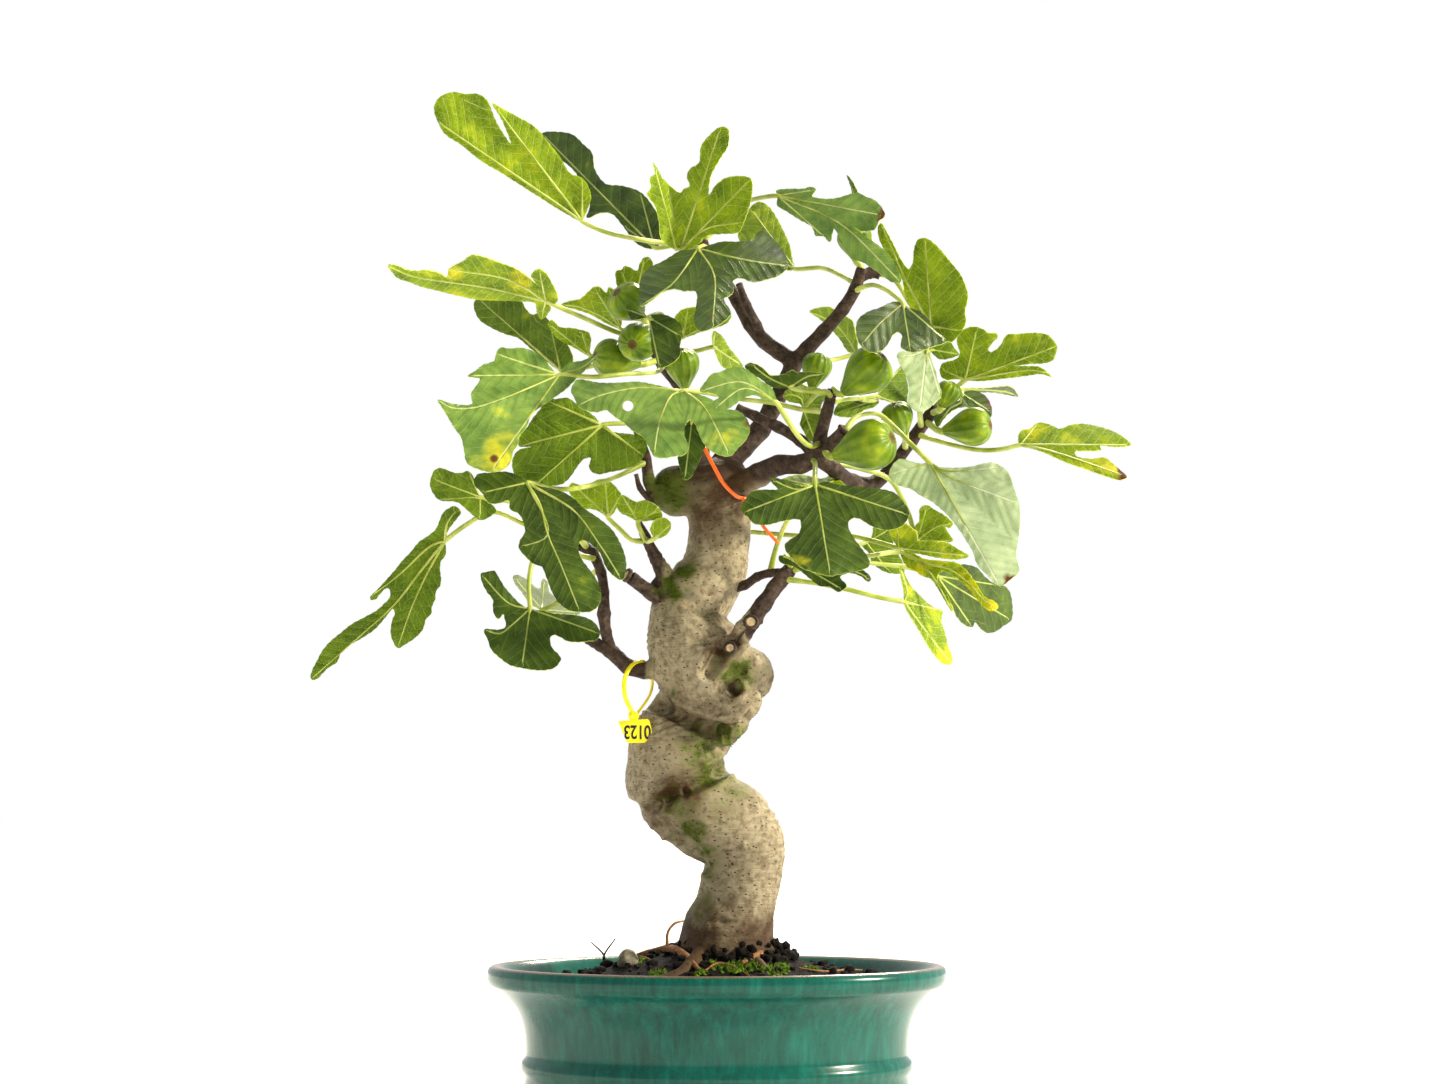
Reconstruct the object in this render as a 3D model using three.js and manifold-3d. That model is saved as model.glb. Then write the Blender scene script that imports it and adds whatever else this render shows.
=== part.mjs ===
// Fig bonsai in an oval glazed pot, in millimetres, +Z up.
// The origin is on the ground under the middle of the pot, and the front faces -Y.
import * as THREE from 'three';
import { mergeVertices } from 'three/addons/utils/BufferGeometryUtils.js';
import Module from 'manifold-3d';

const wasm = await Module();
wasm.setup();

// Pot: an oval, so its depth is a fixed share of its width.
const POT_WIDTH = 271;
const POT_HEIGHT = 123;
const POT_DEPTH_SHARE = 0.8;
const POT_WALL = 7;
const POT_FLOOR_TOP = 15;
const POT_FOOT_HEIGHT = 6;
const DRAIN_HOLE_RADIUS = 11;
const SCREEN_RADIUS = 17;
const SCREEN_THICK = 1;

// Soil: its level at the wall, and the mound round the trunk.
const SOIL_EDGE_LEVEL = 113;
const SOIL_MOUND_RISE = 21;

// Plant sizes.
const BLADE_THICK = 0.8;
const PETIOLE_RADIUS = 1.5;
const SEAT_GAP = 0.3;

// Places on the plant are read off the front view as [steps across, steps down, depth in mm].
// One step is 0.6 mm at the trunk. Depth runs away from the viewer, so the front is negative.
const STEP = 0.6;
const VIEW_MIDDLE = [722.5, 542];
const AIM = new THREE.Vector3(3.3, 0, 374);
const EYE_DISTANCE = 1600;
const EYE_HEIGHT = 218;
const EYE = new THREE.Vector3(
  AIM.x,
  -Math.sqrt(EYE_DISTANCE ** 2 - (AIM.z - EYE_HEIGHT) ** 2),
  EYE_HEIGHT,
);
const VIEW_UP = AIM.clone().sub(EYE).cross(new THREE.Vector3(-1, 0, 0)).normalize();

function seen([across, down, depth]) {
  const onView = AIM.clone()
    .addScaledVector(new THREE.Vector3(1, 0, 0), (across - VIEW_MIDDLE[0]) * STEP)
    .addScaledVector(VIEW_UP, (VIEW_MIDDLE[1] - down) * STEP);
  const ray = onView.sub(EYE);
  return EYE.clone().addScaledVector(ray, (depth - EYE.y) / ray.y);
}

// Joins and cuts

function solid(geometry) {
  const bare = geometry.clone();
  bare.deleteAttribute('normal');
  bare.deleteAttribute('uv');
  const merged = mergeVertices(bare, 1e-4);
  const mesh = new wasm.Mesh({
    numProp: 3,
    vertProperties: new Float32Array(merged.attributes.position.array),
    triVerts: new Uint32Array(merged.index.array),
  });
  return new wasm.Manifold(mesh);
}

function geometryOf(body) {
  const mesh = body.getMesh();
  const geometry = new THREE.BufferGeometry();
  geometry.setAttribute('position', new THREE.BufferAttribute(mesh.vertProperties, 3));
  geometry.setIndex(new THREE.BufferAttribute(mesh.triVerts, 1));
  geometry.computeVertexNormals();
  return geometry;
}

function joined(bodies) {
  return bodies.reduce((sum, body) => sum.add(body));
}

// A cut can leave a loose scrap: only the largest piece is kept.
function largest(body) {
  const pieces = body.decompose();
  return pieces.reduce((best, piece) => (piece.volume() > best.volume() ? piece : best));
}

// A mesh from rings of points, closed at both ends by a fan round the end's middle.
function ringSkin(rings, firstMiddle, lastMiddle) {
  const sides = rings[0].length;
  const points = [...rings.flat(), firstMiddle, lastMiddle];
  const first = rings.length * sides;
  const last = first + 1;
  const faces = [];
  for (let side = 0; side < sides; side += 1) {
    const next = (side + 1) % sides;
    for (let ring = 0; ring + 1 < rings.length; ring += 1) {
      const low = ring * sides;
      const high = low + sides;
      faces.push(low + side, low + next, high + next, low + side, high + next, high + side);
    }
    const top = (rings.length - 1) * sides;
    faces.push(first, next, side, last, top + side, top + next);
  }
  const geometry = new THREE.BufferGeometry().setFromPoints(points);
  geometry.setIndex(faces);
  return geometry;
}

// A round stem along a curve through the points, with a radius at each point.
function stem(points, radii, sides, stepsPerSpan, grow = 0, lump = 0) {
  const curve = new THREE.CatmullRomCurve3(points, false, 'centripetal');
  const spans = points.length - 1;
  const steps = spans * stepsPerSpan;
  const frames = curve.computeFrenetFrames(steps, false);
  const rings = [];
  for (let step = 0; step <= steps; step += 1) {
    const along = step / stepsPerSpan;
    const span = Math.min(Math.floor(along), spans - 1);
    const share = THREE.MathUtils.smoothstep(along - span, 0, 1);
    const radius = THREE.MathUtils.lerp(radii[span], radii[span + 1], share);
    const middle = curve.getPoint(step / steps);
    const ring = [];
    for (let side = 0; side < sides; side += 1) {
      const turn = (2 * Math.PI * side) / sides;
      const swell = 1 + lump * (Math.sin(3 * turn + 0.7 * step) + 0.6 * Math.sin(2 * turn - 0.4 * step));
      const reach = radius * swell + grow;
      ring.push(middle.clone()
        .addScaledVector(frames.normals[step], Math.cos(turn) * reach)
        .addScaledVector(frames.binormals[step], Math.sin(turn) * reach));
    }
    rings.push(ring);
  }
  const firstMiddle = points[0].clone().addScaledVector(frames.tangents[0], -grow);
  const lastMiddle = points[spans].clone().addScaledVector(frames.tangents[steps], grow);
  return solid(ringSkin(rings, firstMiddle, lastMiddle));
}

function ball(place, radius, detail, squash = [1, 1, 1]) {
  const geometry = new THREE.IcosahedronGeometry(radius, detail);
  geometry.scale(...squash);
  geometry.translate(place.x, place.y, place.z);
  return solid(geometry);
}

// An oval turned solid: a profile of [half width, height] pairs round the pot's axis.
function oval(profile, segments) {
  const outline = profile.map(([reach, height]) => new THREE.Vector2(reach, height));
  const geometry = new THREE.LatheGeometry(outline, segments);
  geometry.rotateX(Math.PI / 2);
  geometry.scale(1, POT_DEPTH_SHARE, 1);
  return solid(geometry);
}

// Pot and soil

const RIM = POT_WIDTH / 2;
const FOOT_OUTER = 97;
const FOOT_INNER = 83;
const SOIL_WALL_GAP = SEAT_GAP;

// Half width of the inside of the pot at a height.
const POT_INSIDE = [[95, POT_FLOOR_TOP], [102, 40], [104, 82], [112, 104], [124, 119]];

const POT_PROFILE = [
  [0, POT_FOOT_HEIGHT], [FOOT_INNER, POT_FOOT_HEIGHT], [FOOT_INNER, 0], [FOOT_OUTER, 0],
  [FOOT_OUTER, 9], [110, 28], [113, 46], [111, 60], [113.5, 65], [113.5, 69], [111, 74],
  [112, 88], [117, 101], [126, 110], [RIM, 116], [RIM, 120], [RIM - 3, POT_HEIGHT],
  [127, POT_HEIGHT], ...POT_INSIDE.toReversed(), [0, POT_FLOOR_TOP],
];
const POT_SEGMENTS = 30;

function drainHole() {
  const length = POT_WALL + POT_FLOOR_TOP;
  const geometry = new THREE.CylinderGeometry(DRAIN_HOLE_RADIUS, DRAIN_HOLE_RADIUS, 2 * length, 20);
  geometry.rotateX(Math.PI / 2);
  return solid(geometry);
}

function screenDisc(radius, thick, lift) {
  const geometry = new THREE.CylinderGeometry(radius, radius, thick, 20);
  geometry.rotateX(Math.PI / 2);
  geometry.translate(0, 0, POT_FLOOR_TOP + lift + thick / 2);
  return solid(geometry);
}

// Height of the soil at a place: level at the wall, with a mound in the middle.
const SOIL_REACH = 117;
function soilTop(x, y) {
  const out = Math.min(Math.hypot(x, y / POT_DEPTH_SHARE) / SOIL_REACH, 1);
  return SOIL_EDGE_LEVEL + SOIL_MOUND_RISE * (0.5 + 0.5 * Math.cos(Math.PI * out));
}

function soilBody() {
  const wall = POT_INSIDE.filter(([, height]) => height < SOIL_EDGE_LEVEL)
    .map(([reach, height]) => [reach - SOIL_WALL_GAP, height + SOIL_WALL_GAP]);
  const top = [];
  const rings = 4;
  for (let ring = rings; ring > 0; ring -= 1) {
    const reach = (SOIL_REACH * ring) / rings;
    top.push([reach, soilTop(reach, 0)]);
  }
  const bottom = POT_FLOOR_TOP + SOIL_WALL_GAP;
  return oval([[0, bottom], ...wall, ...top, [0, soilTop(0, 0)]], POT_SEGMENTS);
}

// Wood: each route is a list of places, with the radius of the wood at each of them.

const TOP_SHOOT = [702, 242, 20];
const RIGHT_ARM_TIP = [862, 268, -14];
const RIGHT_ARM_SPUR = [879, 274, -10];
const MIDDLE_FORK = [795, 362, 8];
const RIGHT_FORK = [817, 457, -52];
const RIGHT_SPUR_TIP = [833, 389, -62];
const STUB_TIP = [845, 431, -70];
const FAR_RIGHT_TIP = [935, 408, 4];
const LOW_RIGHT_TIP = [796, 561, -28];
const LOW_LEFT_FORK = [611, 652, -14];
const RISER_TIP = [581, 545, 2];
const SPRIG_TIP = [638, 520, -14];
const LEFT_TWIG_TIP = [635, 428, -18];
const FRUIT_SPUR_TIP = [648, 322, 4];

const TRUNK = {
  route: [
    [728, 1008, 0], [727, 978, 0], [727, 950, 0], [728, 934, 0], [737, 900, 0], [743, 866, 0],
    [742, 846, -1], [729, 827, -3], [706, 813, -4], [686, 793, -3], [677, 768, 0], [678, 745, 3],
    [690, 722, 5], [706, 700, 3], [709, 680, 0], [700, 660, -2], [690, 636, -3], [689, 611, -1],
    [702, 590, 2], [714, 570, 4], [718, 548, 4], [720, 528, 2], [718, 508, 0], [711, 490, -2],
    [704, 474, -3], [700, 464, -3],
  ],
  radii: [
    24, 30, 30.5, 27.5, 23.5, 23.5, 25.5, 27, 28, 29, 29.5, 28.5, 27.5, 28.5, 30, 30.5, 26, 22.5,
    21.5, 20, 18.7, 18.6, 19.5, 20.5, 18, 11,
  ],
};

// Burls and knots that stand out of the trunk.
const BURLS = [
  { at: [747, 676, -5], radius: 17 },
  { at: [668, 802, -2], radius: 18 },
  { at: [677, 491, -5], radius: 15.5 },
  { at: [666, 590, -5], radius: 9.5 },
  { at: [727, 476, -3], radius: 12 },
];

const BRANCHES = [
  // Right branch to its fork, the spur above the fork and the cut stub beside it
  {
    route: [[718, 488, 0], [740, 484, -10], [759, 475, -20], [779, 465, -34], [801, 464, -46], RIGHT_FORK],
    radii: [10, 8, 7, 6, 5.6, 5.4],
  },
  { route: [RIGHT_FORK, [820, 439, -55], [827, 412, -59], RIGHT_SPUR_TIP], radii: [5, 4, 3.6, 3.2] },
  { route: [RIGHT_FORK, [831, 445, -61], STUB_TIP], radii: [4.6, 4.4, 4] },
  // Far right branch behind the figs
  {
    route: [RIGHT_FORK, [835, 470, -38], [852, 481, -22], [876, 482, -8], [893, 465, 0], [911, 441, 4],
      FAR_RIGHT_TIP],
    radii: [4.8, 4.4, 4.2, 4, 3.8, 3.8, 3.8],
  },
  // Middle branch, its two arms and the twig beside the left arm
  {
    route: [[714, 480, 0], [727, 462, 2], [742, 447, 4], [760, 430, 7], [772, 408, 9], [784, 385, 9],
      MIDDLE_FORK],
    radii: [10, 8.5, 7, 6.2, 5.6, 5.4, 5.2],
  },
  {
    route: [MIDDLE_FORK, [779, 352, 5], [764, 341, 0], [750, 324, -2], [738, 302, 2], [724, 280, 9],
      [711, 262, 16], TOP_SHOOT],
    radii: [5, 4.8, 4.6, 4.4, 4.1, 3.8, 4, 3.6],
  },
  { route: [[764, 341, 0], [757, 325, -7], [747, 305, -10], [739, 284, -8]], radii: [3, 2.7, 2.4, 1.9] },
  {
    route: [MIDDLE_FORK, [807, 349, 3], [823, 332, -3], [843, 309, -9], [855, 289, -12], RIGHT_ARM_TIP],
    radii: [5, 4.7, 4.3, 4, 3.8, 3.6],
  },
  { route: [[858, 278, -12], [870, 273, -11], RIGHT_ARM_SPUR], radii: [3.6, 3.4, 3] },
  // Short cross branch
  {
    route: [RIGHT_FORK, [801, 441, -42], [778, 427, -32], [755, 416, -26], [737, 408, -24]],
    radii: [4, 3.4, 3.2, 3, 2.6],
  },
  // Low right branch and the thin twig behind it
  {
    route: [[720, 662, -12], [735, 643, -24], [751, 622, -31], [763, 605, -33], [774, 590, -33],
      [786, 575, -31], LOW_RIGHT_TIP],
    radii: [8, 6.6, 5.9, 5, 4.6, 4.2, 3.4],
  },
  {
    route: [[726, 590, 0], [745, 585, -6], [757, 577, -12], [770, 573, -19], [785, 572, -27]],
    radii: [3.4, 2.7, 2.6, 2.5, 2.4],
  },
  // Low left branch and its riser
  {
    route: [[660, 668, -3], [643, 671, -8], [629, 667, -12], LOW_LEFT_FORK, [599, 645, -14], [586, 640, -13]],
    radii: [7, 4.8, 4.5, 4, 3.4, 2.6],
  },
  {
    route: [LOW_LEFT_FORK, [606, 632, -14], [604, 614, -12], [604, 592, -8], [601, 572, -4], [592, 553, 0],
      RISER_TIP],
    radii: [3.8, 3.2, 3.8, 2.9, 2.9, 3.4, 3.4],
  },
  // Cut branch and the short branch with the leafy sprig
  { route: [[672, 604, -6], [650, 592, -14], [630, 577, -20]], radii: [6, 4.4, 4.2] },
  {
    route: [[673, 592, -3], [664, 573, -8], [655, 556, -12], [646, 538, -14], SPRIG_TIP],
    radii: [5, 4.6, 3.5, 3, 2.2],
  },
  // Left twig with a bare side twig
  {
    route: [[672, 500, -4], [658, 499, -9], [649, 480, -14], [646, 458, -16], [641, 441, -18], LEFT_TWIG_TIP],
    radii: [6, 4.2, 3.7, 3.2, 2.7, 2],
  },
  { route: [[660, 502, -8], [648, 497, -12], [640, 488, -15], [636, 474, -17]], radii: [2.4, 2, 1.7, 1.2] },
  // Hidden branch at the upper left that carries the bunch of figs
  {
    route: [[700, 480, 2], [698, 452, 6], [695, 425, 10], [689, 402, 12], [677, 382, 12], [663, 366, 8],
      [655, 352, 5], [650, 338, 3], FRUIT_SPUR_TIP],
    radii: [9, 6.5, 5.2, 4.6, 4.1, 3.7, 3.3, 2.8, 2.2],
  },
];

// Surface roots as [x, y, radius], laid on the soil.
const ROOTS = [
  [[-8, -18, 7], [-14, -36, 5], [-24, -52, 4.2], [-40, -58, 3.6], [-56, -54, 2.6], [-66, -50, 1.4]],
  [[16, -18, 7], [24, -34, 4.5], [31, -46, 3.2], [40, -54, 1.6]],
  [[-20, 6, 8], [-34, 14, 5], [-50, 18, 3.4], [-64, 26, 1.6]],
  [[20, 12, 8], [32, 24, 5], [44, 40, 3], [50, 54, 1.6]],
  [[2, 22, 8], [0, 38, 4.4], [-8, 54, 2.6], [-12, 64, 1.4]],
];
const ROOT_SINK = 0.4;

function wood(grow) {
  const bodies = [stem(TRUNK.route.map(seen), TRUNK.radii, 12, 1, grow, 0.03)];
  for (const { at, radius } of BURLS) {
    bodies.push(ball(seen(at), radius + grow, 1));
  }
  for (const { route, radii } of BRANCHES) {
    bodies.push(stem(route.map(seen), radii, 6, 1, grow));
  }
  for (const root of ROOTS) {
    const places = root.map(([x, y, radius]) => new THREE.Vector3(x, y, soilTop(x, y) + ROOT_SINK * radius));
    bodies.push(stem(places, root.map(([, , radius]) => radius), 6, 1, grow));
  }
  return joined(bodies);
}

// Leaves
// A leaf is drawn in the front view. Its outline runs round the blade from the base, where the stalk
// ends, back to the base. Each vein is a row of across and down values from the base to the tip of
// its lobe. The blade leans in depth by so many mm for each step across and each step down.

// Depth that the blade loses for each mm away from a vein, and its arch as a share of its reach.
const PLEAT = 0.14;
const ARCH = 0.05;

function flatPlace([across, down]) {
  return new THREE.Vector2(across, down);
}

function veinPlaces(row) {
  const places = [];
  for (let i = 0; i < row.length; i += 2) {
    places.push(new THREE.Vector2(row[i], row[i + 1]));
  }
  return places;
}

function distanceToSpan(place, from, to) {
  const span = to.clone().sub(from);
  const share = THREE.MathUtils.clamp(place.clone().sub(from).dot(span) / span.lengthSq(), 0, 1);
  return place.distanceTo(from.clone().addScaledVector(span, share));
}

// A vein ends at the point of the outline next to its tip. A straight vein gets one middle point.
function leafPlan(leaf) {
  const base = flatPlace(leaf.base);
  const outline = leaf.outline.map(flatPlace);
  const veins = leaf.veins.map((row) => {
    const places = veinPlaces(row);
    const tip = places.pop();
    const distances = outline.map((place) => place.distanceTo(tip));
    const end = distances.indexOf(Math.min(...distances));
    const bends = places.length ? places : [base.clone().lerp(outline[end], 0.5)];
    return { end, bends, line: [base, ...bends, outline[end]] };
  });
  const reach = Math.max(...outline.map((place) => place.distanceTo(base)));
  return { leaf, base, outline, veins, reach };
}

function bladePoint(plan, place) {
  const { leaf, base, veins, reach } = plan;
  const spans = veins.flatMap(({ line }) => line.slice(1).map((to, i) => [line[i], to]));
  const away = Math.min(...spans.map(([from, to]) => distanceToSpan(place, from, to)));
  const out = place.distanceTo(base) / reach;
  const arch = (leaf.arch ?? ARCH) * reach * 4 * out * (1 - out);
  const lean = leaf.lean[0] * (place.x - base.x) + leaf.lean[1] * (place.y - base.y);
  return seen([place.x, place.y, leaf.base[2] + lean + STEP * (PLEAT * away - arch)]);
}

// How good a triangle is to cut off a ring: its shape, less a fine if it turns the wrong way or
// holds another corner of the ring.
function earScore(corners, before, here, after, others) {
  const near = before.distanceToSquared(here) + here.distanceToSquared(after);
  const sides = near + after.distanceToSquared(before);
  const area = THREE.ShapeUtils.area([before, here, after]) * Math.sign(THREE.ShapeUtils.area(corners));
  const holds = others.some((place) => {
    const parts = [[before, here], [here, after], [after, before]]
      .map(([from, to]) => Math.sign(THREE.ShapeUtils.area([from, to, place])));
    return parts[0] !== 0 && parts.every((part) => part === parts[0]);
  });
  return area / sides - (area <= 0 ? 1 : 0) - (holds ? 1 : 0);
}

// Fills a ring of corners with triangles. Every corner is used, also one on a straight edge.
function filled(ring, places) {
  const corners = ring.map((i) => places[i]);
  const left = [...ring];
  const triangles = [];
  while (left.length > 3) {
    const scores = left.map((here, i) => {
      const before = left.at(i - 1);
      const after = left[(i + 1) % left.length];
      const others = left
        .filter((other) => ![before, here, after].includes(other))
        .map((other) => places[other]);
      return earScore(corners, places[before], places[here], places[after], others);
    });
    const best = scores.indexOf(Math.max(...scores));
    triangles.push([left.at(best - 1), left[best], left[(best + 1) % left.length]]);
    left.splice(best, 1);
  }
  return [...triangles, left];
}

// The blade is cut along its veins into sectors. Each sector is filled with triangles.
function blade(plan) {
  const { base, outline, veins } = plan;
  const places = [base, ...outline];
  const bendStarts = veins.map(({ bends }) => {
    const start = places.length;
    places.push(...bends);
    return start;
  });
  const bendsOf = (vein) => veins[vein].bends.map((_, i) => bendStarts[vein] + i);
  const faces = [];
  for (let sector = 0; sector <= veins.length; sector += 1) {
    const from = sector === 0 ? 0 : veins[sector - 1].end;
    const to = sector === veins.length ? outline.length - 1 : veins[sector].end;
    const out = sector === 0 ? [] : bendsOf(sector - 1);
    const back = sector === veins.length ? [] : bendsOf(sector).toReversed();
    const edge = [];
    for (let i = from; i <= to; i += 1) {
      edge.push(i + 1);
    }
    faces.push(...filled([0, ...out, ...edge, ...back], places));
  }
  const rim = [0, ...outline.map((_, i) => i + 1)];
  return thickened(places.map((place) => bladePoint(plan, place)), faces, rim);
}

// A sheet with the same triangles on both faces and a strip round its rim.
function thickened(points, faces, rim) {
  const normals = points.map(() => new THREE.Vector3());
  for (const [a, b, c] of faces) {
    const across = points[b].clone().sub(points[a]).cross(points[c].clone().sub(points[a]));
    for (const corner of [a, b, c]) {
      normals[corner].add(across);
    }
  }
  const count = points.length;
  const half = BLADE_THICK / 2;
  const skin = [1, -1].flatMap((side) => points.map((point, i) => (
    point.clone().addScaledVector(normals[i].clone().normalize(), side * half))));
  const index = [];
  for (const [a, b, c] of faces) {
    index.push(a, b, c, count + a, count + c, count + b);
  }
  rim.forEach((here, i) => {
    const next = rim[(i + 1) % rim.length];
    index.push(here, count + here, count + next, here, count + next, next);
  });
  const geometry = new THREE.BufferGeometry().setFromPoints(skin);
  geometry.setIndex(index);
  return solid(geometry);
}

// The stalk runs from the wood to the base of the blade and a little way under its middle vein.
const STALK_RUN_ON = 4;
function stalk(plan) {
  const { leaf, base, veins } = plan;
  const middle = veins[Math.floor(veins.length / 2)];
  const onVein = middle.bends[0].clone().sub(base).setLength(STALK_RUN_ON).add(base);
  const places = [...leaf.stalk.map(seen), seen(leaf.base), bladePoint(plan, onVein)];
  const radii = places.map(() => PETIOLE_RADIUS);
  radii[0] = 1.25 * PETIOLE_RADIUS;
  radii[places.length - 1] = 0.6 * PETIOLE_RADIUS;
  return stem(places, radii, 5, 1);
}

// A bite through the blade, along the line of sight.
const BITE_SIDES = 8;
function bite([across, down, steps], depth) {
  const middle = seen([across, down, depth]);
  const along = middle.clone().sub(EYE).normalize();
  const geometry = new THREE.CylinderGeometry(steps * STEP, steps * STEP, 24, BITE_SIDES);
  geometry.applyQuaternion(new THREE.Quaternion().setFromUnitVectors(new THREE.Vector3(0, 1, 0), along));
  geometry.translate(middle.x, middle.y, middle.z);
  return solid(geometry);
}

function wholeLeaf(leaf) {
  const plan = leafPlan(leaf);
  const bites = (leaf.bites ?? []).map((row) => bite(row, leaf.base[2]));
  return bites.reduce((rest, hole) => rest.subtract(hole), blade(plan)).add(stalk(plan));
}

const LEAVES = {
  leaf_top_left_spear: [{
    base: [582, 221, 5], lean: [0.1, 0.25], side: 'under',
    stalk: [[704, 248, 20], [686, 249, 26], [668, 244, 26], [637, 239, 15], [606, 232, 9]],
    veins: [[438, 117], [493, 104], [581, 181]],
    outline: [
      [560, 210], [530, 191], [500, 172], [480, 160], [460, 144], [445, 134], [438, 122], [434, 107],
      [440, 97], [453, 92], [466, 94], [478, 94], [487, 100], [495, 119], [503, 133], [511, 144],
      [505, 127], [499, 115], [492, 103], [505, 110], [520, 118], [535, 127], [548, 142], [560, 157],
      [570, 173], [582, 178], [588, 186], [591, 197], [588, 208], [584, 217],
    ],
  }],
  leaf_top_left_back: [{
    base: [655, 248, 45], lean: [-0.5, -0.4],
    stalk: [[707, 255, 18], [690, 251, 34], [675, 246, 42]],
    veins: [[623, 226], [546, 136], [640, 193]],
    outline: [
      [650, 249], [636, 243], [623, 226], [612, 214], [600, 213], [587, 218], [590, 205], [575, 172],
      [556, 155], [542, 134], [558, 132], [573, 135], [584, 145], [592, 153], [595, 170], [606, 184],
      [622, 186], [640, 192], [652, 205], [662, 225], [662, 242],
    ],
  }],
  leaves_top_shoot: [
    {
      base: [676, 249, 0], lean: [0.8, 0.3], side: 'under',
      stalk: [[700, 240, 16], [692, 240, 8], [684, 246, 3]],
      veins: [[653, 165]],
      outline: [
        [668, 246], [661, 238], [659, 222], [655, 206], [650, 199], [647, 194], [651, 188], [650, 178],
        [655, 174], [653, 163], [658, 170], [662, 178], [668, 184], [668, 196], [671, 212], [676, 226],
        [680, 240],
      ],
    },
    {
      base: [681, 250, 8], lean: [-0.4, 0.05], side: 'under',
      stalk: [[700, 240, 16], [690, 243, 12]],
      veins: [[668, 187], [723, 129], [749, 181], [706, 229, 743, 226]],
      outline: [
        [677, 236], [672, 216], [668, 185], [680, 193], [684, 189], [690, 186], [687, 177], [690, 169],
        [699, 163], [701, 147], [708, 137], [721, 127], [728, 129], [728, 146], [722, 156], [716, 166],
        [711, 176], [709, 195], [716, 185], [726, 178], [740, 176], [751, 179], [752, 195], [749, 208],
        [744, 222], [739, 232], [722, 234], [706, 236], [696, 246],
      ],
    },
  ],
  leaf_top_front: [{
    base: [698, 249, -28], lean: [-0.1, -1],
    stalk: [[710, 260, 15], [708, 250, -2], [703, 246, -18]],
    veins: [[671, 286, 643, 304], [714, 275, 718, 327], [740, 259, 787, 267]],
    outline: [
      [690, 250], [680, 251], [672, 256], [660, 263], [649, 268], [642, 277], [639, 289], [641, 306],
      [651, 301], [663, 292], [675, 289], [683, 291], [696, 292], [696, 308], [694, 322], [699, 331],
      [713, 328], [727, 319], [731, 313], [724, 299], [731, 295], [734, 289], [733, 281], [740, 278],
      [753, 282], [768, 279], [780, 275], [788, 266], [785, 254], [777, 243], [769, 235], [761, 231],
      [752, 240], [738, 242], [722, 242], [708, 246],
    ],
  }],
  leaf_top_middle_back: [{
    base: [795, 269, 35], lean: [-0.4, -0.9], side: 'under',
    stalk: [[856, 284, -12], [842, 276, 2], [822, 268, 20]],
    veins: [[752, 207], [741, 240]],
    outline: [
      [793, 262], [790, 246], [783, 230], [775, 215], [768, 206], [759, 202], [750, 208], [744, 220],
      [738, 233], [741, 244], [754, 256], [772, 264], [786, 270],
    ],
  }],
  leaf_top_right_front: [{
    base: [778, 196, -22], lean: [-0.3, -0.35],
    stalk: [[704, 242, 24], [716, 226, 26], [740, 205, 10], [760, 198, -10]],
    veins: [[815, 190], [883, 215], [840, 224, 900, 281], [829, 240]],
    outline: [
      [776, 191], [790, 189], [803, 189], [812, 187], [816, 190], [812, 196], [824, 199], [838, 198],
      [848, 195], [858, 193], [866, 197], [874, 200], [882, 208], [885, 216], [879, 221], [875, 229],
      [862, 231], [849, 224], [860, 233], [875, 243], [888, 254], [896, 266], [901, 282], [892, 282],
      [878, 272], [862, 262], [852, 259], [842, 242], [834, 229], [830, 242], [823, 236], [816, 236],
      [812, 227], [800, 220], [786, 211], [777, 205],
    ],
  }],
  leaf_top_right_back: [{
    base: [868, 232, 50], lean: [-1.5, -0.9], side: 'under',
    stalk: [[870, 273, -11], [873, 256, 14], [872, 242, 36]],
    veins: [[848, 176]],
    outline: [
      [858, 218], [852, 200], [852, 191], [847, 175], [853, 182], [858, 192], [866, 203], [873, 218],
    ],
  }],
  leaf_right_high: [{
    base: [931, 326, -25], lean: [-0.3, 0.1], side: 'under',
    stalk: [RIGHT_ARM_SPUR, [890, 276, -14], [898, 284, -18], [913, 308, -20]],
    veins: [[907, 282, 881, 225], [926, 240], [963, 328]],
    outline: [
      [922, 316], [912, 308], [905, 294], [903, 282], [897, 270], [888, 256], [880, 241], [878, 228],
      [881, 223], [887, 232], [895, 247], [902, 261], [909, 269], [913, 262], [914, 250], [918, 240],
      [925, 238], [934, 243], [944, 254], [954, 266], [962, 277], [968, 296], [965, 312], [966, 321],
      [962, 331], [951, 342], [942, 339], [935, 333],
    ],
  }],
  leaf_right_high_front: [{
    base: [903, 304, -58], lean: [0, -1],
    stalk: [[854, 291, -12], [872, 285, -28], [888, 291, -44]],
    veins: [[882, 322, 862, 345], [910, 350], [945, 340]],
    outline: [
      [897, 302], [890, 303], [880, 308], [868, 312], [858, 320], [856, 332], [861, 346], [870, 352],
      [881, 351], [888, 344], [893, 335], [898, 332], [902, 335], [901, 347], [911, 352], [921, 351],
      [932, 347], [947, 341], [938, 333], [932, 326], [927, 318], [918, 311], [909, 308],
    ],
  }],
  leaves_far_right_tip: [
    {
      base: [965, 380, -5], lean: [-0.15, 0.2], side: 'under',
      stalk: [FAR_RIGHT_TIP, [948, 394, 0], [957, 387, -2]],
      veins: [[943, 368], [978, 330], [1056, 344], [1000, 374, 1028, 370, 1044, 372, 1050, 376]],
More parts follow.
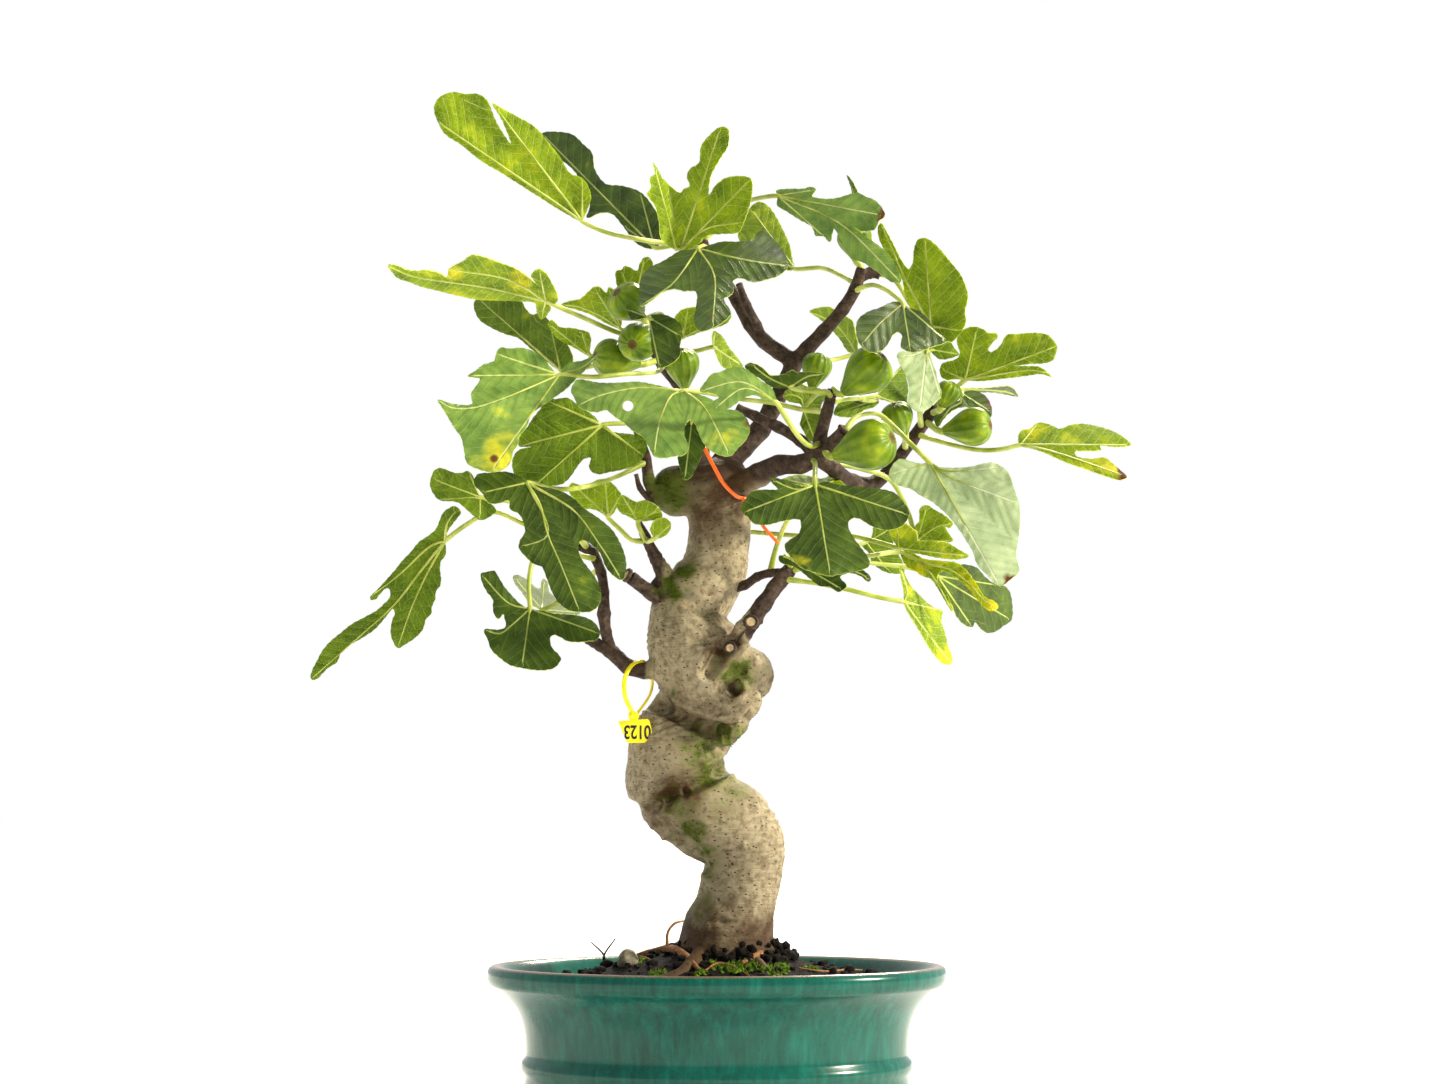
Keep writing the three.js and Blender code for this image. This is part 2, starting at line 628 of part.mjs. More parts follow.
      outline: [
        [955, 379], [947, 380], [941, 376], [940, 368], [943, 363], [950, 361], [956, 359], [960, 354],
        [957, 343], [958, 335], [963, 330], [970, 327], [977, 327], [983, 329], [989, 333], [996, 333],
        [998, 337], [993, 342], [988, 350], [991, 352], [997, 349], [1002, 343], [1005, 337],
        [1009, 334], [1017, 334], [1028, 333], [1038, 333], [1048, 335], [1053, 340], [1057, 346],
        [1056, 353], [1053, 360], [1046, 363], [1030, 364], [1015, 366], [1030, 366], [1040, 367],
        [1046, 371], [1051, 377], [1042, 374], [1025, 376], [1000, 379], [980, 381],
      ],
    },
    {
      base: [963, 389, 14], lean: [0.2, 2.5],
      stalk: [FAR_RIGHT_TIP, [948, 394, 0], [956, 390, 6]],
      veins: [[990, 390, 1008, 392, 1016, 395]],
      outline: [
        [972, 388], [984, 388], [998, 387], [1008, 386], [1013, 388], [1018, 396], [1005, 394],
        [990, 392], [972, 392],
      ],
    },
  ],
  leaf_right_draped: [
    {
      base: [927, 350, -48], lean: [0, -0.5],
      stalk: [[921, 427, 4], [920, 404, -30], [924, 372, -44]],
      veins: [[912, 356, 901, 356], [920, 411], [940, 396]],
      outline: [
        [920, 352], [908, 352], [900, 352], [897, 356], [899, 362], [902, 368], [907, 378], [909, 390],
        [908, 402], [913, 409], [920, 412], [928, 409], [935, 402], [941, 397], [941, 390], [938, 382],
        [936, 372], [932, 362], [930, 352],
      ],
    },
    {
      base: [930, 349, -44], lean: [0.2, 0.8], side: 'under',
      stalk: [[920, 404, -30], [925, 372, -42]],
      veins: [[957, 354]],
      outline: [
        [934, 345], [942, 342], [950, 342], [955, 349], [959, 354], [950, 358], [940, 359], [934, 355],
      ],
    },
  ],
  leaf_right_behind_arm: [{
    base: [857, 352, 50], lean: [-1.6, 0.4], side: 'under',
    stalk: [MIDDLE_FORK, [808, 358, 25], [832, 360, 46]],
    veins: [[838, 326, 812, 311]],
    outline: [
      [858, 345], [856, 334], [852, 320], [847, 317], [838, 312], [830, 307], [822, 307], [810, 311],
      [820, 319], [830, 328], [840, 339], [849, 352],
    ],
  }],
  leaf_right_behind_figs: [
    {
      base: [876, 396, -10], lean: [0.5, -0.3], side: 'under',
      stalk: [[829, 403, -60], [845, 399, -44], [862, 398, -26]],
      veins: [[903, 369], [909, 407]],
      outline: [
        [881, 390], [888, 382], [895, 373], [902, 366], [906, 378], [908, 390], [907, 402], [911, 408],
        [900, 406], [888, 401], [880, 399],
      ],
    },
    {
      base: [877, 400, -5], lean: [0.3, -0.5], side: 'under',
      stalk: [[860, 398, -28], [869, 401, -15]],
      veins: [[836, 412]],
      outline: [
        [872, 399], [860, 400], [846, 399], [838, 404], [834, 414], [845, 417], [857, 416], [864, 410],
        [874, 407], [879, 402],
      ],
    },
  ],
  leaf_far_right_behind: [{
    base: [962, 393, 10], lean: [-0.1, -0.8],
    stalk: [[929, 416, 4], [943, 408, 12], [954, 400, 14]],
    veins: [[991, 414], [961, 403, 951, 408, 939, 425]],
    outline: [
      [975, 391], [985, 396], [990, 403], [992, 412], [990, 418], [983, 412], [973, 408], [963, 407],
      [952, 411], [943, 420], [938, 427], [934, 420], [940, 411], [950, 404], [960, 400],
    ],
  }],
  leaf_far_right: [{
    base: [1020, 445, -25], lean: [0.05, -0.7], side: 'under',
    stalk: [[916, 434, 4], [938, 441, -6], [979, 450, -18], [1003, 449, -24]],
    veins: [[1038, 424], [1129, 443], [1045, 450, 1075, 459, 1124, 478]],
    outline: [
      [1018, 439], [1021, 431], [1030, 429], [1038, 423], [1050, 425], [1060, 429], [1068, 426],
      [1081, 424], [1095, 426], [1112, 431], [1124, 438], [1131, 445], [1115, 447], [1100, 446],
      [1101, 450], [1088, 451], [1075, 452], [1076, 456], [1090, 459], [1105, 458], [1114, 465],
      [1122, 472], [1127, 477], [1121, 480], [1105, 476], [1085, 469], [1065, 462], [1045, 453],
      [1028, 447],
    ],
  }],
  leaf_right_big_pale: [{
    base: [930, 463, -70], lean: [-0.2, -0.35],
    stalk: [STUB_TIP, [856, 417, -62], [878, 414, -52], [894, 427, -54], [910, 443, -64]],
    veins: [[893, 478], [1001, 583], [942, 473, 1019, 512], [944, 471, 975, 470, 1000, 468]],
    outline: [
      [922, 464], [912, 462], [900, 459], [893, 465], [889, 475], [893, 483], [901, 486], [911, 489],
      [920, 495], [931, 501], [941, 509], [950, 518], [960, 531], [967, 542], [973, 552], [977, 564],
      [986, 574], [1000, 586], [1011, 579], [1019, 571], [1016, 556], [1018, 540], [1020, 522],
      [1019, 504], [1014, 489], [1009, 474], [1002, 467], [993, 463], [983, 464], [970, 467],
      [952, 468], [938, 467],
    ],
  }],
  leaf_front_right: [{
    base: [815, 485, -104], lean: [0, -0.4],
    stalk: [[813, 460, -50], [815, 463, -70], [815, 472, -92]],
    veins: [[800, 490, 783, 485, 771, 479], [744, 510], [831, 575], [906, 515]],
    outline: [
      [808, 487], [795, 485], [783, 480], [770, 478], [773, 484], [778, 489], [762, 490], [755, 491],
      [748, 496], [741, 508], [743, 513], [749, 518], [753, 523], [765, 525], [783, 521], [797, 519],
      [800, 520], [801, 528], [798, 535], [790, 540], [785, 545], [786, 551], [790, 556], [796, 563],
      [802, 568], [810, 571], [820, 574], [831, 576], [845, 573], [858, 571], [869, 566], [868, 558],
      [861, 548], [855, 540], [850, 532], [848, 526], [849, 521], [854, 518], [860, 519], [868, 524],
      [876, 528], [885, 530], [894, 529], [902, 526], [907, 520], [909, 515], [907, 507], [902, 501],
      [896, 494], [889, 491], [878, 489], [860, 487], [838, 485], [825, 482],
    ],
  }],
  leaf_low_right_behind: [{
    base: [785, 556, -48], lean: [-0.2, -0.2],
    stalk: [[791, 568, -30], [789, 561, -40]],
    veins: [[845, 588], [820, 569, 850, 570, 871, 579]],
    outline: [
      [779, 556], [780, 562], [795, 567], [808, 577], [820, 586], [830, 587], [838, 592], [843, 590],
      [847, 586], [840, 577], [850, 573], [862, 577], [868, 582], [871, 579], [864, 571], [850, 568],
      [820, 565], [800, 560],
    ],
  }],
  leaf_right_edge_on: [{
    base: [818, 488, -50], lean: [0, -2], side: 'under',
    stalk: [[770, 573, -19], [776, 548, -22], [788, 520, -34], [806, 497, -46]],
    veins: [[783, 481], [840, 482]],
    outline: [
      [806, 486], [790, 486], [775, 485], [783, 479], [800, 475], [812, 477], [822, 479], [830, 476],
      [838, 479], [846, 487], [830, 488],
    ],
  }],
  leaf_right_lit: [{
    base: [917, 540, -4], lean: [-0.1, 0.3], side: 'under',
    stalk: [RIGHT_FORK, [834, 463, -38], [862, 469, -26], [890, 480, -16], [908, 512, -6]],
    veins: [[927, 506], [938, 526, 951, 524], [952, 540]],
    outline: [
      [914, 528], [919, 521], [920, 508], [927, 505], [935, 510], [941, 513], [948, 518], [953, 524],
      [949, 528], [945, 526], [948, 532], [953, 541], [940, 542], [928, 541],
    ],
  }],
  leaf_right_pale_low: [{
    base: [899, 548, -24], lean: [-0.2, 0.2], side: 'under',
    stalk: [[722, 529, 8], [765, 533, 15], [805, 536, 6], [852, 536, -10]],
    veins: [[898, 528], [967, 557]],
    outline: [
      [893, 540], [889, 530], [897, 527], [905, 523], [912, 528], [917, 532], [918, 540], [935, 541],
      [948, 543], [958, 549], [969, 556], [960, 559], [940, 558], [920, 554], [905, 551],
    ],
  }],
  leaf_right_yellow: [{
    base: [901, 552, -10], lean: [-0.2, -0.2], side: 'under',
    stalk: [[788, 572, -31], [820, 563, -36], [862, 557, -24]],
    veins: [[926, 568, 953, 610], [925, 563, 950, 570, 970, 585, 985, 601, 996, 608]],
    outline: [
      [902, 559], [907, 567], [915, 571], [922, 576], [931, 579], [940, 592], [948, 606], [953, 612],
      [950, 600], [943, 588], [937, 578], [942, 571], [952, 575], [964, 584], [973, 594], [981, 604],
      [990, 611], [998, 608], [995, 602], [985, 597], [976, 583], [967, 571], [957, 563], [942, 561],
      [925, 559], [910, 552],
    ],
  }],
  leaves_low_right: [
    {
      base: [937, 576, 45], lean: [0.9, 0],
      stalk: [LOW_RIGHT_TIP, [815, 556, -10], [862, 562, 30], [910, 568, 42]],
      veins: [[969, 625], [1008, 618], [1004, 587]],
      outline: [
        [938, 583], [945, 593], [952, 605], [957, 617], [965, 625], [972, 627], [975, 622], [981, 629],
        [988, 633], [996, 631], [1003, 626], [1011, 620], [1012, 605], [1009, 591], [1004, 586],
        [995, 584], [985, 577], [977, 568], [968, 565], [960, 565], [962, 575], [952, 573], [943, 571],
      ],
    },
    {
      base: [866, 542, 34], lean: [0.3, 0.5], side: 'under',
      stalk: [[815, 556, -10], [840, 549, 16]],
      veins: [[895, 571], [891, 531]],
      outline: [
        [862, 546], [868, 552], [872, 562], [880, 569], [890, 573], [904, 572], [901, 559], [896, 551],
        [893, 541], [897, 537], [890, 529], [874, 527], [872, 536],
      ],
    },
  ],
  leaf_low_right_hanging: [{
    base: [904, 602, -40], lean: [1.2, -0.5], side: 'under',
    stalk: [[783, 579, -32], [815, 583, -42], [846, 589, -46], [878, 597, -44]],
    veins: [[907, 592, 904, 580, 901, 568], [941, 613], [926, 632, 950, 663]],
    outline: [
      [904, 592], [901, 578], [900, 566], [906, 578], [912, 588], [919, 595], [926, 602], [934, 608],
      [942, 611], [941, 621], [945, 634], [948, 647], [952, 658], [951, 664], [944, 664], [936, 657],
      [928, 646], [920, 632], [912, 619], [906, 609],
    ],
  }],
  leaf_left_high: [{
    base: [546, 301, -28], lean: [-0.1, 1.2], side: 'under',
    stalk: [[652, 341, 3], [619, 333, -8], [582, 317, -20]],
    veins: [[541, 317], [490, 288, 410, 275, 389, 266], [510, 280, 450, 269], [540, 271]],
    outline: [
      [551, 307], [546, 316], [541, 319], [537, 313], [535, 303], [520, 301], [490, 300], [475, 299],
      [460, 296], [440, 291], [420, 286], [410, 282], [398, 278], [393, 273], [388, 265], [399, 266],
      [405, 269], [418, 271], [425, 270], [440, 273], [447, 277], [449, 269], [463, 261], [472, 255],
      [488, 258], [496, 261], [504, 264], [515, 268], [527, 276], [538, 285], [531, 275], [539, 269],
      [546, 273], [552, 283], [558, 297], [556, 303],
    ],
  }],
  leaf_left_second: [{
    base: [561, 371, 18], lean: [-0.6, -0.4], side: 'under',
    stalk: [[656, 354, 5], [625, 356, 16], [592, 366, 19]],
    veins: [[479, 301], [547, 320]],
    outline: [
      [545, 360], [530, 348], [518, 338], [505, 334], [490, 327], [479, 319], [474, 305], [478, 298],
      [500, 297], [520, 299], [526, 309], [533, 315], [541, 312], [550, 322], [560, 335], [569, 347],
      [573, 361], [566, 367],
    ],
  }],
  leaves_left_lit: [
    {
      base: [590, 356, 8], lean: [-0.2, 0.3], side: 'under',
      stalk: [[654, 348, 4], [640, 342, 16], [612, 350, 12]],
      veins: [[550, 324], [583, 331]],
      outline: [
        [575, 348], [560, 340], [552, 332], [548, 323], [552, 320], [560, 327], [572, 328], [581, 330],
        [588, 332], [591, 338], [590, 350],
      ],
    },
    {
      base: [620, 328, 34], lean: [0, 0.8], side: 'under',
      stalk: [[654, 348, 4], [640, 342, 16], [628, 333, 28]],
      veins: [[598, 314, 578, 306, 563, 305], [597, 288], [611, 289]],
      outline: [
        [610, 325], [590, 314], [575, 309], [561, 305], [570, 301], [580, 299], [588, 292], [594, 287],
        [600, 287], [606, 293], [609, 287], [616, 292], [620, 303], [622, 318],
      ],
    },
  ],
  leaf_left_fig_top: [{
    base: [634, 303, 25], lean: [0, 0.3], side: 'under',
    stalk: [FRUIT_SPUR_TIP, [643, 312, 16]],
    veins: [[619, 272], [646, 259]],
    outline: [
      [622, 300], [618, 290], [616, 280], [616, 271], [621, 270], [625, 266], [631, 268], [637, 271],
      [640, 263], [645, 257], [650, 258], [653, 266], [648, 280], [644, 292],
    ],
  }],
  leaf_left_small_dark: [{
    base: [649, 318, -55], lean: [-0.2, -0.6],
    stalk: [[651, 336, 3], [664, 326, -14], [660, 314, -42]],
    veins: [[628, 310], [681, 334], [662, 367]],
    outline: [
      [641, 319], [632, 320], [628, 313], [626, 309], [634, 310], [644, 315], [654, 315], [664, 315],
      [674, 319], [682, 327], [682, 337], [680, 345], [680, 355], [674, 362], [667, 366], [660, 368],
      [656, 359], [652, 350], [651, 338], [650, 326],
    ],
  }],
  leaves_middle_back: [
    {
      base: [683, 337, 45], lean: [0, 0.6], side: 'under',
      stalk: [[650, 332, 3], [660, 338, 26], [672, 340, 40]],
      veins: [[686, 310], [729, 315]],
      outline: [
        [680, 330], [674, 320], [680, 311], [688, 308], [697, 307], [706, 310], [718, 314], [731, 313],
        [728, 322], [714, 328], [700, 332], [690, 336],
      ],
    },
    {
      base: [713, 347, 40], lean: [1.2, 1], side: 'under',
      stalk: [[660, 338, 26], [675, 351, 38], [696, 351, 42]],
      veins: [[716, 333], [742, 368]],
      outline: [
        [712, 338], [714, 331], [722, 336], [728, 346], [736, 356], [743, 366], [745, 372], [735, 370],
        [724, 368], [719, 362], [715, 352],
      ],
    },
  ],
  leaf_left_big: [{
    base: [559, 375, -60], lean: [0.15, -0.5],
    stalk: [[663, 366, 8], [655, 372, -26], [625, 374, -48], [592, 377, -58]],
    veins: [
      [497, 352], [470, 376], [500, 400, 474, 408, 452, 408, 440, 401], [490, 470], [585, 366, 596, 356],
    ],
    outline: [
      [552, 369], [542, 357], [532, 351], [520, 348], [510, 349], [500, 348], [496, 354], [494, 361],
      [483, 365], [474, 372], [468, 376], [480, 379], [477, 385], [471, 394], [472, 404],
      [452, 404], [438, 400], [445, 412], [455, 429], [461, 437], [464, 450], [467, 463],
      [478, 469], [491, 472], [504, 469], [511, 461], [513, 452], [518, 444], [520, 436], [526, 428],
      [532, 414], [542, 406], [555, 397], [566, 389], [577, 378], [588, 367], [597, 355], [582, 361],
      [570, 363], [563, 368],
    ],
  }],
  leaf_left_under: [{
    base: [602, 425, -44], lean: [0, 0.1], side: 'under',
    stalk: [[695, 425, 10], [672, 417, -12], [650, 419, -28], [627, 423, -40]],
    veins: [[550, 402], [522, 443], [527, 484], [642, 455]],
    outline: [
      [594, 416], [584, 409], [574, 402], [568, 398], [556, 399], [546, 400], [541, 408], [533, 418],
      [526, 429], [519, 437], [519, 446], [531, 447], [519, 450], [513, 458], [513, 470], [520, 482],
      [532, 488], [548, 486], [562, 484], [570, 477], [577, 467], [584, 459], [591, 458], [589, 466],
      [591, 471], [598, 474], [610, 472], [625, 469], [637, 464], [644, 456], [647, 444], [643, 437],
      [630, 434], [614, 432],
    ],
  }],
  leaf_front_left: [{
    base: [527, 483, -100], lean: [-0.05, -0.35],
    stalk: [[646, 462, -16], [618, 476, -34], [588, 486, -54], [556, 489, -84]],
    veins: [[484, 490], [548, 535, 524, 550], [540, 505, 548, 535, 560, 562, 580, 610],
      [575, 512, 600, 545, 622, 578]],
    outline: [
      [518, 476], [506, 472], [490, 473], [477, 475], [474, 484], [482, 493], [489, 503], [500, 503],
      [509, 500], [510, 509], [519, 514], [524, 524], [525, 532], [520, 541], [519, 548], [526, 557],
      [534, 564], [542, 567], [547, 579], [553, 594], [560, 604], [568, 610], [580, 612], [592, 611],
      [600, 603], [601, 592], [596, 579], [588, 568], [581, 558], [578, 545], [582, 540], [592, 545],
      [600, 553], [606, 567], [614, 576], [622, 580], [626, 570], [625, 556], [620, 543], [612, 530],
      [598, 518], [583, 508], [574, 499], [560, 491], [542, 487],
    ],
  }],
  leaf_left_lit_lobe: [{
    base: [480, 497, -56], lean: [0.3, 0.3], side: 'under',
    stalk: [[588, 549, 1], [566, 524, -24], [530, 506, -48]],
    veins: [[468, 472], [436, 476], [439, 499], [478, 518]],
    outline: [
      [476, 488], [474, 478], [468, 471], [462, 473], [455, 473], [447, 470], [441, 468], [435, 470],
      [431, 478], [430, 485], [433, 493], [438, 499], [444, 501], [452, 501], [459, 503], [466, 509],
      [474, 516], [480, 520], [489, 517], [496, 510], [490, 503],
    ],
  }],
  leaf_far_left_hanging: [{
    base: [445, 541, -10], lean: [-0.15, 0.1], side: 'under',
    stalk: [[583, 546, 2], [550, 538, -4], [520, 522, -12], [492, 512, -16], [466, 525, -14]],
    veins: [[447, 524, 457, 508], [432, 545, 400, 574, 372, 598], [420, 572, 395, 604, 360, 636, 313, 678],
      [425, 578, 410, 612, 399, 646]],
    outline: [
      [446, 535], [449, 529], [455, 521], [461, 512], [458, 508], [455, 506], [449, 508], [443, 513],
      [440, 520], [436, 529], [428, 536], [419, 542], [411, 552], [403, 560], [396, 569], [388, 578],
      [380, 587], [374, 593], [370, 597], [371, 600], [376, 599], [380, 594], [387, 588], [390, 590],
      [390, 597], [385, 603], [376, 611], [365, 617], [352, 624], [342, 632], [332, 640], [323, 650],
      [317, 661], [312, 671], [311, 679], [317, 679], [322, 674], [328, 668], [337, 662], [341, 653],
      [350, 645], [362, 638], [375, 629], [384, 619], [393, 609], [395, 613], [392, 621], [391, 635],
      [394, 643], [398, 648], [406, 644], [416, 637], [423, 629], [426, 619], [431, 614], [432, 606],
      [435, 600], [436, 591], [440, 586], [441, 578], [440, 570], [441, 561], [445, 556], [446, 548],
    ],
  }],
  leaf_low_left: [{
    base: [530, 609, -56], lean: [0, -0.5],
    stalk: [[596, 559, -2], [566, 553, -22], [538, 550, -42], [529, 580, -50]],
    veins: [[510, 604, 484, 576], [509, 628, 500, 634, 486, 631], [521, 667], [599, 634]],
    outline: [
      [520, 604], [512, 596], [505, 588], [500, 580], [494, 571], [488, 572], [481, 574], [482, 582],
      [487, 592], [493, 600], [493, 608], [495, 616], [499, 619], [503, 614], [505, 620], [506, 626],
      [503, 629], [497, 630], [484, 630], [488, 640], [491, 649], [500, 658], [510, 665], [522, 668],
      [535, 670], [546, 670], [554, 668], [559, 663], [561, 659], [558, 654], [552, 648], [550, 641],
      [551, 636], [555, 635], [562, 638], [567, 641], [580, 642], [590, 641], [596, 640], [600, 634],
      [597, 626], [592, 621], [583, 617], [570, 615], [555, 614], [542, 611],
    ],
  }],
  leaf_low_left_behind: [{
    base: [542, 610, 10], lean: [0.8, -1.6],
    stalk: [[600, 569, -4], [584, 580, 10], [562, 600, 14]],
    veins: [[515, 577], [545, 581], [577, 613]],
    outline: [
      [530, 603], [522, 592], [515, 583], [513, 577], [516, 575], [522, 577], [530, 583], [538, 589],
      [541, 588], [541, 582], [544, 579], [547, 582], [549, 592], [554, 597], [560, 605], [570, 611],
      [580, 613], [572, 616], [555, 613],
    ],
  }],
  leaf_middle_holed: [{
    base: [683, 391, -92], lean: [0, -0.5], bites: [[628, 406, 5.5]],
    stalk: [[827, 412, -59], [800, 409, -52], [774, 403, -56], [735, 398, -66], [703, 392, -82]],
    veins: [[640, 388, 600, 396, 576, 403], [672, 395, 661, 418, 652, 452], [700, 403, 715, 425, 730, 454]],
    outline: [
      [672, 389], [655, 385], [638, 382], [620, 383], [600, 383], [577, 380], [573, 385], [571, 391],
      [575, 399], [578, 406], [588, 411], [598, 412], [606, 410], [614, 416], [624, 423], [633, 431],
      [643, 437], [649, 447], [654, 456], [664, 458], [675, 456], [684, 455], [689, 446], [685, 438],
      [685, 426], [690, 419], [695, 424], [700, 436], [706, 446], [715, 453], [730, 456], [738, 448],
      [747, 438], [750, 428], [746, 418], [738, 411], [724, 409], [712, 400], [700, 395], [692, 393],
    ],
  }],
  leaf_middle_hanging: [{
    base: [692, 420, -50], lean: [0, -0.3],
    stalk: [[698, 445, 7], [699, 430, -14], [697, 421, -36]],
    veins: [[684, 479]],
    outline: [
      [686, 425], [684, 436], [688, 444], [684, 452], [678, 457], [680, 468], [682, 478], [685, 480],
      [690, 478], [695, 470], [700, 460], [703, 450], [706, 446], [700, 436], [696, 425],
    ],
  }],
  leaf_middle_arched: [{
    base: [776, 402, -112], lean: [0.1, 0.2], arch: 0.12,
    stalk: [[820, 443, -54], [810, 446, -70], [800, 438, -82], [786, 418, -100]],
    veins: [[743, 382, 701, 390], [745, 388, 716, 408]],
    outline: [
      [775, 395], [771, 387], [763, 382], [754, 375], [746, 369], [736, 367], [727, 369], [720, 372],
      [712, 374], [706, 381], [700, 391], [712, 393], [719, 397], [713, 402], [714, 409], [725, 410],
      [734, 405], [743, 398], [755, 395], [766, 401],
    ],
  }],
  leaves_right_spur: [
    {
      base: [790, 387, -64], lean: [-0.1, 0.8],
      stalk: [[831, 396, -61], [825, 392, -72], [808, 391, -68]],
      veins: [[770, 378, 748, 365], [808, 376, 824, 374]],
      outline: [
        [784, 388], [776, 388], [769, 385], [760, 378], [752, 374], [745, 366], [750, 363], [758, 365],
        [765, 370], [770, 375], [780, 375], [787, 373], [792, 370], [796, 372], [810, 372], [825, 374],
        [814, 378], [805, 382], [797, 386],
      ],
    },
    {
      base: [803, 409, -30], lean: [0.2, 0.1], side: 'under',
      stalk: [[825, 392, -72], [818, 393, -54], [809, 402, -38]],
      veins: [[801, 399, 792, 395, 786, 395], [822, 393], [814, 441]],
      outline: [
        [800, 404], [790, 402], [783, 396], [790, 388], [800, 387], [812, 387], [822, 390], [826, 396],
        [821, 405], [820, 418], [817, 432], [815, 442], [809, 440], [803, 430], [800, 425], [802, 416],
      ],
    },
  ],
  leaves_low_sprig: [
    {
      base: [608, 517, -18], lean: [0.2, 0.3], side: 'under',
      stalk: [[647, 541, -14], [632, 540, -20], [620, 529, -19]],
      veins: [[571, 486], [604, 480], [620, 494]],
      outline: [
        [600, 512], [592, 509], [582, 508], [574, 499], [568, 489], [572, 483], [580, 485], [588, 485],
        [597, 480], [605, 479], [613, 484], [619, 491], [621, 494], [618, 503], [615, 511],
      ],
    },
    {
      base: [638, 521, -34], lean: [0, 0.5], side: 'under',
      stalk: [[647, 541, -14], [643, 536, -24]],
      veins: [[622, 497], [658, 510]],
      outline: [
        [628, 516], [620, 512], [617, 505], [622, 495], [630, 499], [637, 502], [645, 500], [652, 503],
        [660, 509], [662, 518], [652, 520],
      ],
    },
    {
      base: [655, 538, -36], lean: [0.2, 0.3], side: 'under',
      stalk: [[647, 541, -14], [650, 541, -26]],
      veins: [[668, 522]],
      outline: [
        [650, 530], [655, 520], [665, 518], [671, 524], [668, 533], [660, 538],
      ],
    },
  ],
};

function leafBody(leaves) {
  return joined(leaves.map(wholeLeaf));
}

// Figs: a pear shape from its neck to its eye, on a short stalk.

const FIG_PROFILE = [
  [0, 0], [0.2, 0], [0.4, 0.14], [0.8, 0.38], [1, 0.62], [0.88, 0.82], [0.45, 0.97], [0, 1],
];

const FIGS = {
  fig_right_front: { neck: [834, 456, -80], eye: [893, 437, -98], girth: 14.6, stalk: [824, 451, -56] },
  fig_right_top: { neck: [843, 393, -68], eye: [884, 356, -80], girth: 13.6, stalk: RIGHT_SPUR_TIP },
  fig_right_behind: { neck: [812, 389, -16], eye: [820, 353, -20], girth: 9, stalk: [788, 378, 9] },
  fig_far_right_big: { neck: [943, 431, -14], eye: [991, 425, -26], girth: 11.6, stalk: [925, 421, 4] },
  fig_far_right_small: { neck: [941, 408, -22], eye: [953, 382, -26], girth: 7.6, stalk: [932, 413, 4] },
  fig_right_low: { neck: [905, 436, -16], eye: [893, 404, -26], girth: 9.6, stalk: [905, 449, 3] },
  fig_left_top: { neck: [642, 318, -12], eye: [616, 292, -26], girth: 12.2, stalk: [649, 326, 4] },
  fig_left_middle: { neck: [648, 338, -18], eye: [632, 345, -52], girth: 11.4, stalk: [653, 345, 4] },
  fig_left_low: { neck: [640, 364, -12], eye: [594, 356, -24], girth: 11.6, stalk: [659, 360, 7] },
  fig_left_right: { neck: [685, 389, -14], eye: [681, 349, -26], girth: 10.4, stalk: [686, 396, 12] },
  fig_top_right: { neck: [856, 260, -10], eye: [853, 226, -6], girth: 10.6, stalk: RIGHT_ARM_TIP },
};
const FIG_SIDES = 9;
const FIG_STALK_RADIUS = 1.9;

function figBody({ neck, eye, girth, stalk: root }) {
  const start = seen(neck);
  const axis = seen(eye).sub(start);
  const length = axis.length();
  const outline = FIG_PROFILE.map(([reach, along]) => new THREE.Vector2(reach * girth, along * length));
  const geometry = new THREE.LatheGeometry(outline, FIG_SIDES);
  const upright = new THREE.Vector3(0, 1, 0);
  geometry.applyQuaternion(new THREE.Quaternion().setFromUnitVectors(upright, axis.clone().normalize()));
  geometry.translate(start.x, start.y, start.z);
  const inside = start.clone().addScaledVector(axis, 0.12);
  const radii = [FIG_STALK_RADIUS, FIG_STALK_RADIUS];
  return solid(geometry).add(stem([seen(root), inside], radii, 5, 1));
}

// Tag on a strap loop over the low left branch, and the flat tie at the crown

const TAG_STRAP = [
  [631, 712, -19], [624, 694, -22], [626, 675, -21], [633, 662, -16], [641, 659, -9], [648, 663, 0],
  [652, 678, 3], [650, 694, -6], [637, 712, -18],
];
const TAG_CORNERS = [[618, 721], [649, 719], [655, 743], [627, 743]];
const TAG_DEPTH = -19;
const TAG_THICK = 1.2;
const TAG_STRAP_RADIUS = 1.1;

function tagBody() {
  const strap = stem(TAG_STRAP.map(seen), TAG_STRAP.map(() => TAG_STRAP_RADIUS), 5, 1);
  const boss = ball(seen([633, 715, TAG_DEPTH]), 4, 1, [1, 1, 1]);
  const [a, b, c, d] = TAG_CORNERS.map(([across, down]) => seen([across, down, TAG_DEPTH]));
  const plate = thickPlate([a, b, c, d], TAG_THICK);
  return strap.add(boss).add(plate);
}

// A flat plate through four corners.
function thickPlate(corners, thick) {
  const across = corners[1].clone().sub(corners[0]);
  const down = corners[3].clone().sub(corners[0]);
  const out = across.cross(down).normalize().multiplyScalar(thick / 2);
  const front = corners.map((corner) => corner.clone().add(out));
  const back = corners.map((corner) => corner.clone().sub(out));
  const middleOf = (ring) => ring.reduce((sum, corner) => sum.add(corner), new THREE.Vector3())
    .multiplyScalar(1 / ring.length);
  return solid(ringSkin([back, front], middleOf(back), middleOf(front)));
}

const TIE_ROUTE = [
  [704, 444, -24], [713, 464, -27], [724, 483, -28], [734, 495, -26], [742, 499, -18], [748, 497, -4],
  [744, 484, 12], [736, 470, 14], [727, 455, 15], [714, 442, 12],
];
const TIE_TAIL = [[742, 499, -18], [754, 511, -30], [763, 526, -34], [778, 543, -36]];
const TIE_RADIUS = 1.3;

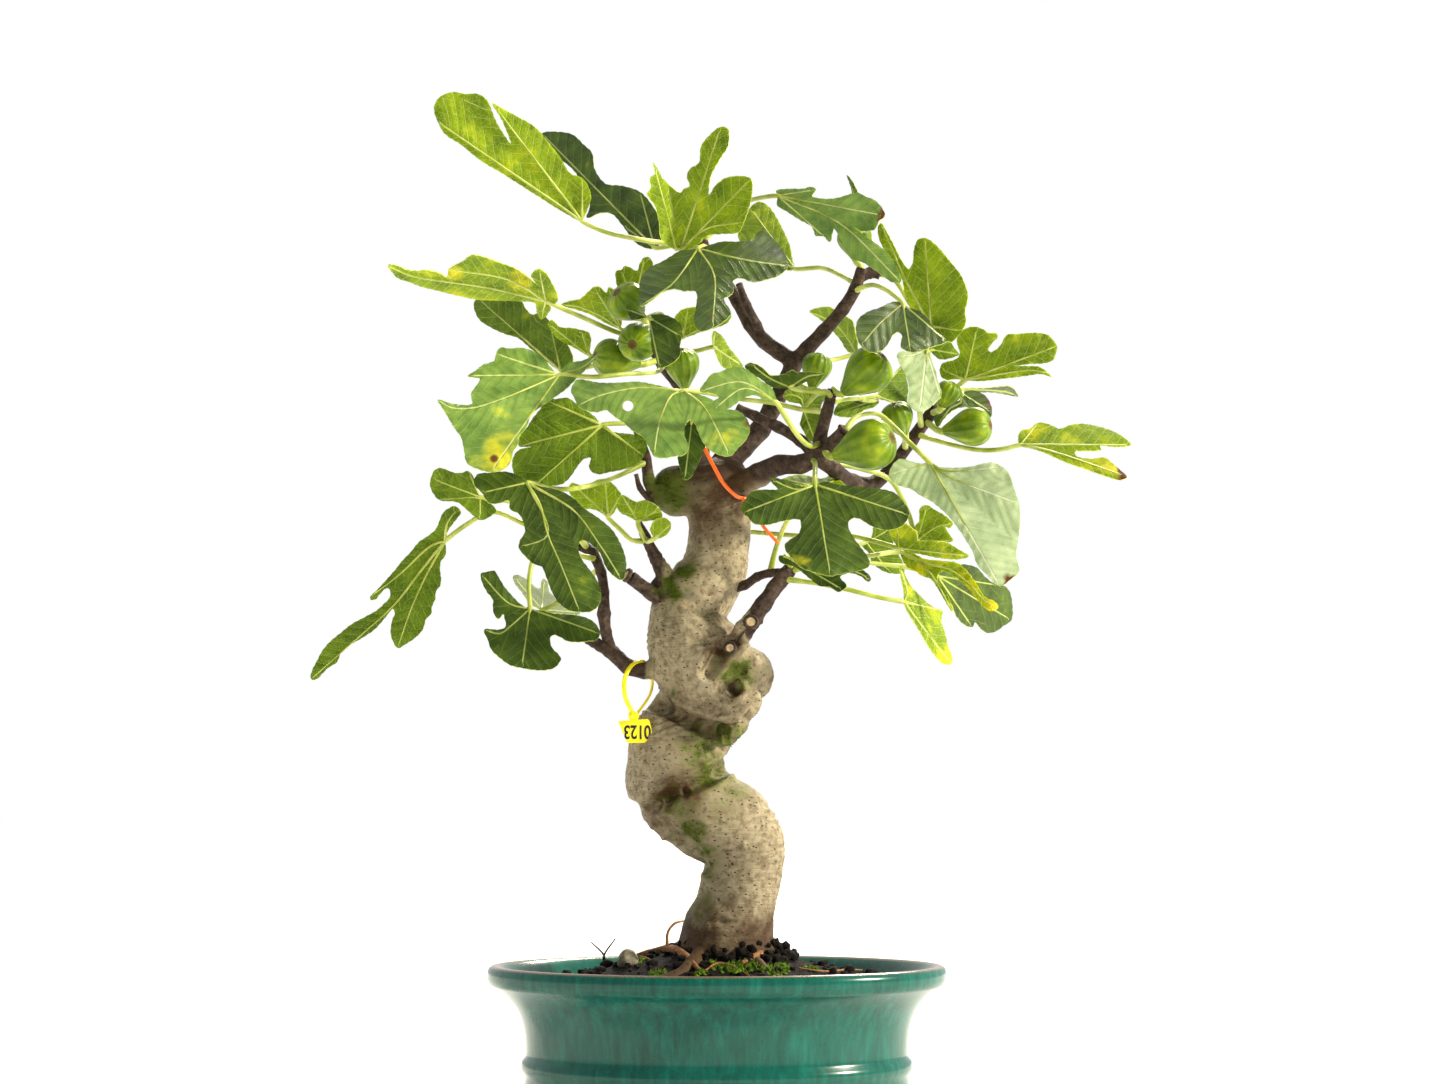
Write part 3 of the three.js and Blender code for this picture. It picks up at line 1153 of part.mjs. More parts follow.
function tieBody() {
  const loop = stem(TIE_ROUTE.map(seen), TIE_ROUTE.map(() => TIE_RADIUS), 5, 1);
  const tail = stem(TIE_TAIL.map(seen), TIE_TAIL.map(() => TIE_RADIUS), 5, 1);
  return loop.add(tail);
}

// Pebble, half sunk in the soil
const PEBBLE_AT = [-52, -18];
const PEBBLE_RADIUS = 6;
const PEBBLE_SQUASH = [1.05, 0.85, 0.9];

function pebbleBody(grow) {
  const [x, y] = PEBBLE_AT;
  const place = new THREE.Vector3(x, y, soilTop(x, y) + 1);
  return ball(place, PEBBLE_RADIUS + grow, 1, PEBBLE_SQUASH);
}

// Materials

function finish(color, roughness, metalness = 0) {
  return new THREE.MeshStandardMaterial({ color, roughness, metalness });
}

const GLAZE = finish(0x0f5f4e, 0.18);
const BARK = finish(0x8d8270, 0.85);
const EARTH = finish(0x241a14, 0.98);
const LEAF_UPPER = finish(0x48682f, 0.6);
const LEAF_LIT = finish(0x86a01c, 0.55);
const FIG_SKIN = finish(0x7f9a2a, 0.5);
const STONE = finish(0x6f6a5c, 0.85);
const YELLOW_PLASTIC = finish(0xffe600, 0.35);
const ORANGE_PLASTIC = finish(0xff6a13, 0.4);
const SCREEN_PLASTIC = finish(0x1d1d1d, 0.6);

// Assembly

const tree = wood(0);
const woodClear = wood(SEAT_GAP);
const screen = screenDisc(SCREEN_RADIUS, SCREEN_THICK, SEAT_GAP);
const screenClear = screenDisc(SCREEN_RADIUS + SEAT_GAP, SCREEN_THICK + SEAT_GAP, SEAT_GAP);

const group = new THREE.Group();

function place(name, body, material) {
  const mesh = new THREE.Mesh(geometryOf(body), material);
  mesh.name = name;
  group.add(mesh);
}

place('pot', oval(POT_PROFILE, POT_SEGMENTS).subtract(drainHole()), GLAZE);
place('drain_screen', screen, SCREEN_PLASTIC);
place('soil', largest(soilBody().subtract(woodClear).subtract(pebbleBody(SEAT_GAP))
  .subtract(screenClear)), EARTH);
place('tree', tree, BARK);
place('pebble', pebbleBody(0), STONE);
place('tag', largest(tagBody().subtract(woodClear)), YELLOW_PLASTIC);
place('tie', largest(tieBody().subtract(woodClear)), ORANGE_PLASTIC);
for (const [name, fig] of Object.entries(FIGS)) {
  place(name, largest(figBody(fig).subtract(woodClear)), FIG_SKIN);
}
for (const [name, leaves] of Object.entries(LEAVES)) {
  const lit = leaves[0].side === 'under';
  place(name, largest(leafBody(leaves).subtract(woodClear)), lit ? LEAF_LIT : LEAF_UPPER);
}

export default group;
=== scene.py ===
# %% [markdown]
# # A fig bonsai in an oval glazed pot
# The CAD frame brings the solids, in metres, with +Z up and the front towards -Y. A grown plant has
# too many small curves for solids, so this lesson keeps their places and sizes and builds each leaf,
# the wood, the fruit and the pot again with finer meshes. Every finish is made of shader nodes.

# %% The frame
import math
import random

import bmesh
import bpy
import numpy as np
from mathutils import Matrix, Vector, noise
from mathutils.geometry import delaunay_2d_cdt


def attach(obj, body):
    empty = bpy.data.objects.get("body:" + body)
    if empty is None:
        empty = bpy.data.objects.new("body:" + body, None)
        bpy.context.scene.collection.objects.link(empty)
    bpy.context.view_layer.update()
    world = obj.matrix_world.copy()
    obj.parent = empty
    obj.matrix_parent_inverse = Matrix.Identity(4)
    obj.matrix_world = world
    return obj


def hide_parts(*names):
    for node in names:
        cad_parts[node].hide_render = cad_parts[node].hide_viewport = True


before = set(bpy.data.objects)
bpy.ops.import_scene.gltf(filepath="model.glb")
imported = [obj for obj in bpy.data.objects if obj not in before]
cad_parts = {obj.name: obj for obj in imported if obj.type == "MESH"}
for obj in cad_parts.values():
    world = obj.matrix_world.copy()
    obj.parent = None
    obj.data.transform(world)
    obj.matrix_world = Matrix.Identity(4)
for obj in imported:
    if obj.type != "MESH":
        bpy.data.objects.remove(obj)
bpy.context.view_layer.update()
MM = 0.001
print("solids from the frame:", len(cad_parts))

# %% [markdown]
# The plant was drawn in its front view. A place is [steps across, steps down, depth in mm], where one
# step is 0.6 mm at the trunk and depth runs away from the viewer. The same place is found from the
# eye of that view, so the camera stands at that eye and the drawing lands where it was drawn.

# %% The front view
STEP = 0.6
VIEW_SIZE = (1445, 1084)
VIEW_MIDDLE = (VIEW_SIZE[0] / 2, VIEW_SIZE[1] / 2)
AIM = Vector((3.3, 0, 374))
EYE_DISTANCE = 1600
EYE_HEIGHT = 218
EYE = Vector((AIM.x, -math.sqrt(EYE_DISTANCE ** 2 - (AIM.z - EYE_HEIGHT) ** 2), EYE_HEIGHT))
SIGHT = (AIM - EYE).normalized()
VIEW_UP = (AIM - EYE).cross(Vector((-1, 0, 0))).normalized()
SENSOR_WIDTH = 36


def seen(across, down, depth):
    """The place in metres that shows at a point of the front view and lies at a depth."""
    on_view = AIM + Vector((1, 0, 0)) * (across - VIEW_MIDDLE[0]) * STEP
    on_view += VIEW_UP * (VIEW_MIDDLE[1] - down) * STEP
    ray = on_view - EYE
    return (EYE + ray * ((depth - EYE.y) / ray.y)) * MM


def shown(name, data):
    """Puts a mesh, lamp, camera or text into the scene."""
    made = bpy.data.objects.new(name, data)
    bpy.context.scene.collection.objects.link(made)
    return made


camera_data = bpy.data.cameras.new("camera")
camera_data.sensor_width = SENSOR_WIDTH
camera_data.lens = SENSOR_WIDTH * EYE_DISTANCE / (VIEW_SIZE[0] * STEP)
camera = shown("camera", camera_data)
camera.matrix_world = Matrix.Translation(EYE * MM) @ SIGHT.to_track_quat("-Z", "Y").to_matrix().to_4x4()
bpy.context.scene.camera = camera
print("lens", round(camera_data.lens, 1), "mm")

# %% [markdown]
# A node tree is easier to read when each node is one line. One function adds a node, sets its plain
# settings and its input values, and joins the inputs that are given as sockets of other nodes.
# Colours are written as sRGB hex values, as a colour picker shows them, and turned to linear light.

# %% Helpers for materials
NOISE = "ShaderNodeTexNoise"
CELLS = "ShaderNodeTexVoronoi"
RAMP = "ShaderNodeValToRGB"
RANGE = "ShaderNodeMapRange"
MATH = "ShaderNodeMath"
SPLIT = "ShaderNodeSeparateXYZ"
STRETCH = "ShaderNodeMapping"
UV = "ShaderNodeUVMap"
BUMP = "ShaderNodeBump"
MIX = "ShaderNodeMix"
COLOURS = {"data_type": "RGBA"}
TIMES = {"operation": "MULTIPLY"}
TIMES_PLUS = {"operation": "MULTIPLY_ADD"}
LARGER = {"operation": "MAXIMUM"}
SOFT_STEP = {"interpolation_type": "SMOOTHSTEP"}
SKIN_SHADER = "ShaderNodeBsdfPrincipled"
OUTPUT = "ShaderNodeOutputMaterial"


def linear(hex_colour):
    parts = [int(hex_colour[i:i + 2], 16) / 255 for i in (1, 3, 5)]
    flat = [part / 12.92 if part <= 0.04045 else ((part + 0.055) / 1.055) ** 2.4 for part in parts]
    return (*flat, 1)


def add(tree, kind, settings=None, **inputs):
    """Adds one node. An input is a number, a colour, a socket, or a node whose first output is meant.

    It is named by its label, with _ for a space, or by _ and its number where labels repeat.
    """
    made = tree.nodes.new(kind)
    for name, value in (settings or {}).items():
        if name != "stops":
            setattr(made, name, value)
    stops = (settings or {}).get("stops", [])
    for _ in stops[2:]:
        made.color_ramp.elements.new(0.5)
    for i, (position, colour) in enumerate(stops):
        made.color_ramp.elements[i].position = position
        made.color_ramp.elements[i].color = linear(colour)
    for name, value in inputs.items():
        socket = made.inputs[int(name[1:])] if name[1:].isdigit() else made.inputs[name.replace("_", " ")]
        if isinstance(value, bpy.types.Node):
            value = next(output for output in value.outputs if output.enabled)
        if isinstance(value, bpy.types.NodeSocket):
            tree.links.new(value, socket)
        elif isinstance(value, str):
            socket.default_value = linear(value)
        else:
            socket.default_value = value
    return made


def new_material(name):
    """A material with an empty node tree, and the object's own coordinates, which are metres here."""
    material = bpy.data.materials.new(name)
    material.use_nodes = True
    tree = material.node_tree
    tree.nodes.clear()
    return material, tree, add(tree, "ShaderNodeTexCoord").outputs["Object"]


def per_metre(size_mm):
    """The scale of a pattern whose features are about this many mm apart."""
    return 1000 / size_mm


print("mid grey in linear light:", round(linear("#808080")[0], 3))

# %% [markdown]
# The pot is stoneware with a poured, glossy green glaze. Glass over a rough body gives a sharp
# highlight. The glaze is thicker where it ran down, so its colour has fine upright streaks, and it
# breaks to brown on the sharp rim where it is thin.

# %% Glaze
# Between these heights in metres the glaze of the lip breaks to the brown body.
RIM_BREAKS = (0.1228, 0.1238)
glaze, tree, where = new_material("stoneware_green_glazed")
streak_place = add(tree, STRETCH, Vector=where, Scale=(1, 1, 0.16))
streaks = add(tree, NOISE, Vector=streak_place, Scale=per_metre(5), Detail=5, Roughness=0.65)
clouds = add(tree, NOISE, Vector=where, Scale=per_metre(42), Detail=3)
specks = add(tree, NOISE, Vector=where, Scale=per_metre(1.1), Detail=2)
green = add(tree, RAMP, {"stops": [(0.3, "#053f35"), (0.52, "#075045"), (0.72, "#0c6457")]}, Fac=streaks)
pooled = add(tree, RAMP, {"stops": [(0.4, "#000000"), (0.75, "#8c8c8c")]}, Fac=clouds)
deep = add(tree, MIX, COLOURS, _0=pooled, _6=green, _7="#15564c")
speck_share = add(tree, RAMP, {"stops": [(0.6, "#000000"), (0.72, "#b0b0b0")]}, Fac=specks)
speckled = add(tree, MIX, COLOURS, _0=speck_share, _6=deep, _7="#03231e")
height = add(tree, SPLIT, Vector=where).outputs[2]
rough_rim = add(tree, MATH, TIMES_PLUS, _0=specks, _1=0.0022, _2=height)
on_rim = add(tree, RANGE, Value=rough_rim, From_Min=RIM_BREAKS[0], From_Max=RIM_BREAKS[1])
colour = add(tree, MIX, COLOURS, _0=on_rim, _6=speckled, _7="#6d5a44")
orange_peel = add(tree, BUMP, Height=clouds, Distance=0.0006, Strength=0.35)
shader = add(tree, SKIN_SHADER, Base_Color=colour, Roughness=0.2, IOR=1.5,
             Specular_IOR_Level=0.3, Normal=orange_peel)
add(tree, OUTPUT, Surface=shader)
print("nodes of the glaze:", len(tree.nodes))

# %% [markdown]
# Fig bark on an old trunk is thin and silvery, with small dark lenticels that lie across the stem,
# brown scars where it healed, and green algae where it stays damp. Young wood is darker and browner.
# Both come from one bark with the colours passed in. On the trunk the UV map "growth" says how young
# the wood is, and a second map says where algae sit and where the bark is brown: stains, and painted
# shade in the hollows and under the folds.

# %% Bark
LENTICEL_PITCH = 4.4
WRINKLE_PITCH = 7


# The stain colour is brown stain, and on the trunk it is also painted shade in the hollows and under the
# folds.
def bark_finish(name, pale, light, dark, stain_and_shade, mapped):
    material, tree, where = new_material(name)
    patches = add(tree, NOISE, Vector=where, Scale=per_metre(24), Detail=6, Roughness=0.62)
    mottle = add(tree, NOISE, Vector=where, Scale=per_metre(4), Detail=8, Roughness=0.66)
    lens_place = add(tree, STRETCH, Vector=where, Scale=(1, 1, 1.9))
    lenticels = add(tree, CELLS, Vector=lens_place, Scale=per_metre(LENTICEL_PITCH))
    fold_place = add(tree, STRETCH, Vector=where, Scale=(0.35, 0.35, 3))
    wrinkles = add(tree, NOISE, Vector=fold_place, Scale=per_metre(WRINKLE_PITCH), Detail=6,
                   Roughness=0.6)
    skin = add(tree, RAMP, {"stops": [(0.3, dark), (0.5, light), (0.72, pale)]}, Fac=mottle)
    if mapped:
        growth = add(tree, SPLIT, Vector=add(tree, UV, {"uv_map": "growth"}))
        damp_and_shade = add(tree, SPLIT, Vector=add(tree, UV, {"uv_map": "damp_and_shade"}))
        young = add(tree, RAMP, {"stops": [(0.35, "#1d130c"), (0.7, "#57443a")]}, Fac=mottle)
        aged = add(tree, MATH, TIMES_PLUS, _0=mottle, _1=0.5, _2=growth)
        young_share = add(tree, RANGE, Value=aged, From_Min=0.65, From_Max=0.9)
        skin = add(tree, MIX, COLOURS, _0=young_share, _6=skin, _7=young)
        # Brown from random patches and from the map: stains, and painted shade in the dents, the folds and
        # under the low right branch.
        stained_and_shaded = add(tree, MATH, TIMES_PLUS, _0=patches, _1=2.0, _2=damp_and_shade.outputs[1])
        stain_and_shade_share = add(tree, RANGE, Value=stained_and_shaded, From_Min=1.1, From_Max=1.75)
        skin = add(tree, MIX, COLOURS, _0=stain_and_shade_share, _6=skin, _7=stain_and_shade)
        greened = add(tree, MATH, TIMES_PLUS, _0=mottle, _1=1.9, _2=damp_and_shade)
        green_share = add(tree, RANGE, Value=greened, From_Min=1.1, From_Max=1.65)
        skin = add(tree, MIX, COLOURS, _0=green_share, _6=skin, _7="#4a5410")
    else:
        stain_and_shade_share = add(tree, RANGE, Value=patches, From_Min=0.5, From_Max=0.7)
        skin = add(tree, MIX, COLOURS, _0=stain_and_shade_share, _6=skin, _7=stain_and_shade)
    dots = add(tree, RAMP, {"stops": [(0.12, "#ffffff"), (0.2, "#000000")]}, Fac=lenticels)
    dotted = add(tree, MIX, COLOURS, _0=dots, _6=skin, _7="#2a1d12")
    low = add(tree, BUMP, Height=wrinkles, Distance=0.0016, Strength=0.7)
    fine = add(tree, BUMP, Height=mottle, Distance=0.0007, Strength=0.55, Normal=low)
    bumps = add(tree, BUMP, Height=dots, Distance=0.0005, Strength=0.7, Normal=fine)
    shader = add(tree, SKIN_SHADER, Base_Color=dotted, Roughness=0.72, IOR=1.45,
                 Specular_IOR_Level=0.3, Normal=bumps)
    add(tree, OUTPUT, Surface=shader)
    return material


old_bark = bark_finish("bark_old_fig_smooth", "#b4a98f", "#8d8167", "#5c4f38", "#44301b", True)
young_bark = bark_finish("bark_young_fig_rough", "#65534a", "#3d2e26", "#1c120c", "#281a12", False)
print("nodes of old and young bark:", *(len(bark.node_tree.nodes) for bark in (old_bark, young_bark)))

# %% [markdown]
# The soil is dark crumbly loam, so it is matt and very rough. Moss is a mat of tiny bright leaves,
# which reads as strong fine noise between two greens. The pebble and the roots are duller.

# %% Soil, moss and stone


def crumbly(name, low, high, size_mm, depth, roughness=0.95):
    material, tree, where = new_material(name)
    grain = add(tree, NOISE, Vector=where, Scale=per_metre(size_mm), Detail=8, Roughness=0.75)
    colour = add(tree, RAMP, {"stops": [(0.35, low), (0.68, high)]}, Fac=grain)
    shader = add(tree, SKIN_SHADER, Base_Color=colour, Roughness=roughness,
                 Specular_IOR_Level=0.25, Normal=add(tree, BUMP, Height=grain, Distance=depth))
    add(tree, OUTPUT, Surface=shader)
    return material


loam = crumbly("loam_crumbled", "#040201", "#140c07", 3, 0.002)
moss = crumbly("moss_grown", "#2a400a", "#7aa11f", 0.9, 0.001)
stone = crumbly("sandstone_worn", "#5a5346", "#97907d", 2.5, 0.0006, 0.8)
root_skin = crumbly("root_skin_dry", "#5f3c22", "#a8794d", 2.2, 0.0005, 0.8)
print("crumbly finishes:", *(made.name for made in (loam, moss, stone, root_skin)))

# %% [markdown]
# A green fig has a thin waxy skin with faint ribs from neck to eye, pale specks and a brown eye.
# The ribs and the eye follow the fruit, so they read its UV map: across is round it, up is along it.

# %% Fig skin
FIG_RIBS = 13
fig_skin, tree, where = new_material("fig_skin_waxy")
split = add(tree, SPLIT, Vector=add(tree, UV, {"uv_map": "round"}))
turn = add(tree, MATH, TIMES, _0=split, _1=2 * math.pi * FIG_RIBS)
ribs = add(tree, MATH, {"operation": "SINE"}, _0=turn)
blotch = add(tree, NOISE, Vector=where, Scale=per_metre(11), Detail=4)
specks = add(tree, CELLS, Vector=where, Scale=per_metre(2.1))
body = add(tree, RAMP, {"stops": [(0.3, "#3e5a00"), (0.55, "#647f00"), (0.8, "#9cab0c")]}, Fac=blotch)
rib_share = add(tree, RANGE, Value=ribs, From_Min=0.2, From_Max=1.0, To_Max=0.16)
ribbed = add(tree, MIX, COLOURS, _0=rib_share, _6=body, _7="#8aa42c")
dots = add(tree, RAMP, {"stops": [(0.1, "#9a9a9a"), (0.2, "#000000")]}, Fac=specks)
dotted = add(tree, MIX, COLOURS, _0=dots, _6=ribbed, _7="#a9b84c")
at_eye = add(tree, RANGE, Value=split.outputs[1], From_Min=0.984, From_Max=0.996)
with_eye = add(tree, MIX, COLOURS, _0=at_eye, _6=dotted, _7="#5c4a18")
shader = add(tree, SKIN_SHADER, Base_Color=with_eye, Roughness=0.42, IOR=1.45,
             Specular_IOR_Level=0.3, Subsurface_Weight=0.2, Subsurface_Radius=(0.004, 0.004, 0.001),
             Subsurface_Scale=0.5,
             Normal=add(tree, BUMP, Height=ribs, Distance=0.0004, Strength=0.5))
add(tree, OUTPUT, Surface=shader)
print("nodes of the fig skin:", len(tree.nodes))

# %% [markdown]
# A fig leaf is thick and leathery. Its upper face is dark and slightly grey from fine hairs, with
# sunken cream veins. Its lower face is pale, with raised veins and a net between them, and light that
# falls through it makes it glow yellow-green. The brightest lower finish also has backlight painted
# into its colour, and two paler upper finishes have painted sheen and glare. The pattern follows the
# veins: the UV map "veins" holds mm along the nearest main vein and mm away from it, and "age" holds
# yellowing and brown edges.

# %% Leaf finishes
# All in mm. A main vein is solid for the first distance from its middle and gone at the second.
SIDE_VEIN_SPACING = 6.5
SIDE_VEIN_SLANT = 0.9
MAIN_VEIN = (0.25, 0.65)
NET_CELL = 2.72
YELLOWED = "#d5cf1d"
DRIED = "#6a4420"


def leaf_finish(name, deep, bright, vein, raised, glow, roughness, side_share, net_share):
    material, tree, where = new_material(name)
    split = add(tree, SPLIT, Vector=add(tree, UV, {"uv_map": "veins"}))
    side = add(tree, MATH, {"operation": "ABSOLUTE"}, _0=split.outputs[1])
    wander = add(tree, NOISE, Vector=where, Scale=per_metre(14), Detail=2)
    bent = add(tree, MATH, TIMES_PLUS, _0=side, _1=-SIDE_VEIN_SLANT, _2=split)
    wavy = add(tree, MATH, TIMES_PLUS, _0=wander, _1=3.5, _2=bent)
    phase = add(tree, MATH, TIMES, _0=wavy, _1=2 * math.pi / SIDE_VEIN_SPACING)
    wave = add(tree, MATH, {"operation": "COSINE"}, _0=phase)
    side_vein = add(tree, RANGE, SOFT_STEP, Value=wave, From_Min=0.965, From_Max=0.998)
    main_vein = add(tree, RANGE, SOFT_STEP, Value=side, From_Min=MAIN_VEIN[1], From_Max=MAIN_VEIN[0])
    net = add(tree, CELLS, {"feature": "DISTANCE_TO_EDGE"}, Vector=where, Scale=per_metre(NET_CELL))
    net_line = add(tree, RANGE, SOFT_STEP, Value=net, From_Min=0.09, From_Max=0.02, To_Max=net_share)
    some = add(tree, MATH, LARGER, _0=side_vein, _1=net_line)
    weaker = add(tree, MATH, TIMES, _0=some, _1=side_share)
    lines = add(tree, MATH, LARGER, _0=main_vein, _1=weaker)
    cloud = add(tree, NOISE, Vector=where, Scale=per_metre(16), Detail=5, Roughness=0.6)
    body = add(tree, RAMP, {"stops": [(0.3, deep), (0.7, bright)]}, Fac=cloud)
    age = add(tree, SPLIT, Vector=add(tree, UV, {"uv_map": "age"}))
    mottled = add(tree, MATH, TIMES_PLUS, _0=cloud, _1=1.8, _2=age)
    yellowing = add(tree, RANGE, Value=mottled, From_Min=1.2, From_Max=1.75)
    yellowed = add(tree, MIX, COLOURS, _0=yellowing, _6=body, _7=YELLOWED)
    veined = add(tree, MIX, COLOURS, _0=lines, _6=yellowed, _7=vein)
    browning = add(tree, MATH, TIMES_PLUS, _0=cloud, _1=1.0, _2=age.outputs[1])
    brown_share = add(tree, RANGE, Value=browning, From_Min=1.02, From_Max=1.3)
    colour = add(tree, MIX, COLOURS, _0=brown_share, _6=veined, _7=DRIED)
    relief = add(tree, BUMP, {"invert": not raised}, Height=lines, Distance=0.0007, Strength=0.8)
    quilt = add(tree, BUMP, {"invert": raised}, Height=wave, Distance=0.0005, Strength=0.28, Normal=relief)
    skin = add(tree, SKIN_SHADER, Base_Color=colour, Roughness=roughness, IOR=1.42,
               Specular_IOR_Level=0.3, Normal=quilt)
    through = add(tree, "ShaderNodeHueSaturation", Color=colour, Hue=0.485, Saturation=1.25, Value=1.5)
    lit = add(tree, "ShaderNodeBsdfTranslucent", Color=through)
    mixed = add(tree, "ShaderNodeMixShader", Fac=glow, _1=skin, _2=lit)
    add(tree, OUTPUT, Surface=mixed)
    return material


dark_upper = leaf_finish("leaf_upper_leathery_dark", "#293c10", "#50691e", "#a9b862",
                         raised=False, glow=0.2, roughness=0.44, side_share=0.24, net_share=0.2)
# Paler upper finish: partly a paler leaf, partly painted sunlit sheen.
pale_painted_sheen_upper = leaf_finish("leaf_upper_pale_painted_sheen", "#54762f", "#8cac50", "#c9d688",
                         raised=False, glow=0.22, roughness=0.38, side_share=0.26, net_share=0.16)
# Painted glare: this near-white upper finish stands for sun glare and sheen on the leaf.
glare_painted_upper = leaf_finish("leaf_upper_painted_glare", "#a8c08c", "#dcebc0", "#f2f8d8",
                           raised=False, glow=0.25, roughness=0.34, side_share=0.4, net_share=0.2)
# Painted backlight: a pale yellow-green underside, brightened further to stand for light shining through
# it.
backlight_painted_under = leaf_finish("leaf_under_downy_painted_backlight", "#6c9000", "#b0cc10", "#e8f290",
                          raised=True, glow=0.5, roughness=0.6, side_share=0.7, net_share=0.35)
olive_under = leaf_finish("leaf_under_downy_olive", "#486600", "#76950c", "#bccb66",
                          raised=True, glow=0.35, roughness=0.6, side_share=0.6, net_share=0.3)

stalk_skin, tree, where = new_material("leaf_stalk_smooth")
tint = add(tree, NOISE, Vector=where, Scale=per_metre(13), Detail=3)
colour = add(tree, RAMP, {"stops": [(0.35, "#8a9a2c"), (0.65, "#bcc566")]}, Fac=tint)
shader = add(tree, SKIN_SHADER, Base_Color=colour, Roughness=0.42, IOR=1.45,
             Subsurface_Weight=0.2, Subsurface_Radius=(0.002, 0.002, 0.001))
add(tree, OUTPUT, Surface=shader)
print("nodes of a leaf finish:", len(dark_upper.node_tree.nodes))

# %% [markdown]
# The tag and the tie are moulded and extruded plastics: even colour, a soft sheen, and only fine
# scuffs. The drain screen is a dark plastic mesh.

# %% Plastics


def plastic(name, colour, scuffed, roughness):
    material, tree, where = new_material(name)
    scuffs = add(tree, NOISE, Vector=where, Scale=per_metre(2), Detail=6, Roughness=0.7)
    mixed = add(tree, RAMP, {"stops": [(0.42, colour), (0.85, scuffed)]}, Fac=scuffs)
    shader = add(tree, SKIN_SHADER, Base_Color=mixed, Roughness=roughness, IOR=1.49,
                 Normal=add(tree, BUMP, Height=scuffs, Distance=0.0001, Strength=0.4))
    add(tree, OUTPUT, Surface=shader)
    return material


tag_plastic = plastic("polyethylene_yellow_moulded", "#ffee10", "#e6d200", 0.35)
tie_plastic = plastic("polypropylene_orange_extruded", "#ff7020", "#ee5a10", 0.34)
screen_plastic = plastic("polyethylene_black_moulded", "#181818", "#2c2c2c", 0.5)
ink = plastic("ink_black_printed", "#0b0b0b", "#1c1c1c", 0.5)
print("plastics:", *(made.name for made in (tag_plastic, tie_plastic, screen_plastic, ink)))

# %% [markdown]
# A centripetal Catmull-Rom curve passes through every drawn place without loops, so it turns a few
# places into a smooth stem or outline. Two more functions measure flat points against such a line.

# %% Curves


def curve_through(places, step, closed=False):
    """Points along a smooth line through the places, and the place number that each one lies at."""
    count = len(places)
    spans = count if closed else count - 1
    line, marks = [], []
    for span in range(spans):
        first, second = places[span % count], places[(span + 1) % count]
        before = places[span - 1] if span or closed else first * 2 - second
        after = places[(span + 2) % count] if closed or span + 2 < count else second * 2 - first
        runs = ((before, first), (first, second), (second, after))
        in_gap, gap, out_gap = [max((b - a).length, 1e-6) ** 0.5 for a, b in runs]
        leave = (first - before) / in_gap - (second - before) / (in_gap + gap) + (second - first) / gap
        arrive = (second - first) / gap - (after - first) / (gap + out_gap) + (after - second) / out_gap
        leave, arrive = leave * gap, arrive * gap
        parts = max(1, round((second - first).length / step))
        for part in range(parts):
            t = part / parts
            line.append(first * (2 * t ** 3 - 3 * t ** 2 + 1) + leave * (t ** 3 - 2 * t ** 2 + t)
                        + second * (3 * t ** 2 - 2 * t ** 3) + arrive * (t ** 3 - t ** 2))
            marks.append(span + t)
    if not closed:
        line.append(places[-1].copy())
        marks.append(count - 1)
    return line, marks


def near_line(points, line):
    """For flat points: the distance, the way along and the signed way across to a line."""
    points = np.asarray(points, float)[:, None, :]
    line = np.asarray(line, float)
    runs = np.diff(line, axis=0)
    lengths = np.maximum(np.hypot(runs[:, 0], runs[:, 1]), 1e-9)
    passed = np.concatenate([[0], np.cumsum(lengths)[:-1]])
    gaps = points - line[:-1]
    shares = (gaps * runs).sum(axis=2) / lengths ** 2
    off = gaps - np.clip(shares, 0, 1)[..., None] * runs
    distances = np.hypot(off[..., 0], off[..., 1])
    nearest = distances.argmin(axis=1)
    rows = np.arange(len(nearest))
    turn = (runs[:, 0] * gaps[..., 1] - runs[:, 1] * gaps[..., 0])[rows, nearest]
    distance = distances[rows, nearest]
    return distance, (passed + shares * lengths)[rows, nearest], np.copysign(distance, turn)


def inside(points, ring):
    """Which flat points lie in a closed ring: a line from one crosses the ring an odd number of times."""
    points = np.asarray(points, float)
    ring = np.asarray(ring, float)
    ahead = np.roll(ring, -1, axis=0)
    x, y = points[:, :1], points[:, 1:]
    crosses = (ring[:, 1] > y) != (ahead[:, 1] > y)
    rise = np.where(ahead[:, 1] == ring[:, 1], 1e-9, ahead[:, 1] - ring[:, 1])
    reach = ring[:, 0] + (ahead[:, 0] - ring[:, 0]) * (y - ring[:, 1]) / rise
    return (crosses & (x < reach)).sum(axis=1) % 2 == 1


corner = [Vector(place) for place in ((0, 0), (10, 0), (10, 10))]
print("points of a rounded corner:", len(curve_through(corner, 1)[0]))

# %% [markdown]
# Most pieces are skins: rings of points along a line. A skin gathers points, faces, finishes and UV
# maps, and becomes one piece at the end.

# %% Skins and tubes


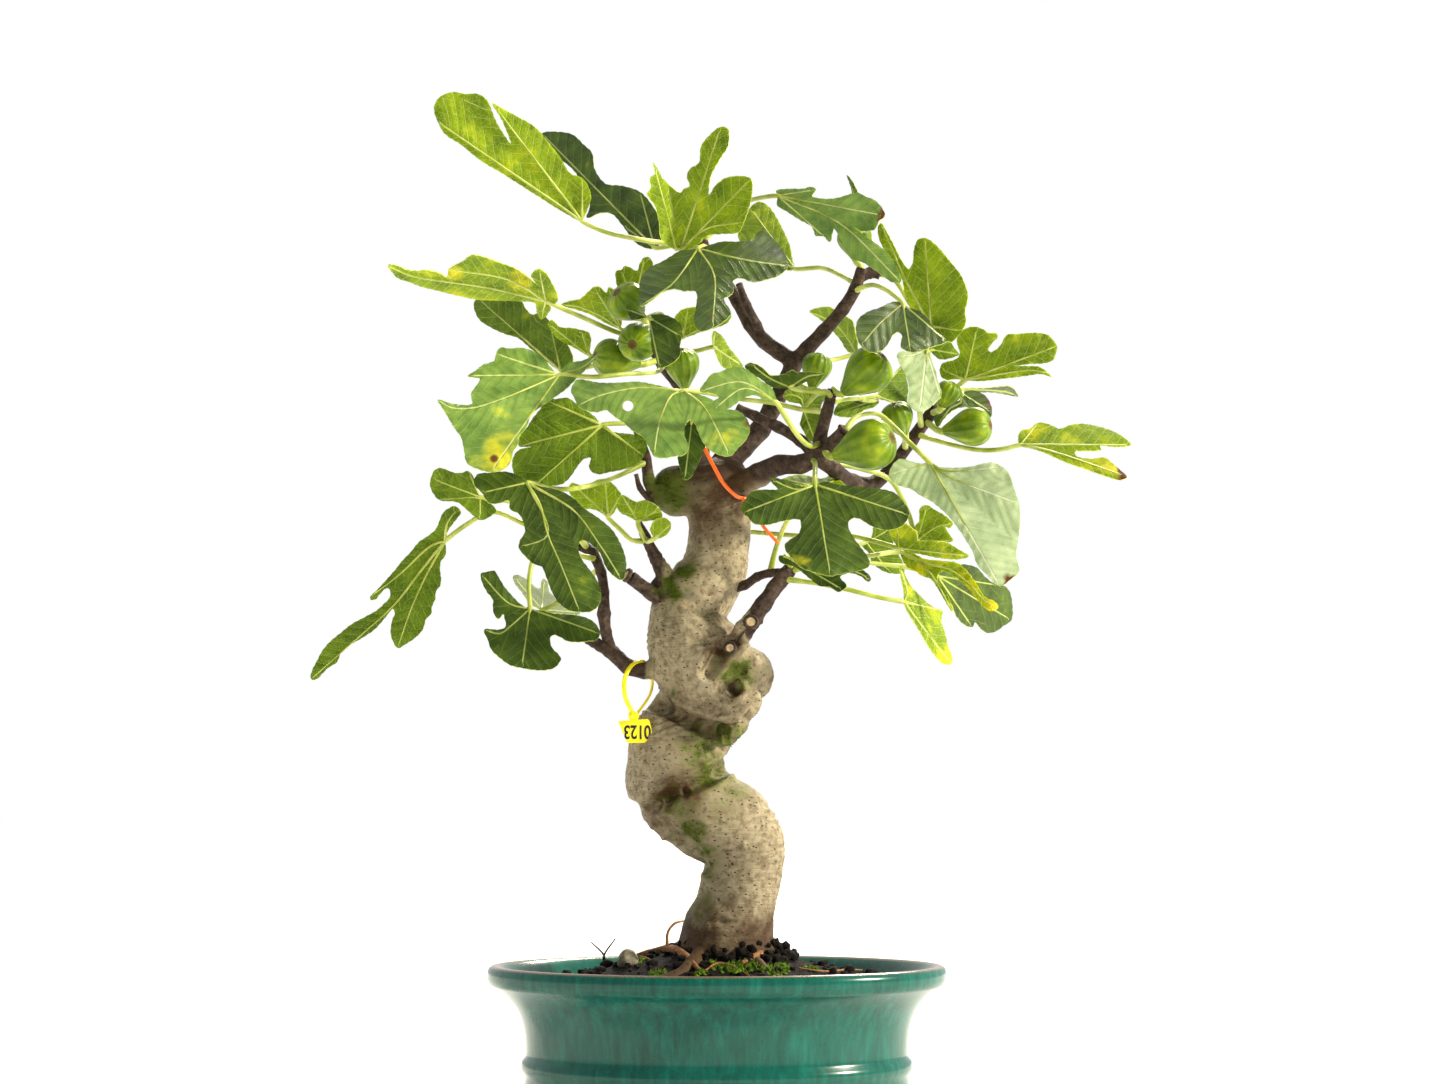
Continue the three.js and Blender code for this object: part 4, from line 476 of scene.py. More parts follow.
class Skin:
    """Points, faces, the finish of each face and the UV of each corner of one piece."""

    def __init__(self):
        self.points, self.faces, self.finishes, self.maps = [], [], [], {}
        self.corners = 0

    def add(self, points, faces, finish=0, **maps):
        start = len(self.points)
        corners = sum(len(face) for face in faces)
        self.points += points
        self.faces += [[start + i for i in face] for face in faces]
        self.finishes += [finish] * len(faces)
        for name in {*self.maps, *maps}:
            held = self.maps.setdefault(name, [(0, 0)] * self.corners)
            held += maps.get(name, [(0, 0)] * corners)
        self.corners += corners

    def piece(self, name, *materials, smooth=True):
        mesh = bpy.data.meshes.new(name)
        mesh.from_pydata(self.points, [], self.faces)
        for map_name, values in self.maps.items():
            layer = mesh.uv_layers.new(name=map_name)
            layer.data.foreach_set("uv", [number for pair in values for number in pair])
        for material in materials:
            mesh.materials.append(material)
        mesh.polygons.foreach_set("material_index", self.finishes)
        mesh.polygons.foreach_set("use_smooth", [smooth] * len(self.faces))
        mesh.update()
        return shown(name, mesh)


def circle(sides):
    """The cosine and the sine of evenly spread turns, once round."""
    turns = [2 * math.pi * s / sides for s in range(sides)]
    return [(math.cos(turn), math.sin(turn)) for turn in turns]


def ring_faces(rings, sides, closed=False):
    """Four-sided faces between rings of points, the last joined to the first if closed."""
    faces = []
    for ring in range(rings if closed else rings - 1):
        low, high = ring * sides, (ring + 1) % rings * sides
        faces += [[low + s, low + (s + 1) % sides, high + (s + 1) % sides, high + s] for s in range(sides)]
    return faces


def end_faces(rings, sides):
    """The faces that close both ends of a row of rings."""
    last = (rings - 1) * sides
    return [list(range(sides))[::-1], [last + s for s in range(sides)]]


def add_tube(skin, places, radii, sides, step, finish=0, flat=1.0, knuckle=0.0):
    """A round or flattened stem in metres, with a radius in mm at each place. It is thicker at them."""
    line, marks = curve_through(places, step * MM)
    side_way = SIGHT.cross(line[1] - line[0]).normalized()
    points = []
    for i, (middle, mark) in enumerate(zip(line, marks)):
        ahead = line[min(i + 1, len(line) - 1)]
        along = (ahead - line[max(i - 1, 0)]).normalized()
        side_way = (side_way - along * side_way.dot(along)).normalized()
        other_way = along.cross(side_way)
        span = min(int(mark), len(radii) - 1)
        share = mark - span
        ease = share * share * (3 - 2 * share)
        next_radius = radii[min(span + 1, len(radii) - 1)]
        radius = radii[span] * (1 - ease) + next_radius * ease
        radius *= MM * (1 + knuckle * math.exp(-(min(share, 1 - share) * 7) ** 2))
        points += [middle + side_way * right * radius + other_way * up * radius * flat
                   for right, up in circle(sides)]
    skin.add(points, ring_faces(len(line), sides) + end_faces(len(line), sides), finish)


def ride(piece, slot, *nodes):
    """Lets a piece move with the one body and hides the solids it stands for. The slot is not used."""
    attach(piece, "root")
    if nodes:
        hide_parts(*nodes)


print("faces of a tube with 4 rings of 12:", len(ring_faces(4, 12) + end_faces(4, 12)))

# %% [markdown]
# The pot was thrown as a round and pressed to an oval, so its profile is turned and then narrowed
# front to back. A rolled lip, a hollow neck, a bead and a belly catch the light one above the other.

# %% Pot
POT_DEPTH_SHARE = 0.8
# The profile as (reach, height) in mm: under the foot, up the outside, over the lip and down inside.
POT_PROFILE = [
    (11, 6), (60, 6), (82, 6), (83, 5), (83.5, 1.5), (85, 0.2), (90, 0), (95, 0.2), (97, 2), (97.6, 8),
    (104, 18), (110, 29), (113.2, 42), (113.8, 51), (112.8, 57.5), (112.9, 60), (114.8, 62.2),
    (115.4, 65), (114.6, 68), (112.8, 70), (112.6, 78), (114, 88), (117.3, 97), (122.6, 104),
    (128, 108.6), (131.2, 110.6), (134.2, 112.3), (135.4, 115.5), (135.5, 119), (134.6, 121.6),
    (132.5, 122.9), (129.5, 122.9), (127, 121.6), (124, 119), (116, 109), (111, 102), (106, 90),
    (104, 82), (103, 60), (102, 40), (99, 24), (95, 16), (90, 15), (50, 15), (11, 15),
]
POT_SEGMENTS = 144


def oval(reach, height, sides):
    """A level ring of places in metres, narrowed front to back as the pot is."""
    return [Vector((reach * right, reach * up * POT_DEPTH_SHARE, height)) * MM
            for right, up in circle(sides)]


pot_line, _ = curve_through([Vector(pair) for pair in POT_PROFILE], 3)
skin = Skin()
skin.add([place for reach, height in pot_line for place in oval(reach, height, POT_SEGMENTS)],
         ring_faces(len(pot_line), POT_SEGMENTS, closed=True))
ride(skin.piece("glazed_pot", glaze), "glaze", "pot")
print("pot profile points:", len(pot_line))

# %% [markdown]
# The soil fills the pot and rises to the trunk. Its top is a fine polar grid, pushed up and down by
# noise, from clods of about 12 mm to crumbs of about 2 mm.

# %% Soil
SOIL_EDGE = 113
SOIL_MOUND = 21
SOIL_REACH = 117
SOIL_RINGS = 58
SOIL_SEGMENTS = 150
# Below its top the soil follows the inside of the pot, as (reach, height) in mm.
SOIL_WALL = [(110, 104), (103.5, 82), (101.5, 40), (94, 15.4), (1, 15.4)]


def soil_top(x, y):
    """The height of the smooth soil in mm: an even mound under the trunk."""
    out = min(math.hypot(x, y / POT_DEPTH_SHARE) / SOIL_REACH, 1)
    return SOIL_EDGE + SOIL_MOUND * (0.5 + 0.5 * math.cos(math.pi * out))


def rough_soil(x, y):
    """The height of the soil with its clods and crumbs."""
    place = Vector((x, y, 0))
    clods = 1.5 * noise.noise(place / 12) + 1.0 * noise.noise(place / 4.5 + Vector((9, 2, 4)))
    return soil_top(x, y) + clods + 0.5 * noise.noise(place / 1.9)


def on_soil(across, down, rise=0.0):
    """The place on the soil that shows at a point of the front view, in mm."""
    ray = seen(across, down, 0) / MM - EYE
    best = None
    for deep in range(-90, 91, 2):
        place = EYE + ray * ((deep - EYE.y) / ray.y)
        gap = place.z - soil_top(place.x, place.y) - rise
        if best is None or gap < best[0]:
            best = (gap, place)
        if gap <= 0:
            break
    place = best[1]
    return Vector((place.x, place.y, soil_top(place.x, place.y) + rise))


skin = Skin()
points = []
for ring in range(1, SOIL_RINGS + 1):
    reach = (SOIL_REACH + 0.8) * ring / SOIL_RINGS
    for right, up in circle(SOIL_SEGMENTS):
        x, y = reach * right, reach * up * POT_DEPTH_SHARE
        points.append(Vector((x, y, rough_soil(x, y) - 1.5 * (ring == SOIL_RINGS))) * MM)
for reach, height in SOIL_WALL:
    points += oval(reach, height, SOIL_SEGMENTS)
rings = SOIL_RINGS + len(SOIL_WALL)
faces = ring_faces(rings, SOIL_SEGMENTS) + end_faces(rings, SOIL_SEGMENTS)
skin.add(points, [face[::-1] for face in faces])
ride(skin.piece("potting_soil", loam), "soil", "soil")
print("soil faces:", len(faces))

# %% [markdown]
# Loose crumbs lie on the soil, and more of them are heaped round the foot of the trunk. Each is a
# small ball whose points are moved by noise.

# %% Loose crumbs
CRUMBS = 420
HEAPED_CRUMBS = 230
# The heap of crumbs lies round the trunk's foot, between these reaches from a middle at this x.
HEAP_X = 10
HEAP_REACHES = (21, 38)
BALLS = {}
random.seed(11)


def ball(detail, radius=1):
    """The points and faces of a ball, made once for each fineness and radius."""
    if (detail, radius) not in BALLS:
        made = bmesh.new()
        bmesh.ops.create_icosphere(made, subdivisions=detail, radius=radius)
        BALLS[detail, radius] = ([vert.co.copy() for vert in made.verts],
                                 [[vert.index for vert in face.verts] for face in made.faces])
        made.free()
    return BALLS[detail, radius]


def lump(skin, place, size, detail, roughness=0.35, squash=1.0, finish=0):
    """An uneven ball in mm, whose points are moved by noise."""
    directions, faces = ball(detail)
    offset = Vector([random.uniform(0, 50) for _ in range(3)])
    points = []
    for way in directions:
        reach = size * (1 + roughness * noise.noise(way * 1.4 + offset))
        points.append((place + Vector((way.x, way.y, way.z * squash)) * reach) * MM)
    skin.add(points, faces, finish)


skin = Skin()
for _ in range(CRUMBS):
    reach = SOIL_REACH * 0.97 * math.sqrt(random.uniform(0.03, 1))
    turn = random.uniform(0, 2 * math.pi)
    x, y = reach * math.cos(turn), reach * math.sin(turn) * POT_DEPTH_SHARE
    size = random.uniform(0.7, 2.1) if random.random() < 0.85 else random.uniform(2.2, 3.6)
    lump(skin, Vector((x, y, rough_soil(x, y) + 0.3 * size)), size, 2, 0.6, 0.75)
for _ in range(HEAPED_CRUMBS):
    turn = random.uniform(0, 2 * math.pi)
    reach = random.uniform(*HEAP_REACHES)
    x, y = HEAP_X + reach * math.cos(turn), reach * math.sin(turn)
    heaped = (HEAP_REACHES[1] - reach) / (HEAP_REACHES[1] - HEAP_REACHES[0])
    place = Vector((x, y, rough_soil(x, y) + random.uniform(0, 2 + 7 * heaped)))
    lump(skin, place, random.uniform(1.1, 3), 2, 0.7)
ride(skin.piece("soil_crumbs", loam), "soil")
print("loose crumbs:", CRUMBS + HEAPED_CRUMBS)

# %% [markdown]
# Moss grows where the soil stays damp: in front of the trunk and in small spots. A mat of low lumps
# carries hundreds of tiny pointed leaves. A few pale rootlets and a forked twig lie on the soil.

# %% Moss, rootlets and twig
MOSS_SPOTS = [(735, 971, 12), (752, 966, 13), (768, 973, 11), (783, 968, 8), (722, 966, 8), (659, 976, 7),
              (700, 975, 5), (812, 970, 4), (640, 962, 4), (690, 948, 5)]


def add_sprig(skin, foot, rise):
    """One pointed moss leaf in mm: a thin three-sided spike."""
    wide = Vector((random.uniform(-0.5, 0.5), random.uniform(-0.5, 0.5), 0))
    deep_way = Vector((wide.y, -wide.x, 0.1))
    places = (foot - wide, foot + wide, foot + deep_way, foot + rise)
    skin.add([place * MM for place in places], [[0, 1, 3], [1, 2, 3], [2, 0, 3], [0, 2, 1]])


skin = Skin()
for across, down, size in MOSS_SPOTS:
    centre = on_soil(across, down)
    for _ in range(int(size * 3.4)):
        x = centre.x + random.gauss(0, size * 0.34)
        y = centre.y + random.gauss(0, size * 0.3)
        if math.hypot(x, y / POT_DEPTH_SHARE) < SOIL_REACH - 3:
            lump(skin, Vector((x, y, rough_soil(x, y) + 0.2)), random.uniform(0.7, 1.7), 2, 0.5, 0.7)
            for _ in range(4):
                foot = Vector((x + random.gauss(0, 1), y + random.gauss(0, 1), rough_soil(x, y) + 0.6))
                rise = Vector((random.gauss(0, 0.7), random.gauss(0, 0.7), random.uniform(1.2, 2.6)))
                add_sprig(skin, foot, rise)
ride(skin.piece("moss_mat", moss), "soil")


# Roots that lie on the soil, as places in the front view and the radius in mm at each.
LYING_ROOTS = [
    ([(630, 953), (648, 950), (665, 949), (677, 951), (686, 957), (699, 970)],
     [1.6, 2.3, 2.6, 2.6, 2.4, 1.2]),
    ([(742, 963), (752, 959), (760, 955), (768, 952)], [1.2, 2.4, 2.6, 1.6]),
    ([(612, 958), (626, 960), (640, 957), (655, 962)], [0.5, 0.7, 0.7, 0.4]),
    ([(705, 972), (718, 964), (733, 967), (749, 976)], [0.5, 0.8, 0.7, 0.4]),
    ([(798, 968), (822, 972), (846, 967), (868, 970)], [0.4, 0.6, 0.6, 0.3]),
]
ARCHED_ROOT = [(667, 945, -26), (668, 932, -28), (674, 924, -27), (683, 921, -20)]
TWIG_FOOT = (604, 957)
TWIG_TIPS = [(591, 942), (615, 939)]
TWIG_FORK_RISE = 6
skin = Skin()
for places, radii in LYING_ROOTS:
    add_tube(skin, [on_soil(*place, 1.2) * MM for place in places], radii, 9, 1.2, knuckle=0.1)
add_tube(skin, [seen(*place) for place in ARCHED_ROOT], [1.0, 0.8, 0.8, 0.7], 8, 1.2)
ride(skin.piece("surface_roots", root_skin), "bark")
skin = Skin()
twig_foot = on_soil(*TWIG_FOOT, 1) * MM
twig_fork = twig_foot + Vector((0, 0, TWIG_FORK_RISE * MM))
for tip in TWIG_TIPS:
    add_tube(skin, [twig_foot, twig_fork, seen(*tip, twig_foot.y / MM)], [0.7, 0.6, 0.4], 6, 1.5)
add_tube(skin, [twig_foot - Vector((0, 0, 0.003)), twig_fork], [0.9, 0.7], 6, 1.5)
ride(skin.piece("forked_twig", young_bark), "bark")
print("moss spots:", len(MOSS_SPOTS), "lying roots:", len(LYING_ROOTS))

# %% [markdown]
# The wood is one grown body: a snaking trunk with burls, a few main limbs, twigs and surface roots.
# Each stem is a route through the front view with its radius at each place.

# %% The routes of the wood
TOP_SHOOT = (702, 242, 20)
RIGHT_ARM_TIP = (862, 268, -14)
RIGHT_ARM_SPUR = (879, 274, -10)
MIDDLE_FORK = (795, 362, 8)
RIGHT_FORK = (817, 457, -52)
RIGHT_SPUR_TIP = (833, 389, -62)
STUB_TIP = (845, 431, -70)
FAR_RIGHT_TIP = (935, 408, 4)
LOW_RIGHT_TIP = (796, 561, -28)
LOW_LEFT_FORK = (611, 652, -14)
RISER_TIP = (581, 545, 2)
SPRIG_TIP = (638, 520, -14)
LEFT_TWIG_TIP = (635, 428, -18)
FRUIT_SPUR_TIP = (648, 322, 4)

TRUNK_ROUTE = [
    (728, 1008, 0), (727, 978, 0), (727, 950, 0), (728, 934, 0), (737, 900, 0), (743, 866, 0),
    (742, 846, -1), (729, 827, -3), (706, 813, -4), (686, 793, -3), (677, 768, 0), (678, 745, 3),
    (690, 722, 5), (706, 700, 3), (709, 680, 0), (700, 660, -2), (690, 636, -3), (689, 611, -1),
    (702, 590, 2), (714, 570, 4), (718, 548, 4), (720, 528, 2), (718, 508, 0), (711, 490, -2),
    (704, 474, -3), (700, 464, -3),
]
TRUNK_RADII = [
    24, 30, 30.5, 27.5, 23.5, 23.5, 25.5, 27, 28, 29, 29.5, 28.5, 27.5, 28.5, 30, 30.5, 26, 22.5,
    21.5, 20, 18.7, 18.6, 19.5, 20.5, 18, 11,
]
BURLS = [
    ((747, 676, -5), 17),
    ((668, 802, -2), 18),
    ((677, 491, -5), 15.5),
    ((666, 590, -5), 9.5),
    ((727, 476, -3), 12),
]
# Each branch is its route and the radius of the wood in mm at each place of it.
BRANCHES = [
    # Right branch to its fork, the spur above the fork and the cut stub beside it
    ([(718, 488, 0), (740, 484, -10), (759, 475, -20), (779, 465, -34), (801, 464, -46),
      RIGHT_FORK], [10, 8, 7, 6, 5.6, 5.4]),
    ([RIGHT_FORK, (820, 439, -55), (827, 412, -59), RIGHT_SPUR_TIP], [5, 4, 3.6, 3.2]),
    ([RIGHT_FORK, (831, 445, -61), STUB_TIP], [4.6, 4.4, 4]),
    # Far right branch behind the figs
    ([RIGHT_FORK, (835, 470, -38), (852, 481, -22), (876, 482, -8), (893, 465, 0), (911, 441, 4),
      FAR_RIGHT_TIP], [4.8, 4.4, 4.2, 4, 3.8, 3.8, 3.8]),
    # Middle branch, its two arms and the twig beside the left arm
    ([(714, 480, 0), (727, 462, 2), (742, 447, 4), (760, 430, 7), (772, 408, 9), (784, 385, 9),
      MIDDLE_FORK], [10, 8.5, 7, 6.2, 5.6, 5.4, 5.2]),
    ([MIDDLE_FORK, (779, 352, 5), (764, 341, 0), (750, 324, -2), (738, 302, 2), (724, 280, 9),
      (711, 262, 16), TOP_SHOOT], [5, 4.8, 4.6, 4.4, 4.1, 3.8, 4, 3.6]),
    ([(764, 341, 0), (757, 325, -7), (747, 305, -10), (739, 284, -8)], [3, 2.7, 2.4, 1.9]),
    ([MIDDLE_FORK, (807, 349, 3), (823, 332, -3), (843, 309, -9), (855, 289, -12), RIGHT_ARM_TIP],
      [5, 4.7, 4.3, 4, 3.8, 3.6]),
    ([(858, 278, -12), (870, 273, -11), RIGHT_ARM_SPUR], [3.6, 3.4, 3]),
    # Short cross branch
    ([RIGHT_FORK, (801, 441, -42), (778, 427, -32), (755, 416, -26), (737, 408, -24)],
      [4, 3.4, 3.2, 3, 2.6]),
    # Low right branch and the thin twig behind it
    ([(720, 662, -12), (735, 643, -24), (751, 622, -31), (763, 605, -33), (774, 590, -33),
      (786, 575, -31), LOW_RIGHT_TIP], [8, 6.6, 5.9, 5, 4.6, 4.2, 3.4]),
    ([(726, 590, 0), (745, 585, -6), (757, 577, -12), (770, 573, -19), (785, 572, -27)],
      [3.4, 2.7, 2.6, 2.5, 2.4]),
    # Low left branch and its riser
    ([(660, 668, -3), (643, 671, -8), (629, 667, -12), LOW_LEFT_FORK, (599, 645, -14),
      (586, 640, -13)], [7, 4.8, 4.5, 4, 3.4, 2.6]),
    ([LOW_LEFT_FORK, (606, 632, -14), (604, 614, -12), (604, 592, -8), (601, 572, -4), (592, 553, 0),
      RISER_TIP], [3.8, 3.2, 3.8, 2.9, 2.9, 3.4, 3.4]),
    # Cut branch and the short branch with the leafy sprig
    ([(672, 604, -6), (650, 592, -14), (630, 577, -20)], [6, 4.4, 4.2]),
    ([(673, 592, -3), (664, 573, -8), (655, 556, -12), (646, 538, -14), SPRIG_TIP],
      [5, 4.6, 3.5, 3, 2.2]),
    # Left twig with a bare side twig
    ([(672, 500, -4), (658, 499, -9), (649, 480, -14), (646, 458, -16), (641, 441, -18),
      LEFT_TWIG_TIP], [6, 4.2, 3.7, 3.2, 2.7, 2]),
    ([(660, 502, -8), (648, 497, -12), (640, 488, -15), (636, 474, -17)], [2.4, 2, 1.7, 1.2]),
    # Hidden branch at the upper left that carries the bunch of figs
    ([(700, 480, 2), (698, 452, 6), (695, 425, 10), (689, 402, 12), (677, 382, 12), (663, 366, 8),
      (655, 352, 5), (650, 338, 3), FRUIT_SPUR_TIP], [9, 6.5, 5.2, 4.6, 4.1, 3.7, 3.3, 2.8, 2.2]),
]
# Surface roots as (x, y, radius), laid on the soil.
ROOTS = [
    [(-8, -18, 7), (-14, -36, 5), (-24, -52, 4.2), (-40, -58, 3.6), (-56, -54, 2.6), (-66, -50, 1.4)],
    [(16, -18, 7), (24, -34, 4.5), (31, -46, 3.2), (40, -54, 1.6)],
    [(-20, 6, 8), (-34, 14, 5), (-50, 18, 3.4), (-64, 26, 1.6)],
    [(20, 12, 8), (32, 24, 5), (44, 40, 3), (50, 54, 1.6)],
    [(2, 22, 8), (0, 38, 4.4), (-8, 54, 2.6), (-12, 64, 1.4)],
]
print("branches:", len(BRANCHES), "surface roots:", len(ROOTS))

# %% [markdown]
# Thick parts are joined by a voxel remesh, which melts the joints as bark does.

# %% Trunk and limbs
REMESH_SIZE = 1.15
# Branches that start at this radius in mm or more melt into the trunk; the others are twigs.
THICK_FROM = 5
SMALL_BURLS = [((742, 702, -24), 12), ((734, 722, -22), 10)]

skin = Skin()
add_tube(skin, [seen(*place) for place in TRUNK_ROUTE], TRUNK_RADII, 40, 2)
for place, radius in BURLS + SMALL_BURLS:
    points, faces = ball(4, radius * MM)
    skin.add([point + seen(*place) for point in points], faces)
for route, radii in BRANCHES:
    if radii[0] >= THICK_FROM:
        add_tube(skin, [seen(*place) for place in route], radii, 20, 1.5, knuckle=0.1)
for root in ROOTS:
    places = [Vector((x, y, soil_top(x, y) - 0.25 * radius)) * MM for x, y, radius in root]
    add_tube(skin, places, [0.85 * radius for _, _, radius in root], 16, 1.5, knuckle=0.12)
wood = skin.piece("fig_wood", old_bark)
remesh = wood.modifiers.new("melted joints", "REMESH")
remesh.mode = "VOXEL"
remesh.voxel_size = REMESH_SIZE * MM
remesh.use_smooth_shade = True
soften = wood.modifiers.new("softened", "SMOOTH")
soften.factor = 0.5
soften.iterations = 5
melted = bpy.data.meshes.new_from_object(wood.evaluated_get(bpy.context.evaluated_depsgraph_get()))
wood.modifiers.clear()
old_mesh, wood.data = wood.data, melted
bpy.data.meshes.remove(old_mesh)
print("wood faces:", len(melted.polygons))

# %% [markdown]
# The bark gets its relief as one array of places in mm, which is far faster than point by point.
# Noise gives swells of 21 mm, lumps of 8 mm and wrinkles of 1.7 mm that lie across the stem. Folds,
# knot holes and warts are pressed in where the front view shows them.

# %% Relief of the bark
# The relief fades out above this height in mm, where the wood is young.
SMOOTH_ABOVE = 415
# Knot holes and hollows pressed into the front as (across, down, radius in steps, depth in mm).
DENTS = [
    (735, 690, 9, 6), (723, 736, 7, 5), (668, 797, 12, 2.6), (684, 792, 9, 2), (737, 672, 13, 2.2),
    (751, 806, 8, 1.2), (776, 806, 8, 1.2), (700, 919, 8, 1), (722, 921, 8, 1), (711, 632, 7, 1.4),
]
# Folds where the stem turned on itself, as (line in the front view, half width in steps, depth in mm).
FOLDS = [
    ([(738, 756), (724, 768), (706, 778), (688, 787), (668, 796), (652, 808)], 8, 9),
    ([(640, 698), (656, 702), (680, 716), (712, 730), (744, 728), (764, 704)], 8, 7),
    ([(760, 634), (740, 634), (722, 648), (708, 672)], 8, 6.5),
    ([(636, 806), (662, 828), (688, 846), (702, 864)], 8, 3),
    ([(660, 590), (682, 596), (706, 612)], 8, 2.6),
    ([(744, 796), (762, 804), (790, 812)], 3, 1.0), ([(690, 915), (716, 921), (742, 924)], 3, 1.0),
]
# Bands of fine folds as (across, down, half height in steps, depth in mm).
WRINKLES = [(706, 724, 14, 1.1), (690, 640, 10, 0.7), (718, 560, 8, 0.5), (740, 852, 9, 0.6),
            (705, 818, 10, 0.8)]
# Warts and knobs as (across, down, radius in steps, height in mm). A height below zero is a flat spot.
WARTS = [
    (766, 684, 34, -6), (653, 699, 30, -5), (676, 850, 26, -3), (630, 792, 40, 3),
    (703, 765, 8, 2.2), (722, 820, 4, 1.6), (728, 822, 3, 1.4), (744, 844, 5, 1.5), (708, 928, 6, 2),
    (652, 826, 7, 2.2), (664, 838, 6, 2.2), (676, 846, 6, 2), (690, 852, 5, 1.6), (657, 612, 6, 1.6),
    (686, 640, 6, 1.2), (756, 660, 7, 1.2), (742, 700, 6, 1.4), (716, 742, 6, 1.6), (672, 702, 6, 1),
]

places = np.empty(3 * len(melted.vertices), dtype=np.float32)
melted.vertices.foreach_get("co", places)
places = places.reshape(-1, 3).astype(float) / MM
outs = np.array([tuple(vert.normal) for vert in melted.vertices])
lying = Vector((1 / 5, 1 / 5, 1 / 1.7))
rises = np.array([0.9 * noise.noise(place / 21) + 0.5 * noise.noise(place / 8 + Vector((3, 1, 7)))
                  + 0.22 * noise.noise(place * lying) for place in map(Vector, places)])

# Where each point shows in the front view, and whether its side faces the viewer.
rays = places - np.array(EYE)
on_plane = rays * (EYE_DISTANCE / (rays @ np.array(SIGHT)))[:, None] + np.array(EYE) - np.array(AIM)
across = VIEW_MIDDLE[0] + on_plane[:, 0] / STEP
down = VIEW_MIDDLE[1] - on_plane @ np.array(VIEW_UP) / STEP
faces_viewer = np.clip((0.25 - outs[:, 1]) * 4, 0, 1)
pressed = np.zeros(len(places))
for dent_across, dent_down, size, depth in DENTS:
    gap = np.hypot(across - dent_across, down - dent_down) / size
    pressed += depth * (0.45 * np.exp(-((gap - 0.95) * 3.6) ** 2) - np.exp(-(gap * 1.9) ** 2))
for wart_across, wart_down, size, height in WARTS:
    gap = np.hypot(across - wart_across, down - wart_down) / size
    pressed += height * np.exp(-(gap * 2) ** 2)
for line, reach, depth in FOLDS:
    gap = near_line(np.stack([across, down], axis=1), line)[0] / reach
    pressed += depth * (0.3 * np.exp(-((gap - 1.3) * 2.2) ** 2) - np.exp(-gap ** 2))
bends = np.array([2.2 * noise.noise(Vector((x / 16, y / 40, 0))) for x, y in zip(across, down)])
for fold_across, fold_down, reach, depth in WRINKLES:
    close_by = np.exp(-((down - fold_down) / reach) ** 2)
    pressed += 0.6 * depth * close_by * np.sin((down + 0.25 * (across - fold_across)) * 0.9 + bends)
fade = np.clip((SMOOTH_ABOVE - places[:, 2]) / 50 + 0.35, 0.25, 1)
places += outs * ((rises + pressed * faces_viewer) * fade)[:, None]
melted.vertices.foreach_set("co", (places * MM).astype(np.float32).ravel())
melted.update()
print("deepest fold:", round(-float(pressed.min()), 1), "mm")

# %% [markdown]
# The bark finish reads two maps. "growth" is how young the wood is, and the other is where algae
# sit and where the bark turns brown: stains, and painted shade in the dents, the folds and under the
# low right branch. Their spots have wandering edges.

# %% Young wood, algae, stains and painted shade
# Where algae and moss grow, and where the bark is brown from stains and painted shade:
# (across, down, radius in steps, strength).
MOSSY = [
    (735, 672, 16, 0.9), (725, 740, 12, 0.7), (702, 748, 26, 0.6), (716, 772, 20, 0.7), (738, 792, 18, 0.5),
    (690, 832, 16, 0.7), (704, 848, 14, 0.6), (672, 692, 12, 0.4), (672, 588, 12, 0.9), (684, 574, 14, 0.8),
    (668, 492, 24, 0.9), (654, 508, 14, 0.7), (752, 678, 12, 0.6), (664, 804, 12, 0.4), (712, 868, 12, 0.5),
    (682, 810, 18, 0.5), (700, 905, 16, 0.4), (746, 742, 16, 0.6), (722, 812, 16, 0.35),
]
# The brown spots are stains, and painted shade where they sit in the dents, in the folds and under the low
# right branch.
STAINED_AND_SHADED = [
    (668, 797, 12, 1.0), (690, 788, 9, 0.9), (708, 778, 9, 0.8), (656, 806, 8, 0.8), (680, 716, 10, 0.8),
    (700, 724, 10, 0.9), (664, 706, 9, 0.8), (746, 728, 9, 0.8), (722, 648, 9, 0.8), (738, 636, 9, 0.8),
    (735, 690, 9, 0.9), (723, 736, 9, 0.9), (692, 716, 28, 0.45), (726, 630, 18, 0.6),
    (690, 668, 16, 0.35), (716, 492, 34, 0.8), (745, 505, 14, 0.6), (704, 926, 24, 0.6),
    (742, 934, 28, 0.8), (656, 826, 14, 0.6), (690, 958, 46, 0.9), (640, 965, 40, 0.9),
    (750, 962, 40, 0.9), (690, 790, 18, 0.6), (700, 778, 14, 0.6), (740, 728, 18, 0.6),
    (726, 645, 14, 0.7), (715, 655, 16, 0.4), (770, 930, 20, 0.6), (680, 940, 18, 0.6),
]
NOISE_SEED = 7
# The three-way noise starts from a seed, so each run paints the same edges.
noise.seed_set(NOISE_SEED)
wander = np.array([tuple(noise.noise_vector(place / 9)) for place in map(Vector, places)]) * 11


def painted(spots):
    """How strongly each point of the wood lies in one of the spots, whose edges wander."""
    share = np.zeros(len(places))
    for spot_across, spot_down, size, strength in spots:
        gap = np.hypot(across + wander[:, 0] - spot_across, down + wander[:, 1] - spot_down) / size
        share = np.maximum(share, strength * np.exp(-gap ** 2 * 0.9))
    return share


def step_up(values, low, high):
    """Goes from 0 to 1 as the values go from low to high."""
    return np.clip((values - low) / (high - low), 0, 1)


